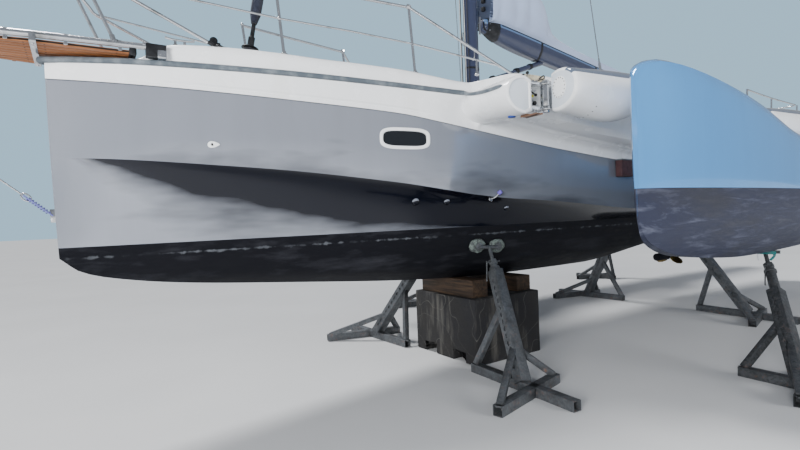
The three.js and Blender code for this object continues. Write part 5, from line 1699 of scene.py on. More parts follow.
def build_bobstay():
    low, high = raked(-0.014, 0, 1.75), at(-1.31, 0, 2.976)
    rod = [low.lerp(high, t) for t in (0.1, 0.3, 0.7, 1)]
    parts = [paint(tube("rod", rod, 0.006, 12), "steel")]
    swage = [low.lerp(high, t) for t in (0.86, 0.88, 0.97, 1.0)]
    parts.append(paint(tube("swage", swage, [0.008, 0.012, 0.012, 0.014], 14), "steel"))
    turns = []
    axis = (high - low).normalized()
    across = axis.cross(PORT).normalized()
    count, steps = 8, 14
    for k in range(count * steps + 1):
        t = k / (count * steps)
        a = 2 * math.pi * count * t
        middle = low + axis * (0.03 + 0.17 * t)
        turns.append(middle + (PORT * math.cos(a) + across * math.sin(a)) * 0.011)
    parts.append(paint(tube("lashing", turns, 0.0055, 8), "blue_rope"))
    for _, side in SIDES:
        run = [low + Vector((0, side * 0.012, 0)), low + axis * 0.11 + Vector((0, side * 0.024, 0)),
               low + axis * 0.23 + Vector((0, side * 0.009, 0))]
        parts.append(paint(tube("strand", curve_points(run, 6), 0.006, 10), "blue_rope"))
    loop = [low + axis * 0.21 + across * 0.022 * math.cos(a) + axis * 0.035 * math.sin(a)
            for a in spread(0, 2 * math.pi, 17)]
    parts.append(paint(tube("thimble", loop[:-1] + [loop[0]], 0.006, 10), "steel"))
    keep(parts, "bobstay_and_lashing", "hull", "steel", "bobstay")
    plate = bevel(slab("tang", -0.03, 0.02, -0.006, 0.006, 1.7, 1.8), 0.003)
    for vert in plate.data.vertices:
        vert.co.x -= rake(0, vert.co.z)
    keep(paint(plate, "steel"), "bobstay_tang", "hull", "steel")


# The rails' height and radii, and the stations of the guard rail's posts and of the point between them.
RAIL_HIGH = 0.62
RAIL_TUBE = 0.013
LOW_RAIL_TUBE = 0.009
POST_FORE = 1.73
POST_AFT = 2.95
POST_BETWEEN = 2.34


def rail_head(s, side, up):
    share = up / RAIL_HIGH
    base = lerp(3.013, 2.99, (s - POST_FORE) / (POST_AFT - POST_FORE))
    return at(s - 0.06 * share, side * (line("deck_y", s) - 0.07 + 0.02 * share), base + up)


def rail_foot(s, y, wide=0.03):
    """A round base plate under a rail's leg."""
    return turned("foot", at(s, y, deck_top(s, abs(y)) - 0.004), UP, [
        (0, wide), (0.006, wide), (0.010, wide - 0.004), (0.012, 0.017), (0.03, 0.0155)], 28)


def build_guard_rail(name, side):
    parts = []
    for s in (POST_FORE, POST_AFT):
        y = line("deck_y", s) - 0.07
        post = [on_deck(s, side * y, -0.012), rail_head(s, side, RAIL_HIGH)]
        parts.append(tube("stanchion", post, RAIL_TUBE, 16))
        parts.append(rail_foot(s, side * y))
    bend = rail_head(POST_AFT, side, RAIL_HIGH - 0.003)
    end = on_deck(3.75, side * 1.2, -0.012)
    near = [bend.lerp(rail_head(POST_BETWEEN, side, RAIL_HIGH), 0.12), bend, bend.lerp(end, 0.09)]
    top = [rail_head(POST_FORE, side, RAIL_HIGH - 0.003), rail_head(POST_BETWEEN, side, RAIL_HIGH)]
    top += curve_points([top[-1], *near, end], 5)[5:]
    parts.append(tube("top", top, RAIL_TUBE, 16))
    parts.append(rail_foot(3.75, side * 1.2))
    low_bend = rail_head(POST_AFT, side, 0.285)
    mid_end = bend.lerp(end, 0.84)
    middle = [rail_head(POST_FORE, side, 0.34), rail_head(POST_BETWEEN, side, 0.315)]
    before, after = low_bend.lerp(middle[-1], 0.12), low_bend.lerp(mid_end, 0.12)
    middle += curve_points([middle[-1], before, low_bend, after, mid_end], 4)[4:]
    parts.append(tube("middle", middle, LOW_RAIL_TUBE, 14))
    prop = low_bend.lerp(mid_end, 0.74)
    foot = on_deck(BLOCK_STATION - prop.x, prop.y, -0.012)
    parts.append(tube("prop", [foot, prop], LOW_RAIL_TUBE, 14))
    parts.append(rail_foot(BLOCK_STATION - prop.x, prop.y, 0.022))
    parts.append(tube("bow_rail", [pulpit_knee(side), rail_head(POST_FORE, side, 0.34)], LOW_RAIL_TUBE, 14))
    for s, up in ((POST_FORE, RAIL_HIGH + 0.006), (POST_FORE, 0.34)):
        ball = rail_head(s, side, up)
        parts.append(turned("ball", ball, UP, [
            (-0.016, 0.004), (-0.012, 0.014), (0, 0.018), (0.012, 0.014), (0.016, 0.004)], 18, 60))
    paint_bare(parts, "steel")
    keep(parts, f"guard_rail_{name}_tubes", "hull", "steel", f"guard_rail_{name}")


def pulpit_knee(side):
    return at(0.4, side * 0.345, 3.44)


def build_pulpit():
    top = 3.62
    parts = []
    for _, side in SIDES:
        head = at(0.24, side * 0.296, top)
        parts.append(tube("leg", [at(0.49, side * 0.307, 3.016), head], RAIL_TUBE, 16))
        parts.append(turned("socket", at(0.49, side * 0.307, 3.0), (0.28, 0, 0.96), [
            (0.008, 0.03), (0.03, 0.03), (0.034, 0.018), (0.07, 0.018)], 24))
        knee = pulpit_knee(side)
        foot = on_deck(1.22, side * 0.36, -0.012)
        bend = curve_points([foot, foot.lerp(knee, 0.85), knee, knee.lerp(head, 0.3), head], 5)
        parts.append(tube("slant", bend, RAIL_TUBE, 16))
        profile = [(0, 0.02), (0.03, 0.02), (0.04, 0.016), (0.09, 0.016)]
        parts.append(paint(turned("base", foot, knee - foot, profile, 20), "black"))
        parts.append(paint(rail_foot(1.22, side * 0.36, 0.034), "black"))
    arch = [at(0.25, 0.297, top), at(0.06, 0.215, top)]
    arch += [at(-0.03, 0.1, top + 0.003), at(-0.06, 0, top + 0.004)]
    arch += [Vector((p.x, -p.y, p.z)) for p in arch[:-1][::-1]]
    parts.append(tube("arch", curve_points(arch, 5), RAIL_TUBE, 16))
    paint_bare(parts, "steel")
    keep(parts, "pulpit_tubes", "hull", "steel", "pulpit")


def build_stern_rail(name, side):
    z = deck_top(11.0, 0.8)
    parts = []
    for s, y, s_top, y_top in ((9.3, 0.95, 9.3, 0.965), (10.5, 0.85, 10.5, 0.87),
                               (11.78, 0.8, 11.8, 0.82), (11.78, 0.42, 11.8, 0.42)):
        foot = at(s, side * y, deck_top(s, y) - 0.012)
        parts.append(tube("post", [foot, at(s_top, side * y_top, z + RAIL_HIGH)], RAIL_TUBE, 16))
        parts.append(rail_foot(s, side * y))
    run = [(9.3, 0.96), (10.5, 0.868), (11.55, 0.83), (11.72, 0.815), (11.79, 0.74)]
    run += [(11.795, 0.6), (11.795, 0.42)]
    for up, radius in ((RAIL_HIGH - 0.003, RAIL_TUBE), (0.3, LOW_RAIL_TUBE)):
        parts.append(tube("rail", curve_points([at(s, side * y, z + up) for s, y in run], 4), radius, 14))
    paint_bare(parts, "steel")
    keep(parts, f"stern_rail_{name}_tubes", "hull", "steel", f"stern_rail_{name}")


def build_rails():
    for name, side in SIDES:
        build_guard_rail(name, side)
        build_stern_rail(name, side)
    build_pulpit()


MAST_CHORD = 0.205
MAST_WIDTH = 0.135
MAST_TAPER_FROM = 15.5
MAST_TOP = 20.5
# Height, reach and sweep of each pair of spreaders.
SPREADERS = ((8.63, 0.82, 0.33), (12.63, 0.69, 0.33))
SPREADER_SECTION = ((0, 0.05, 0.017), (0.1, 0.05, 0.016), (0.96, 0.032, 0.011), (0.995, 0.022, 0.01))


def mast_taper(z):
    """The mast's size at a height, as a share of its size at the deck."""
    return 1 if z < MAST_TAPER_FROM else lerp(1, 0.8, (z - MAST_TAPER_FROM) / 5)


def mast_ring(z, small):
    """The mast's section: a rounded aerofoil, narrower aft."""
    out = []
    for a in around(40):
        c, d = math.cos(a), math.sin(a)
        x = c * (MAST_CHORD * small) / 2
        y = d * (MAST_WIDTH * small) / 2 * (1 if c > 0 else (1 - 0.25 * c * c))
        out.append(at(MAST_STATION - x, y, z))
    return out


def build_mast():
    levels = [3.0, 3.06, 3.07, 3.9, 4.6, 6, 8, 10, 12, 14, MAST_TAPER_FROM, 17, 18.5, 20.3, 20.47, MAST_TOP]
    rings = [mast_ring(z, mast_taper(z) * (0.9 if z == MAST_TOP else 1)) for z in levels]
    parts = [paint(loft("tube", rings, angle=40), "carbon")]
    collar = turned("collar", at(MAST_STATION, 0, deck_top(MAST_STATION, 0) - 0.01), UP, [
        (0, 0.135), (0.03, 0.135), (0.045, 0.125), (0.05, 0.112)], 40)
    parts.append(paint(collar, "carbon"))
    section = ((0, -0.011), (0.016, -0.011), (0.016, 0.011), (0, 0.011))
    track = loft("track", [[at(MAST_STATION + 0.092 + a, y, z) for a, y in section] for z in (4.15, 15.4)])
    parts.append(paint(track, "steel"))
    lips = ((-0.012, 0.985), (-0.01, 1.0), (0.01, 1.0), (0.012, 0.985))
    for z in (3.4, 5.2, 7.9, 10.2, 13.4, 16.3, 19.6):
        band = loft("seam", [mast_ring(z + d, 1.02 * mast_taper(z) * g) for d, g in lips], angle=40)
        parts.append(paint(band, "black"))
    parts += spreaders() + mast_ropes()
    head = bevel(slab("masthead", MAST_STATION - 0.14, MAST_STATION + 0.13, -0.04, 0.04, 20.42, 20.47), 0.008)
    parts.append(paint(head, "steel"))
    keep(parts, "mast_and_fittings", "hull", "carbon", "mast")


def spreaders():
    """Two pairs of swept spreaders with dark caps."""
    parts = []
    for z, out, aft in SPREADERS:
        for _, side in SIDES:
            a, b = at(MAST_STATION + 0.02, side * 0.03, z - 0.03), at(MAST_STATION + aft, side * out, z)
            along = (b - a).normalized()
            wide = along.cross(UP).normalized()
            rings = []
            for t, w, h in SPREADER_SECTION:
                p = a.lerp(b, t)
                turn = around(20)
                rings.append([p + wide * w * math.cos(c) + UP * h * math.sin(c) for c in turn])
            parts.append(paint(loft("spreader", rings, angle=50), "carbon"))
            profile = [(-0.02, 0.014), (-0.012, 0.018), (0.006, 0.018), (0.012, 0.01)]
            parts.append(paint(turned("cap", b, along, profile, 20, 60), "black"))
    return parts


def mast_ropes():
    """Halyards down the front of the mast, and two cleats."""
    parts = []
    halyards = (
        (-0.055, 0.1, 0.005, 15.4, "white_rope"),
        (-0.03, 0.112, 0.006, 19.9, "black_rope"),
        (0.02, 0.115, 0.0045, 15.4, "white_rope"),
        (0.05, 0.102, 0.006, 19.9, "black_rope"),
    )
    for y, x, radius, top, finish in halyards:
        low = at(MAST_STATION - x - 0.01, y * 1.3, 3.2)
        high = at(MAST_STATION - x + 0.01, y * 0.6, top)
        parts.append(paint(tube("halyard", [low, high], radius, 8), finish))
    horn = ((0.06, 0.078, -0.08), (0.05, 0.098, -0.03), (0.05, 0.098, 0.03), (0.06, 0.078, 0.08))
    for z, turn in ((3.55, 1), (3.78, -1)):
        run = [at(MAST_STATION - x, turn * y, z + up) for x, y, up in horn]
        parts.append(paint(tube("cleat", curve_points(run, 4), 0.008, 10), "steel"))
    return parts


def boom_half(s):
    half, low, high = (look(BOOM, n, s) for n in ("half", "low", "high"))
    given = [(0, low * 1.02), (0.45 * half, low), (0.93 * half, low * 0.35), (half, high * 0.45),
             (0.93 * half, high * 0.9), (0.72 * half, high), (0, high * 1.01)]
    return smooth_line(given, 4)[1:-1]


def boom_ring(s, share):
    """The boom's section at a distance from its pivot, drawn in or out by a share."""
    return whole([(y * share, z * share) for y, z in boom_half(s)], lambda y, z: on_boom(s, y, z))


def on_upper_side(place, facing):
    """Whether a face lies on the boom's upper side walls, where a lighter blue is painted as a sky reflection
    on the lacquer.
    """
    inside = BOOM_FRAME.inverted() @ place
    return inside.z > 0.02 and abs(facing.y) > 0.4


def build_boom():
    stations = [0.01, 0.016, 0.03, 0.1] + spread(0.2, 5.2, 34) + [5.27, 5.295, 5.3]
    rounding = {0.01: 0.85, 0.016: 0.95, 5.295: 0.96, 5.3: 0.85}
    spar = loft("boom", [boom_ring(s, rounding.get(s, 1)) for s in stations], angle=34)
    # Faces on the upper side walls take the lighter blue, a painted sky reflection.
    for face in spar.data.polygons:
        face.material_index = 1 if on_upper_side(face.center, face.normal) else 0
    parts = [paint(spar, "carbon", "boom_sky_reflection")]
    for _, side in SIDES[::-1]:
        run = []
        for s in spread(0.3, 5.1, 20):
            run.append(on_boom(s, side * look(BOOM, "half", s) * 0.995, look(BOOM, "high", s) * 0.5))
        parts.append(paint(tube("rail", run, 0.006, 8), "black"))
    parts += gooseneck()
    for s, reach in ((0.17, 0.1), (1.15, 0.02), (2.6, 0.02), (4.9, 0.02)):
        inner = [(d, 1.03) for d in spread(0.002 - reach, reach - 0.002, 2 + round(reach * 100))]
        band = [boom_ring(s + d, share) for d, share in ((-reach, 1.0), *inner, (reach, 1.0))]
        parts.append(paint(loft("band", band, angle=34), "black"))
    keep(parts, "boom_and_gooseneck", "boom", "carbon", "boom")


def gooseneck():
    """The cheeks at the boom's fore end, their bolts and the pin."""
    parts = []
    cheek = ((0.004, -0.045), (0.12, -0.075), (0.2, -0.05), (0.2, 0.05), (0.12, 0.07), (0.004, 0.045))
    for _, side in SIDES[::-1]:
        ring = [on_boom(a, side * 0.036, z) for a, z in cheek]
        outer = [p + (on_boom(0, 1, 0) - on_boom(0, 0, 0)) * math.copysign(0.01, side) for p in ring]
        parts.append(paint(bevel(loft("cheek", [ring, outer]), 0.003), "black"))
    bolts = []
    for a, z in ((0.02, 0.02), (0.02, -0.02), (0.1, 0.035), (0.1, -0.04), (0.17, 0.0)):
        for _, side in SIDES[::-1]:
            out = on_boom(0, side, 0) - on_boom(0, 0, 0)
            bolts.append((on_boom(a, side * 0.062, z), out))
    parts.append(studs("gooseneck_bolts", bolts, 0.009, 0.01, "steel", 12, 0.7))
    pin = turned("pin", on_boom(-0.012, 0, -0.11), on_boom(0, 0, 1) - on_boom(0, 0, 0), [
        (0, 0.012), (0.22, 0.012)], 20)
    parts.append(paint(pin, "steel"))
    return parts


def build_vang():
    a, b = on_boom(1.4, 0, -0.11), at(BOOM_STATION, 0, 3.26)
    case = [a.lerp(b, t) for t in (0.06, 0.08, 0.5, 0.52, 0.9)]
    parts = [paint(tube("case", case, [0.024, 0.034, 0.034, 0.024, 0.024], 20), "carbon")]
    for t in (0.28, 0.5, 0.86):
        ring = [a.lerp(b, t + d) for d in (-0.02, -0.016, 0.016, 0.02)]
        parts.append(paint(tube("collar", ring, [0.03, 0.042, 0.042, 0.03], 20), "black"))
    for t in (0.0, 0.93):
        p, q = a.lerp(b, t), a.lerp(b, t + 0.07)
        run = [p, p.lerp(q, 0.3), p.lerp(q, 0.7), q]
        parts.append(paint(tube("end", run, [0.012, 0.022, 0.022, 0.014], 16), "steel"))
    keep(parts, "vang_strut", "boom", "carbon", "vang")


FOLDS = 53


def sail_wrap(s):
    """The last cloth of the sail, drawn round the flakes, as (y, z) from starboard over the top to port."""
    foot, boom_half = look(BOOM, "high", s), look(BOOM, "half", s)
    high = look(STOW, "high", s) + 0.012
    wide = max(look(STOW, "half", s), boom_half) + 0.012
    side = smooth_line([
        (boom_half + 0.004, foot * 0.55),
        (wide, foot + 0.03),
        (wide * 0.98, foot + high * 0.5),
        (wide * 0.72, foot + high * 0.86),
        (0, foot + high),
    ], 7)
    outline = [(-y, z) for y, z in side] + side[:-1][::-1]
    size = min(1, high / 0.4) * 0.03
    out = []
    for k, (y, z) in enumerate(outline):
        v = abs(2 * k / (len(outline) - 1) - 1)
        crease = abs(math.sin(6.0 * s + 2.6 * v + 0.8 * math.sin(3 * s))) - 0.5
        crease += 0.45 * math.sin(9 * s - 3 * v + (0.6 if y > 0 else 2.1))
        lift = size * crease * math.sin(math.pi * min(max(1 - v, 0.02), 0.98)) ** 0.5
        out.append((y + math.copysign(lift, y) if abs(y) > 0.01 else y, z + lift * 0.3))
    return out


def build_stowed_sail():
    """The mainsail on the boom: one sheet, flaked from side to side, with its last cloth round the flakes."""
    stations = spread(0.07, 0.3, 8) + spread(0.34, 1.15, 24) + spread(1.18, 1.6, 14) + spread(1.7, 5.0, 44)
    across = 7
    rings = []
    for s in stations:
        foot = look(BOOM, "high", s) + 0.012
        half, high = look(STOW, "half", s), look(STOW, "high", s) - 0.006
        ring = [on_boom(s, y, z) for y, z in sail_wrap(s)]
        for k in range(FOLDS):
            way = 1 if k % 2 else -1
            for i in range(across):
                share = i / across
                t = (k + share * 0.35) / FOLDS
                wide = min(1, 0.78 + t * 1.2, 1.5 - t * 1.15)
                wobble = 0.09 * math.sin(k * 2.4 + s * 3.1) + 0.05 * math.sin(k * 5.1 - s * 7.3)
                y = way * half * wide * (1 + wobble * 0.8) * 0.93 * math.sin(math.pi * (share - 0.5))
                sag = 0.25 * math.sin(math.pi * share) * high / FOLDS
                ring.append(on_boom(s, y, foot + high * t + sag))
        rings.append(ring)
    faces = []
    count = len(rings[0])
    for r in range(len(rings) - 1):
        for i in range(count - 1):
            a = r * count + i
            faces.append((a, a + 1, a + count + 1, a + count))
    sail = make("sail", [p for ring in rings for p in ring], faces)
    soften(sail, 80, merge=0, outward=False)
    paint(sail, "cloth")
    keep(sail, "mainsail_flaked", "boom", "cloth", "mainsail_stowed")
    cars = []
    for k in range(8):
        z = 0.2 + 0.1 * k
        car = bevel(box("car", (-0.03, -0.022, 0), (0.03, 0.022, 0.05)), 0.005)
        for vert in car.data.vertices:
            vert.co = on_boom(0.052 - vert.co.x * 0.6, vert.co.y, z + vert.co.z)
        cars.append(paint(car, "black"))
    keep(cars, "sail_cars", "boom", "cloth")


STAY_FOOT = 1.56


def build_jib():
    foot, head = on_deck(STAY_FOOT, 0, 0.002), at(MAST_STATION - 0.125, 0, 16.2)
    axis = (head - foot).normalized()
    length = (head - foot).length
    fore = PORT.cross(axis)
    profile = [(0.028, 0.028), (0.03, 0.044), (0.036, 0.05), (0.1, 0.056), (0.3, 0.064), (0.55, 0.056),
               (0.8, 0.038), (0.885, 0.02), (0.9, 0.012)]
    rings = []
    for step in range(141):
        t = lerp(0.028, 0.9, step / 140)
        k = next(i for i in range(1, len(profile)) if profile[i][0] >= t - 1e-9)
        (t0, r0), (t1, r1) = profile[k - 1], profile[k]
        radius = lerp(r0, r1, (t - t0) / (t1 - t0))
        ring = []
        for a in around(28):
            turn = (a + t * 62) % (2 * math.pi)
            ridge = 1 - 0.09 * max(0, 1 - turn / 0.9) if turn < 3.2 else 1 - 0.01 * math.sin(6 * turn)
            q = foot + axis * (length * t)
            ring.append(q + (PORT * math.cos(a) + fore * math.sin(a)) * radius * ridge)
        rings.append(ring)
    roll = paint(loft("roll", rings, angle=70), "cover")
    parts = [roll]
    drum = turned("drum", foot, axis, [
        (0.0, 0.014), (0.05, 0.014), (0.055, 0.075), (0.062, 0.078), (0.066, 0.05), (0.13, 0.05),
        (0.135, 0.078), (0.142, 0.075), (0.148, 0.03), (0.24, 0.03), (0.25, 0.02), (0.44, 0.017)], 40)
    parts.append(paint(drum, "black"))
    line_turns = []
    count, steps = 7, 20
    for k in range(count * steps + 1):
        a = 2 * math.pi * k / steps
        q = foot + axis * lerp(0.07, 0.127, k % (count * steps) / (count * steps))
        line_turns.append(q + (PORT * math.cos(a) + fore * math.sin(a)) * 0.055)
    parts.append(paint(tube("furling_line", line_turns, 0.0045, 8), "black_rope"))
    foil = tube("foil", [foot + axis * length * t for t in (0.895, 1)], 0.011, 14)
    parts.append(paint(foil, "steel"))
    swivel = turned("swivel", foot + axis * length * 0.9, axis, [
        (0, 0.02), (0.01, 0.032), (0.09, 0.032), (0.1, 0.02)], 28)
    parts.append(paint(swivel, "black"))
    tang = tube("tang", [on_deck(STAY_FOOT, 0, -0.02), foot + axis * 0.05], 0.012, 14)
    parts.append(paint(tang, "steel"))
    keep(parts, "jib_on_furler", "hull", "cloth", "furled_jib")


# Station and distance out.
SHROUD_FOOT = (5.15, 1.18)


def build_shrouds():
    for name, side in SIDES:
        s, y = SHROUD_FOOT
        low = on_deck(s, side * y, -0.005)
        tips = [at(MAST_STATION + aft, side * (out + 0.012), z) for z, out, aft in SPREADERS]
        high = at(MAST_STATION + 0.04, side * (MAST_WIDTH / 2 + 0.012), 15.9)
        parts = [paint(tube("wire", [low, *tips, high], 0.0055, 10), "steel")]
        up = (tips[0] - low).normalized()
        screw = tube("bottlescrew", [low + up * d for d in (0.06, 0.08, 0.1, 0.3, 0.32, 0.36)],
                     [0.008, 0.009, 0.014, 0.014, 0.009, 0.0075], 14)
        parts.append(paint(screw, "steel"))
        plate = turned("plate", on_deck(s, side * y, -0.004), UP, [
            (0, 0.045), (0.006, 0.045), (0.009, 0.04), (0.01, 0.012), (0.05, 0.012)], 28)
        parts.append(paint(plate, "steel"))
        keep(parts, f"shroud_{name}_wire", "hull", "steel", f"shroud_{name}")


def build_rig():
    build_mast()
    build_boom()
    build_vang()
    build_stowed_sail()
    build_jib()
    build_shrouds()


def build_underwater():
    board = dressed("centreboard", "antifoul", round_by=0.012, segments=3)
    keep(board, "centreboard_blade", "centreboard", "antifoul", "centreboard")
    leg_parts = [dressed("drive_leg", "antifoul", round_by=0.003, angle=50)]
    shaft, aft = 0.8, (-1, 0, 0)
    profile = [(0, 0.062), (0.004, 0.0655), (0.026, 0.0655), (0.03, 0.062)]
    leg_parts.append(paint(turned("anode", at(8.54, 0, shaft), aft, profile, 30), "steel"))
    keep(leg_parts, "saildrive_leg", "hull", "antifoul", "drive_leg")
    screw = dressed("propeller", "bronze", round_by=0.0015, angle=50)
    soften(screw, 60, merge=0, outward=False)
    profile = [(0, 0.049), (0.02, 0.045), (0.045, 0.033), (0.06, 0.012)]
    cone = turned("cone", at(8.74, 0, shaft), aft, profile, 28)
    nut = turned("nut", at(8.79, 0, shaft), aft, [(0, 0.02), (0.018, 0.02), (0.02, 0.016)], 6)
    paint(cone, "bronze")
    paint(nut, "steel")
    keep([screw, cone, nut], "propeller_blades", "propeller", "bronze", "propeller")


RUDDER_STATION = 12.06
# Fore and aft edges of the rudder blade from that station, at heights.
BLADE = table(
    "s fore aft",
    (0.42, 0.02, 0.19),
    (0.7, -0.06, 0.222),
    (0.9, -0.07, 0.24),
    (1.5, -0.1, 0.27),
    (2.7, -0.09, 0.24),
)


def rudder_blade():
    rings = []
    levels = [0.42, 0.426, 0.44, 0.5, 0.7, 0.9, 1.2, 1.5, 1.8, 2.1, 2.4, 2.66, 2.7]
    for z in levels:
        fore, aft = look(BLADE, "fore", z), look(BLADE, "aft", z)
        pinch = {0.42: 0.25, 0.426: 0.6, 0.44: 0.85}.get(z, 1)
        mid = (fore + aft) / 2
        ring = []
        for a in around(32):
            u = (1 + math.cos(a)) / 2
            thick = 0.028 * 2.1 * (math.sqrt(1 - u) * (1 - 0.25 * (1 - u)) * math.sqrt(u) * 1.15) * pinch
            x = lerp(mid, fore + (aft - fore) * u, 0.5 + 0.5 * pinch)
            y = math.copysign(thick, math.sin(a)) if abs(math.sin(a)) > 1e-6 else 0
            ring.append(at(RUDDER_STATION + x, y, z))
        rings.append(ring)
    return paint(loft("blade", rings, angle=50), "gelcoat")


def build_rudder():
    head = bevel(slab("head", 11.96, 12.26, -0.06, 0.06, 2.64, 3.05), 0.012, 3)
    paint(head, "gelcoat")
    straps = []
    for z in (2.72, 2.95):
        strap = bevel(slab("strap", 11.957, 12.2, -0.0635, 0.0635, z, z + 0.035), 0.003)
        straps.append(paint(strap, "steel"))
    spots = itertools.product((-1, 1), (2.72, 2.95), (12.0, 12.08, 12.16))
    bolts = [(at(s, y * 0.0635, z + 0.0175), (0, y, 0)) for y, z, s in spots]
    straps.append(studs("head_bolts", bolts, 0.009, 0.008, "steel", 12, 0.7))
    keep([rudder_blade(), head, *straps], "rudder_and_stock", "rudder", "paint", "rudder")


def build_tiller():
    run = ((11.956, 3.0), (11.7, 3.028), (11.36, 3.06), (11.0, 3.088), (10.71, 3.11))
    run = curve_points([at(s, 0, z) for s, z in run], 6)
    radii = [lerp(0.027, 0.019, i / (len(run) - 1)) for i in range(len(run))]
    radii[-1] = 0.012
    radii[-2] = 0.018
    tiller = [paint(tube("tiller", run, radii, 18, flat=0.9), "teak")]
    wrap = []
    count, steps = 26, 12
    for k in range(count * steps + 1):
        a = 2 * math.pi * k / steps
        t = k / (count * steps)
        q = run[-2].lerp(run[-10], t)
        radius = lerp(0.0195, 0.0235, t)
        wrap.append(q + Vector((0, math.cos(a) * radius, math.sin(a) * radius * 0.92)))
    tiller.append(paint(tube("whipping", wrap, 0.003, 6), "white_rope"))
    keep(tiller, "tiller_and_grip", "rudder", "teak", "tiller")


def build_rudder_bracket():
    bracket = [dressed("rudder_bracket", "steel", round_by=0.006)]
    spots = [(at(11.9445 - 0.022, y, z), (-1, 0, 0)) for y in (-0.045, 0.045) for z in (2.06, 2.2, 2.34)]
    bracket.append(studs("bracket_bolts", spots, 0.009, 0.008, "steel", 12, 0.7))
    keep(bracket, "rudder_bracket_plates", "hull", "steel", "rudder_bracket")


# Station and distance out.
WINCH = (7.5, 0.48)


def build_winches():
    for name, side in SIDES:
        s, y = WINCH
        foot = at(s, side * y, look(ROOFLINE, "top_z", s) - 0.016)
        profile = [
            (0, 0.086), (0.012, 0.088), (0.02, 0.084), (0.06, 0.08), (0.07, 0.064), (0.085, 0.06),
            (0.11, 0.0585), (0.135, 0.062), (0.145, 0.072), (0.152, 0.079), (0.16, 0.081),
            (0.168, 0.078), (0.172, 0.06), (0.18, 0.056), (0.184, 0.03)]
        drum = turned("drum", foot, UP, profile, 48, 28)
        paint(drum, "steel")
        ribs = []
        for a in around(28):
            out = Vector((math.cos(a), math.sin(a), 0))
            for h in (0.092, 0.104, 0.116, 0.128):
                ribs.append((foot + UP * h + out * 0.059, out))
        grip = studs("drum_grip", ribs, 0.004, 0.003, "black", 6, 0.6)
        keep([drum, grip], f"winch_{name}_drum", "hull", "steel", f"winch_{name}")


# Supports ashore


def build_block():
    block = box("block", (-0.5, -0.55, 0), (0.5, 0.55, 0.72))
    tines = [box("slot", (-0.51, y - 0.1, -0.01), (0.51, y + 0.1, 0.105)) for y in (-0.26, 0.26)]
    carve(block, *tines)
    bevel(block, 0.014, 3)
    chips = block.modifiers.new("facets", "SUBSURF")
    chips.subdivision_type = "SIMPLE"
    chips.levels = chips.render_levels = 3
    settle(block)
    bm = bmesh.new()
    bm.from_mesh(block.data)
    bmesh.ops.triangulate(bm, faces=bm.faces)
    bm.to_mesh(block.data)
    bm.free()
    soften(block, 40)
    paint(block, "concrete")
    lugs = []
    for y in (-0.33, 0.33):
        arc = zip(spread(-1, 1, 7), spread(0, math.pi, 7))
        loop = [(-0.48 + x * 0.055, y, 0.69 + 0.03 * math.sin(a)) for x, a in arc]
        lugs.append(paint(tube("lug", curve_points(loop, 3), 0.007, 8), "dark_stand"))
    keep([block, *lugs], "concrete_block", "hull", "concrete", "keel_block")
    for name in ("fore", "aft"):
        node = f"keel_timber_{name}"
        timber = dressed(node, "timber", round_by=0.008, segments=2)
        keep(timber, node + "_baulk", "hull", "timber", node)


# Half widths of the base's bars, post and braces, the radius of the inner tube, the share of the way to
# the head where the post ends, and the height of the base's top.
STAND = {"bar": 0.045, "post": 0.06, "top": 0.8, "brace": 0.03, "inner": 0.036, "base": 0.092}
CORNERS = ((1, 1), (1, -1), (-1, -1), (-1, 1))


def hollow_bar(a, b, half, wall=0.005):
    """An open square tube, with its walls turned in at both ends."""
    a, b = Vector(a), Vector(b)
    along = (b - a).normalized()
    outer = path_rings([a, b], half * math.sqrt(2), 4, math.pi / 4)
    inner = path_rings([a + along * 0.12, b - along * 0.12], (half - wall) * math.sqrt(2), 4, math.pi / 4)
    lip = path_rings([a, b], (half - wall) * math.sqrt(2), 4, math.pi / 4)
    rings = [inner[0], lip[0], outer[0], outer[1], lip[1], inner[1]]
    return loft("hollow_bar", rings, angle=30)


def stand_frame(foot, head, side, base_bars, braces, post_in, post_holes=True, post_top=STAND["top"]):
    """A jack stand: base, braces and leaning post with its row of slots, and the screw on top."""
    s, y = foot

    def floor_place(offset, z):
        return at(s + offset[0], side * (y + offset[1]), z)

    low = at(s, side * (y - post_in), STAND["base"])
    head = Vector(head)
    reach = (head - low).length
    axis = (head - low).normalized()

    def up(t):
        return low.lerp(head, t)

    parts = []
    for a, b in base_bars:
        piece = hollow_bar(floor_place(a, STAND["bar"]), floor_place(b, STAND["bar"]), STAND["bar"])
        parts.append(bevel(piece, 0.004, 2, 40))
    for end, t in braces:
        start = floor_place(end, STAND["base"] - 0.012)
        brace = tube("brace", [start, up(t)], STAND["brace"] * math.sqrt(2), 4, math.pi / 4)
        parts.append(bevel(brace, 0.004, 2, 40))
        shoe = [(0, 0.05), (0.008, 0.05), (0.012, 0.044)]
        parts.append(turned("shoe", start + Vector((0, 0, -0.002)), UP, shoe, 4))
    fore = Vector((1, 0, 0)) - axis * axis.x
    fore.normalize()
    sideways = axis.cross(fore).normalized()
    half = STAND["post"]
    post = loft("post", [[up(t) + fore * a * half + sideways * b * half for a, b in CORNERS]
                         for t in (-0.02, post_top)])
    bevel(post, 0.006, 2, 40)
    if post_holes:
        spacing = reach * post_top / 15.5
        for k in range(13):
            middle = low + axis * (spacing * (k + 1.6))
            ring = [middle + axis * 0.024 * math.sin(a) + sideways * 0.017 * math.cos(a) for a in around(16)]
            carve(post, loft("slot", [[p + fore * d for p in ring] for d in (half - 0.012, half + 0.04)]))
        soften(post, 35)
    return [*parts, post, *stand_screw(up, post_top, reach, head)]


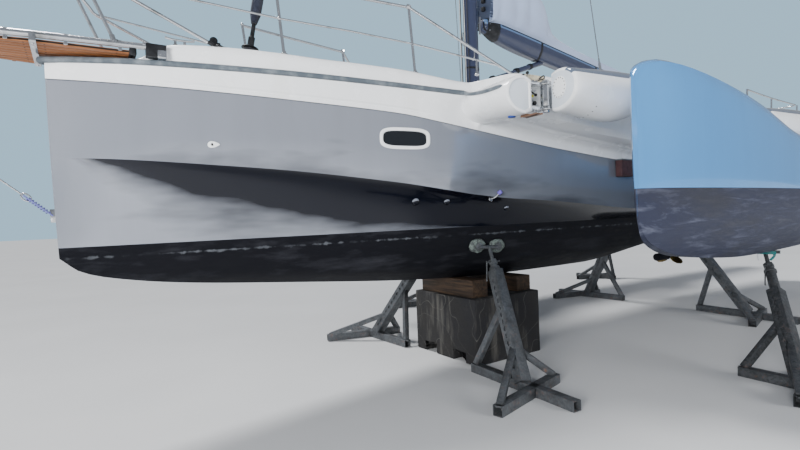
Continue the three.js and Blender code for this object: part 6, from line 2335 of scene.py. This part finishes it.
def stand_screw(up, post_top, reach, head):
    """The sleeve over a short post, then the collar, inner tube, nut with its handles, screw and bolt."""
    parts = []
    top = STAND["top"]
    if post_top < top:
        parts.append(tube("sleeve", [up(post_top - 0.05), up(top + 0.002)], 0.046, 28))
    points = [up(top), up(top + 0.004), up(top + 0.02), up(top + 0.024)]
    parts.append(tube("collar", points, [0.05, 0.056, 0.056, 0.05], 28))
    parts.append(tube("inner", [up(top - 0.05), up(top + 0.08)], STAND["inner"], 24))
    nut_at = top + 0.05
    nut = [up(nut_at), up(nut_at + 0.005), up(nut_at + 0.028), up(nut_at + 0.033)]
    parts.append(tube("nut", nut, [0.044, 0.048, 0.048, 0.044], 6))
    x = up(nut_at + 0.016)
    for k in (-1, 1):
        handle = [x, x + Vector((k * 0.08, 0, 0.007)), x + Vector((k * 0.095, 0, 0.008))]
        parts.append(tube("handle", handle, [0.009, 0.009, 0.011], 12))
    drop = x + Vector((0.09, 0, 0.006))
    parts.append(tube("tommy_bar", [drop, drop - Vector((-0.01, 0, 0.2))], 0.007, 10))
    steps = int(reach * 0.14 / 0.006)
    thread = []
    for k in range(steps + 1):
        t = lerp(0.84, 0.99, k / steps)
        thread.append((up(t), 0.0205 if k % 2 else 0.0175))
    thread.append((head, 0.018))
    parts.append(tube("screw", [p for p, _ in thread], [r for _, r in thread], 16, angle=20))
    bolt = tube("bolt", [up(0.5) - Vector((0.07, 0, 0)), up(0.5) + Vector((0.07, 0, 0))], 0.009, 10)
    parts.append(bolt)
    return parts


def surface_under(obj, s, y, z, side):
    """Where a line going up and inboard meets the hull, and the surface's outward normal there."""
    start = at(s, side * y, z)
    aim = Vector((0, -side * 0.62, 0.78)).normalized()
    hit, place, normal, _ = obj.ray_cast(start, aim)
    if not hit:
        raise RuntimeError("a stand's head finds no hull above it")
    return place, normal


def rubber_pad(place, normal, along):
    """A worn round rubber pad with a lobed edge, dished where it presses on the hull."""
    side = along.cross(normal).normalized()
    along = normal.cross(side)
    rings = []
    count = 36
    for out, size in ((0.0012, 0.9), (0.002, 0.985), (0.008, 1.0), (0.03, 0.97), (0.038, 0.88), (0.04, 0.5)):
        ring = []
        for k in range(count):
            a = 2 * math.pi * k / count
            lobe = 1 + 0.035 * math.cos(5 * a) + 0.02 * math.sin(9 * a)
            ring.append(place + normal * out + along * (0.105 * size * lobe * math.cos(a))
                        + side * (0.08 * size * lobe * math.sin(a)))
        rings.append(ring)
    return paint(loft("pad", rings, angle=50), "rubber")


# Ends of the base's bars, then the foot of each brace with the share of the post where it meets it,
# as distances aft and outward from the middle of the base.
HULL_BASE = (((-0.61, 0.14), (0.39, -0.1)), ((0.03, -0.85), (-0.04, 0.47)))
HULL_BRACES = (((0.03, -0.815), 0.53), ((-0.575, 0.132), 0.22), ((0.355, -0.092), 0.22))
# Where the search for the hull starts, as station, distance out and height, and where the base stands.
HULL_STANDS = {"fore": (3.96, 0.95, 0.7, 3.57, 1.47), "aft": (7.95, 1.0, 0.75, 8.2, 1.47)}


def build_hull_stands():
    hull = bpy.data.objects["hull_shell"]
    for which, (s, y, z, foot_s, foot_y) in HULL_STANDS.items():
        for name, side in SIDES:
            spots = [surface_under(hull, s + d, y, z, side) for d in (-0.138, 0.0, 0.138)]
            along = (spots[2][0] - spots[0][0]).normalized()
            head = spots[1][0] + spots[1][1] * 0.052
            parts = stand_frame((foot_s, foot_y), head, side, HULL_BASE, HULL_BRACES, 0.16)
            a, b = spots[0][0] + spots[0][1] * 0.046, spots[2][0] + spots[2][1] * 0.046
            yoke = [a, a.lerp(b, 0.3) - Vector((0, 0, 0.004)), a.lerp(b, 0.7) - Vector((0, 0, 0.004)), b]
            parts.append(tube("yoke", yoke, [0.018, 0.022, 0.022, 0.018], 14))
            for place, normal in (spots[0], spots[2]):
                cup = [(0, 0.045), (0.012, 0.045), (0.02, 0.02)]
                parts.append(turned("cup", place + normal * 0.036, normal, cup, 24))
            paint_bare(parts, "stand")
            for place, normal in (spots[0], spots[2]):
                parts.append(rubber_pad(place, normal, along))
            node = f"hull_stand_{which}_{name}"
            keep(parts, node + "_frame", "hull", "stand", node)


FLOAT_BASE = (((-0.5, 0.12), (0.51, -0.11)), ((0.01, -0.51), (-0.04, 0.48)))
FLOAT_BRACES = (((0.01, -0.475), 0.42), ((-0.465, 0.112), 0.25))
# Distance aft of the float's stem, and the base's station and distance out.
FLOAT_STANDS = {"fore": (2.35, 5.42, 2.85), "aft": (7.0, 10.5, 2.78)}


# The section of the channel that a float rests in, as distance along the boat and height.
CHANNEL = ((-0.055, 0), (0.055, 0), (0.055, -0.034), (0.047, -0.034), (0.047, -0.01), (-0.047, -0.01),
           (-0.047, -0.034), (-0.055, -0.034))


def build_float_stands():
    for which, (t, foot_s, foot_y) in FLOAT_STANDS.items():
        s = FLOAT_STEM + t
        top = min(look(FLOAT_LINES, "keel_z", t + d) for d in (-0.055, 0, 0.055)) - 0.008
        for name, side in SIDES:
            head = at(s, side * FLOAT_Y, top - 0.012)
            foot, slots = (foot_s, foot_y), which == "fore"
            parts = stand_frame(foot, head, side, FLOAT_BASE, FLOAT_BRACES, 0.04, slots, 0.65)
            low, high = side * (FLOAT_Y - 0.16), side * (FLOAT_Y + 0.12)
            channel = loft("channel", [[at(s - a, y, top + z) for a, z in CHANNEL] for y in (low, high)])
            parts.append(bevel(channel, 0.003, 2, 40))
            paint_bare(parts, "dark_stand")
            run = [at(s, high - side * 0.12, top - 0.016), at(s, high - side * 0.07, top - 0.018),
                   at(s, high - side * 0.04, top - 0.03), at(s, high - side * 0.035, top - 0.055),
                   at(s, high - side * 0.07, top - 0.1)]
            hook = tube("hook", curve_points(run, 5), 0.018, 14, flat=0.6)
            edge = []
            for k in (-1, 1):
                middle = s + k * 0.0555
                strip = slab("edge", middle - 0.002, middle + 0.002, low, high, top - 0.035, top + 0.0005)
                edge.append(paint(bevel(strip, 0.001, 1), "teal"))
            parts += [paint(hook, "teal"), *edge]
            node = f"float_stand_{which}_{name}"
            keep(parts, node + "_frame", "hull", "stand", node)


# Station, height and radius of the round plugs under the knuckle.
BUNGS = ((2.99, 1.78, 0.045), (3.33, 1.77, 0.04), (4.1, 1.69, 0.035))


def build_side_fittings(name, side):
    """A drop-shaped vent near the bow and the round plugs under the knuckle."""
    s, z = 1.14, 2.28
    shape = []
    for a in around(28):
        wide = 0.024 * (1 - 0.45 * math.cos(a))
        shape.append((s + 0.045 * math.cos(a), z + wide * math.sin(a)))
    rings = [[on_side(ps, pz, out, side) for ps, pz in shape] for out in (-0.002, 0.009)]
    inner = [on_side(lerp(s, ps, 0.72), lerp(z, pz, 0.72), 0.013, side) for ps, pz in shape]
    parts = [paint(loft("vent", rings + [inner], angle=50), "gelcoat")]
    hole_at = on_side(s - 0.012, z, 0.0135, side)
    hole = turned("hole", hole_at, (0, side, 0), [(0, 0.011), (0.0015, 0.011)], 20)
    parts.append(paint(hole, "black"))
    for s, z, wide in BUNGS:
        low, high = cove_y(s, z - 0.03), cove_y(s, z + 0.03)
        normal = Vector((0, side * 0.06, -(high - low))).normalized()
        dome = [(0, wide * 0.9), (0.008, wide * 0.88), (0.018, wide * 0.7), (0.024, wide * 0.3)]
        foot = at(s, side * cove_y(s, z), z) - normal * 0.004
        parts.append(paint(turned("bung", foot, normal, dome, 24, 60), "topside"))
    keep(parts, f"side_fittings_{name}", "hull", "topside")


def build_side_eye(name, side):
    """A bent steel eye with a coloured cap, below the knuckle."""
    base = at(3.8, side * (cove_y(3.8, 1.79) - 0.004), 1.79)
    out = Vector((-0.25, side * 0.9, 0.2)).normalized()
    parts = [turned("base", base, out, [(0, 0.03), (0.008, 0.03), (0.012, 0.02)], 24)]
    arm = curve_points([base, base + out * 0.05, base + out * 0.09 + Vector((-0.03, 0, 0.04))], 5)
    parts.append(tube("arm", arm, 0.009, 12))
    paint_bare(parts, "steel")
    profile = [(-0.02, 0.012), (-0.014, 0.02), (0.018, 0.022), (0.026, 0.014)]
    cap = turned("cap", arm[-1], Vector((-0.4, side * 0.5, 0.5)), profile, 22, 60)
    parts.append(paint(cap, "purple"))
    keep(parts, f"side_eye_{name}", "hull", "steel")


def build_buffer(name, side):
    """The block on the hull's side that the folded float lies near."""
    block = slab("buffer", 5.67, 5.95, side * 0.955, side * 1.045, 2.02, 2.22)
    paint(bevel(block, 0.012, 3), "buffer")
    cap = bevel(slab("top", 5.665, 5.955, side * 0.95, side * 1.05, 2.216, 2.232), 0.005)
    keep([block, paint(cap, "trim")], f"float_buffer_{name}", "hull", "trim")


def build_under_stub(name, side):
    """A small plate and a round button under the front stub."""
    plate = round_slab("plate", 3.66, 3.735, side * 1.54, side * 1.3, 2.508, 2.522, 0.02, 0.004)
    foot = slab("foot", 3.675, 3.72, side * 1.31, side * 1.39, 2.518, 2.536)
    parts = [paint(plate, "brown_plate"), paint(foot, "brown_plate")]
    rings = []
    for share, z in ((1.0, 2.537), (1.0, 2.527), (0.82, 2.521)):
        ring = []
        for a in around(24):
            y = side * (1.245 + 0.034 * share * math.sin(a))
            ring.append(at(3.628 + 0.04 * share * math.cos(a), y, z))
        rings.append(ring)
    parts.append(paint(loft("button", rings, angle=50), "blue"))
    keep(parts, f"under_stub_{name}", "hull", "trim")


def build_fittings():
    """Small fittings on both sides of the boat, and on the floats."""
    builders = (build_side_fittings, build_side_eye, build_buffer, build_under_stub)
    builders += (build_hinge_gear, build_float_rails, build_deck_gear)
    for name, side in SIDES:
        for builder in builders:
            builder(name, side)


def ball(name, place, radius, finish):
    """A round knob with a flat on top and bottom."""
    profile = [(radius * math.sin(a), max(radius * math.cos(a), 0.001)) for a in spread(-1.5, 1.5, 9)]
    return paint(turned(name, place, UP, profile, 20, 60), finish)


def hinge_handles(side):
    """The lever, its knobs and the tags in the front hinge's notch."""
    low, high = at(3.665, side * 1.362, 2.795), at(3.83, side * 1.362, 2.728)
    parts = [paint(tube("lever", [low, high], 0.0065, 12), "black")]
    parts += [ball("end", low, 0.013, "black"), ball("end", high, 0.014, "black")]
    stalks = (
        ((3.71, 1.31, 2.87), (3.71, 1.325, 2.905), 0.015, "black"),
        ((3.765, 1.305, 2.84), (3.775, 1.32, 2.94), 0.016, "black"),
        ((3.83, 1.285, 2.66), (3.83, 1.345, 2.655), 0.021, "black"),
        ((3.79, 1.285, 2.725), (3.79, 1.356, 2.715), 0.013, "yellow"),
        ((3.775, 1.285, 2.785), (3.775, 1.358, 2.775), 0.012, "steel"),
        ((3.76, 1.285, 2.6), (3.765, 1.358, 2.59), 0.012, "steel"),
        ((3.84, 1.285, 2.74), (3.825, 1.358, 2.765), 0.011, "steel"),
    )
    for foot, head, radius, finish in stalks:
        a, b = (at(s, side * y, z) for s, y, z in (foot, head))
        parts.append(paint(tube("stalk", [a, b], 0.0055, 12), "steel"))
        parts.append(ball("knob", b, radius, finish))
    for k in range(5):
        z = lerp(2.6, 2.82, k / 4)
        link = bevel(box("link", (-0.009, -0.02, 0), (0.009, 0.02, 0.03)), 0.004)
        for vert in link.data.vertices:
            vert.co = at(3.757, side * 1.342, z - 0.015) + vert.co
        parts.append(paint(link, "steel"))
    return parts


def build_hinge_gear(name, side):
    """Toggles, bolts and a short line at each hinge pin, on the boat's side."""
    for beam in BEAMS:
        x, y = pin_at(beam, side)
        parts = []
        for z in (2.605, 2.815):
            head = turned("head", (x, y, z + (0.024 if z > 2.7 else -0.026)), (0, 0, 1 if z > 2.7 else -1), [
                (0, 0.034), (0.008, 0.036), (0.018, 0.032), (0.022, 0.02)], 32)
            parts.append(paint(head, "steel"))
        for dx, dz in ((0.03, 2.58), (0.075, 2.58), (0.03, 2.85), (0.075, 2.85)):
            nut = turned("nut", (x + dx + 0.04, y - side * 0.045, dz), (0, 0, 1 if dz > 2.7 else -1), [
                (0, 0.011), (0.009, 0.011), (0.011, 0.008)], 6)
            parts.append(paint(nut, "steel"))
        lace = curve_points([(x + 0.06, y - side * 0.02, 2.87), (x + 0.02, y, 2.9),
                             (x - 0.02, y - side * 0.03, 2.885), (x + 0.03, y - side * 0.06, 2.87)], 6)
        parts.append(paint(tube("lace", lace, 0.006, 8), "black_rope"))
        if beam == "front":
            parts += hinge_handles(side)
        keep(parts, f"{beam}_hinge_gear_{name}", "hull", "steel")


FLOAT_RAIL = ((1.3, -0.01), (1.32, 0.035), (1.37, 0.055), (1.62, 0.058), (1.88, 0.055), (1.93, 0.035),
              (1.95, -0.01))
FLOAT_FOOT = [(0, 0.03), (0.007, 0.03), (0.01, 0.024), (0.012, 0.013)]
INSPECTION_HATCH = 4.6


def on_float(t, side, up):
    """A place above the middle of a float's deck, at a distance aft of the float's stem."""
    top = look(FLOAT_LINES, "deck_z", t) + look(FLOAT_LINES, "crown", t)
    return at(FLOAT_STEM + t, side * FLOAT_Y, top + up)


def build_float_rails(name, side):
    run = [on_float(t, side, up) for t, up in FLOAT_RAIL]
    parts = [tube("rail", curve_points(run, 5), 0.011, 14)]
    parts.append(tube("post", [on_float(1.62, side, -0.01), on_float(1.62, side, 0.056)], 0.01, 12))
    for t in (1.3, 1.62, 1.95):
        parts.append(turned("foot", on_float(t, side, -0.004), UP, FLOAT_FOOT, 24))
    paint_bare(parts, "steel")
    hatch = turned("inspection", on_float(INSPECTION_HATCH, side, -0.008), UP, [
        (0, 0.13), (0.012, 0.13), (0.017, 0.122), (0.018, 0.1), (0.015, 0.098), (0.015, 0.04),
        (0.019, 0.03)], 48)
    parts.append(paint(hatch, "gelcoat"))
    keep(parts, f"float_gear_{name}", f"float_{name}", "steel")


def build_deck_gear(name, side):
    """Mooring cleats, and a jib track with its car and sheave."""
    parts = []
    for s, y in ((0.95, 0.24), (4.45, 1.16), (9.0, 0.98), (11.5, 0.7)):
        z = deck_top(s, y)
        horn = [(-0.11, 0.052), (-0.085, 0.046), (-0.04, 0.042), (0.04, 0.042), (0.085, 0.046), (0.11, 0.052)]
        bar_run = [at(s + a, side * y, z + b) for a, b in horn]
        parts.append(tube("horn", curve_points(bar_run, 3), 0.0105, 12, flat=0.8))
        for a in (-0.035, 0.035):
            parts.append(turned("leg", at(s + a, side * y, z - 0.003), UP, [
                (0, 0.018), (0.006, 0.018), (0.012, 0.011), (0.044, 0.009)], 18))
    track = [on_deck(s, side * 0.93, 0.005) for s in spread(4.95, 6.55, 12)]
    parts.append(tube("track", track, 0.012, 8, flat=0.55))
    paint_bare(parts, "steel")
    deck = deck_top(5.66, 0.93)
    car = bevel(slab("car", 5.6, 5.72, side * 0.9, side * 0.96, deck + 0.006, deck + 0.05), 0.01)
    parts.append(paint(car, "black"))
    sheave = turned("sheave", at(5.66, side * 0.905, deck + 0.075), (0, side, 0), [
        (0, 0.03), (0.005, 0.036), (0.025, 0.028), (0.045, 0.036), (0.05, 0.03)], 28)
    parts.append(paint(sheave, "black"))
    screws = [(on_deck(s, side * 0.93, 0.012), UP) for s in spread(5.0, 6.5, 13)]
    parts.append(studs("track_screws", screws, 0.005, 0.0025, "black"))
    keep(parts, f"deck_gear_{name}", "hull", "steel")


def build_bow_gear():
    """The turning block of the furling line."""
    block = turned("block", on_deck(1.19, 0.33, 0.045), (0.2, 1, 0.1), [
        (-0.016, 0.02), (-0.014, 0.032), (-0.006, 0.028), (0.006, 0.028), (0.014, 0.032), (0.016, 0.02)], 28)
    keep(paint(block, "black"), "foredeck_block", "hull", "trim")


# The add-on


class TrimaranColours(bpy.types.PropertyGroup):
    """Colours of the boat and its supports."""


def colour_property(label, words, red, green, blue):
    return FloatVectorProperty(
        name=label, description=words, subtype="COLOR", size=4, min=0, max=1, default=shade(red, green, blue)
    )


COLOUR_PROPERTIES = {
    "topside": ("Topsides", "Gloss paint of the main hull", 141, 146, 156),
    # The floats' colour is their blue paint, made brighter and bluer as a painted reflection of the sky.
    "float_side": ("Float sides", "Gloss paint of the floats", 84, 152, 214),
    "gelcoat": ("Deck", "White deck, beams and coachroof", 237, 239, 241),
    "trim": ("Rubbing strip", "Strip along the sheer", 80, 89, 97),
    "antifoul": ("Bottom paint", "Antifouling of the main hull", 15, 16, 21),
    "float_antifoul": ("Float bottom paint", "Antifouling of the floats", 38, 42, 60),
    "teak": ("Teak", "Bowsprit planks and tiller", 166, 108, 62),
    "carbon": ("Spars", "Lacquered carbon of the mast and boom", 40, 47, 72),
    "cloth": ("Sails", "Sailcloth", 160, 176, 206),
    # The block's very dark colour is partly painted shade.
    "concrete": ("Keel block", "Stained concrete", 36, 36, 38),
    "stand": ("Stands", "Galvanised steel of the jack stands", 98, 102, 106),
}
TrimaranColours.__annotations__ = {key: colour_property(*value) for key, value in COLOUR_PROPERTIES.items()}


class TrimaranStage(bpy.types.PropertyGroup):
    """The floor, the light and the camera."""

    floor_size: FloatProperty(
        name="Floor", description="Half the width of the floor", default=120, min=20, unit="LENGTH"
    )
    key_power: FloatProperty(
        name="Key light", description="Strength of the light from above", default=3.0, min=0
    )
    fill_power: FloatProperty(
        name="Fill light", description="Power of the wide lights at the sides", default=6200, min=0
    )
    sky_power: FloatProperty(name="Sky light", description="Strength of the even light", default=0.36, min=0)
    lens: FloatProperty(name="Lens", description="Focal length on a 36 mm sensor", default=22.05, min=1)


# The photo's view: where the camera stands, and its heading, pitch and roll in degrees.
CAMERA_PLACE = (3.99, 4.49, 1.637)
CAMERA_ANGLES = (33.2, 0.92, 2.29)


def build_stage(settings):
    scene = bpy.context.scene
    size = settings.floor_size
    corners = [(-size, -size, 0), (size, -size, 0), (size, size, 0), (-size, size, 0)]
    floor = make("floor", corners, [(0, 1, 2, 3)])
    paint(floor, "floor")
    world = bpy.data.worlds.new("studio")
    scene.world = world
    world.use_nodes = True
    nodes, links = world.node_tree.nodes, world.node_tree.links
    light = nodes["Background"]
    light.inputs["Color"].default_value = (0.84, 0.9, 1.0, 1)
    light.inputs["Strength"].default_value = settings.sky_power
    seen = nodes.new("ShaderNodeBackground")
    seen.inputs["Color"].default_value = shade(178, 216, 240)
    rays = nodes.new("ShaderNodeLightPath")
    either = nodes.new("ShaderNodeMixShader")
    links.new(rays.outputs["Is Camera Ray"], either.inputs[0])
    links.new(light.outputs[0], either.inputs[1])
    links.new(seen.outputs[0], either.inputs[2])
    links.new(either.outputs[0], nodes["World Output"].inputs["Surface"])
    sun = bpy.data.lights.new("key", "SUN")
    sun.energy = settings.key_power
    sun.angle = math.radians(16)
    lamps = [(sun, (3, -9, 19), (-0.5, 0, 2.2))]
    soft_lights = (
        ("front", (15, 9, 4), (0.5, 0.5, 2.8), 6.0, 0.6),
        ("side", (-7, 17, 6), (-3, 1, 2.6), 8.0, 0.3),
    )
    for label, place, aim, wide, share in soft_lights:
        data = bpy.data.lights.new(label, "AREA")
        data.shape = "DISK"
        data.size = wide
        data.energy = settings.fill_power * share
        lamps.append((data, place, aim))
    for data, place, aim in lamps:
        lamp = bpy.data.objects.new(data.name, data)
        lamp.location = place
        lamp.rotation_euler = (Vector(aim) - Vector(place)).to_track_quat("-Z", "Y").to_euler()
        lamp.visible_glossy = data is sun
        scene.collection.objects.link(lamp)
    data = bpy.data.cameras.new("photo_camera")
    data.sensor_width = 36
    data.lens = settings.lens
    data.clip_end = 400
    camera = bpy.data.objects.new("photo_camera", data)
    scene.collection.objects.link(camera)
    heading, pitch, roll = (math.radians(angle) for angle in CAMERA_ANGLES)
    level = math.cos(pitch)
    look_at = Vector((-math.sin(heading) * level, -math.cos(heading) * level, -math.sin(pitch)))
    right = Vector((-math.cos(heading), math.sin(heading), 0))
    up = right.cross(look_at)
    turned_right = right * math.cos(roll) - up * math.sin(roll)
    turned_up = up * math.cos(roll) + right * math.sin(roll)
    place = Matrix((turned_right, turned_up, -look_at)).transposed().to_4x4()
    camera.matrix_world = Matrix.Translation(CAMERA_PLACE) @ place
    scene.camera = camera


class BuildPiece:
    bl_options = {"REGISTER", "UNDO"}
    steps = ()

    def execute(self, context):
        for step in self.steps:
            step()
        return {"FINISHED"}


class BuildHull(BuildPiece, bpy.types.Operator):
    """Makes the hull, deck moulding, rubbing strip and the fittings on them"""

    bl_idname = "trimaran.hull"
    bl_label = "Hull and deck"
    steps = (build_hull, build_deck, build_strip)


class BuildCoachroof(BuildPiece, bpy.types.Operator):
    """Makes the coachroof, windows, hatches, door and winches"""

    bl_idname = "trimaran.coachroof"
    bl_label = "Coachroof and hatches"
    steps = (build_coachroof, build_hatches, build_winches)


class BuildFloats(BuildPiece, bpy.types.Operator):
    """Makes both floats and the four folding beams"""

    bl_idname = "trimaran.floats"
    bl_label = "Floats and beams"
    steps = (build_floats, build_beams)


class BuildBow(BuildPiece, bpy.types.Operator):
    """Makes the bowsprit, its planks and stay, and all the rails"""

    bl_idname = "trimaran.bow"
    bl_label = "Bowsprit and rails"
    steps = (build_bowsprit, build_rails, build_bow_gear)


class BuildRig(BuildPiece, bpy.types.Operator):
    """Makes the mast, boom, sails and shrouds"""

    bl_idname = "trimaran.rig"
    bl_label = "Rig and sails"
    steps = (build_rig,)


class BuildUnderwater(BuildPiece, bpy.types.Operator):
    """Makes the rudder, tiller, centreboard, drive and propeller"""

    bl_idname = "trimaran.underwater"
    bl_label = "Steering and drive"
    steps = (build_underwater, build_rudder, build_tiller, build_rudder_bracket)


class BuildSupports(BuildPiece, bpy.types.Operator):
    """Makes the keel block, its timbers and the jack stands"""

    bl_idname = "trimaran.supports"
    bl_label = "Supports ashore"
    steps = (build_block, build_hull_stands, build_float_stands)


class BuildFittings(BuildPiece, bpy.types.Operator):
    """Makes the small fittings on the sides, hinges, floats and deck"""

    bl_idname = "trimaran.fittings"
    bl_label = "Fittings"
    steps = (build_fittings,)


class BuildStage(bpy.types.Operator):
    """Makes the floor, the lights and the camera"""

    bl_idname = "trimaran.stage"
    bl_label = "Stage"

    def execute(self, context):
        build_stage(context.scene.trimaran_stage)
        return {"FINISHED"}


OPERATORS = (
    BuildHull,
    BuildCoachroof,
    BuildFloats,
    BuildBow,
    BuildRig,
    BuildUnderwater,
    BuildSupports,
    BuildFittings,
    BuildStage,
)


class TrimaranPanel(bpy.types.Panel):
    """Lists the pieces to build"""

    bl_idname = "VIEW3D_PT_trimaran"
    bl_label = "Folding Trimaran"
    bl_space_type = "VIEW_3D"
    bl_region_type = "UI"
    bl_category = "Trimaran"

    def draw(self, context):
        for operator in OPERATORS:
            self.layout.operator(operator.bl_idname)
        for key in COLOUR_PROPERTIES:
            self.layout.prop(context.scene.trimaran_colours, key)
        for key in TrimaranStage.__annotations__:
            self.layout.prop(context.scene.trimaran_stage, key)


CLASSES = (TrimaranColours, TrimaranStage, *OPERATORS, TrimaranPanel)


def register():
    for item in CLASSES:
        bpy.utils.register_class(item)
    bpy.types.Scene.trimaran_colours = PointerProperty(type=TrimaranColours)
    bpy.types.Scene.trimaran_stage = PointerProperty(type=TrimaranStage)


def unregister():
    del bpy.types.Scene.trimaran_stage
    del bpy.types.Scene.trimaran_colours
    for item in reversed(CLASSES):
        bpy.utils.unregister_class(item)


def main():
    register()
    for operator in OPERATORS:
        group, name = operator.bl_idname.split(".")
        getattr(getattr(bpy.ops, group), name)()


if __name__ == "__main__":
    main()
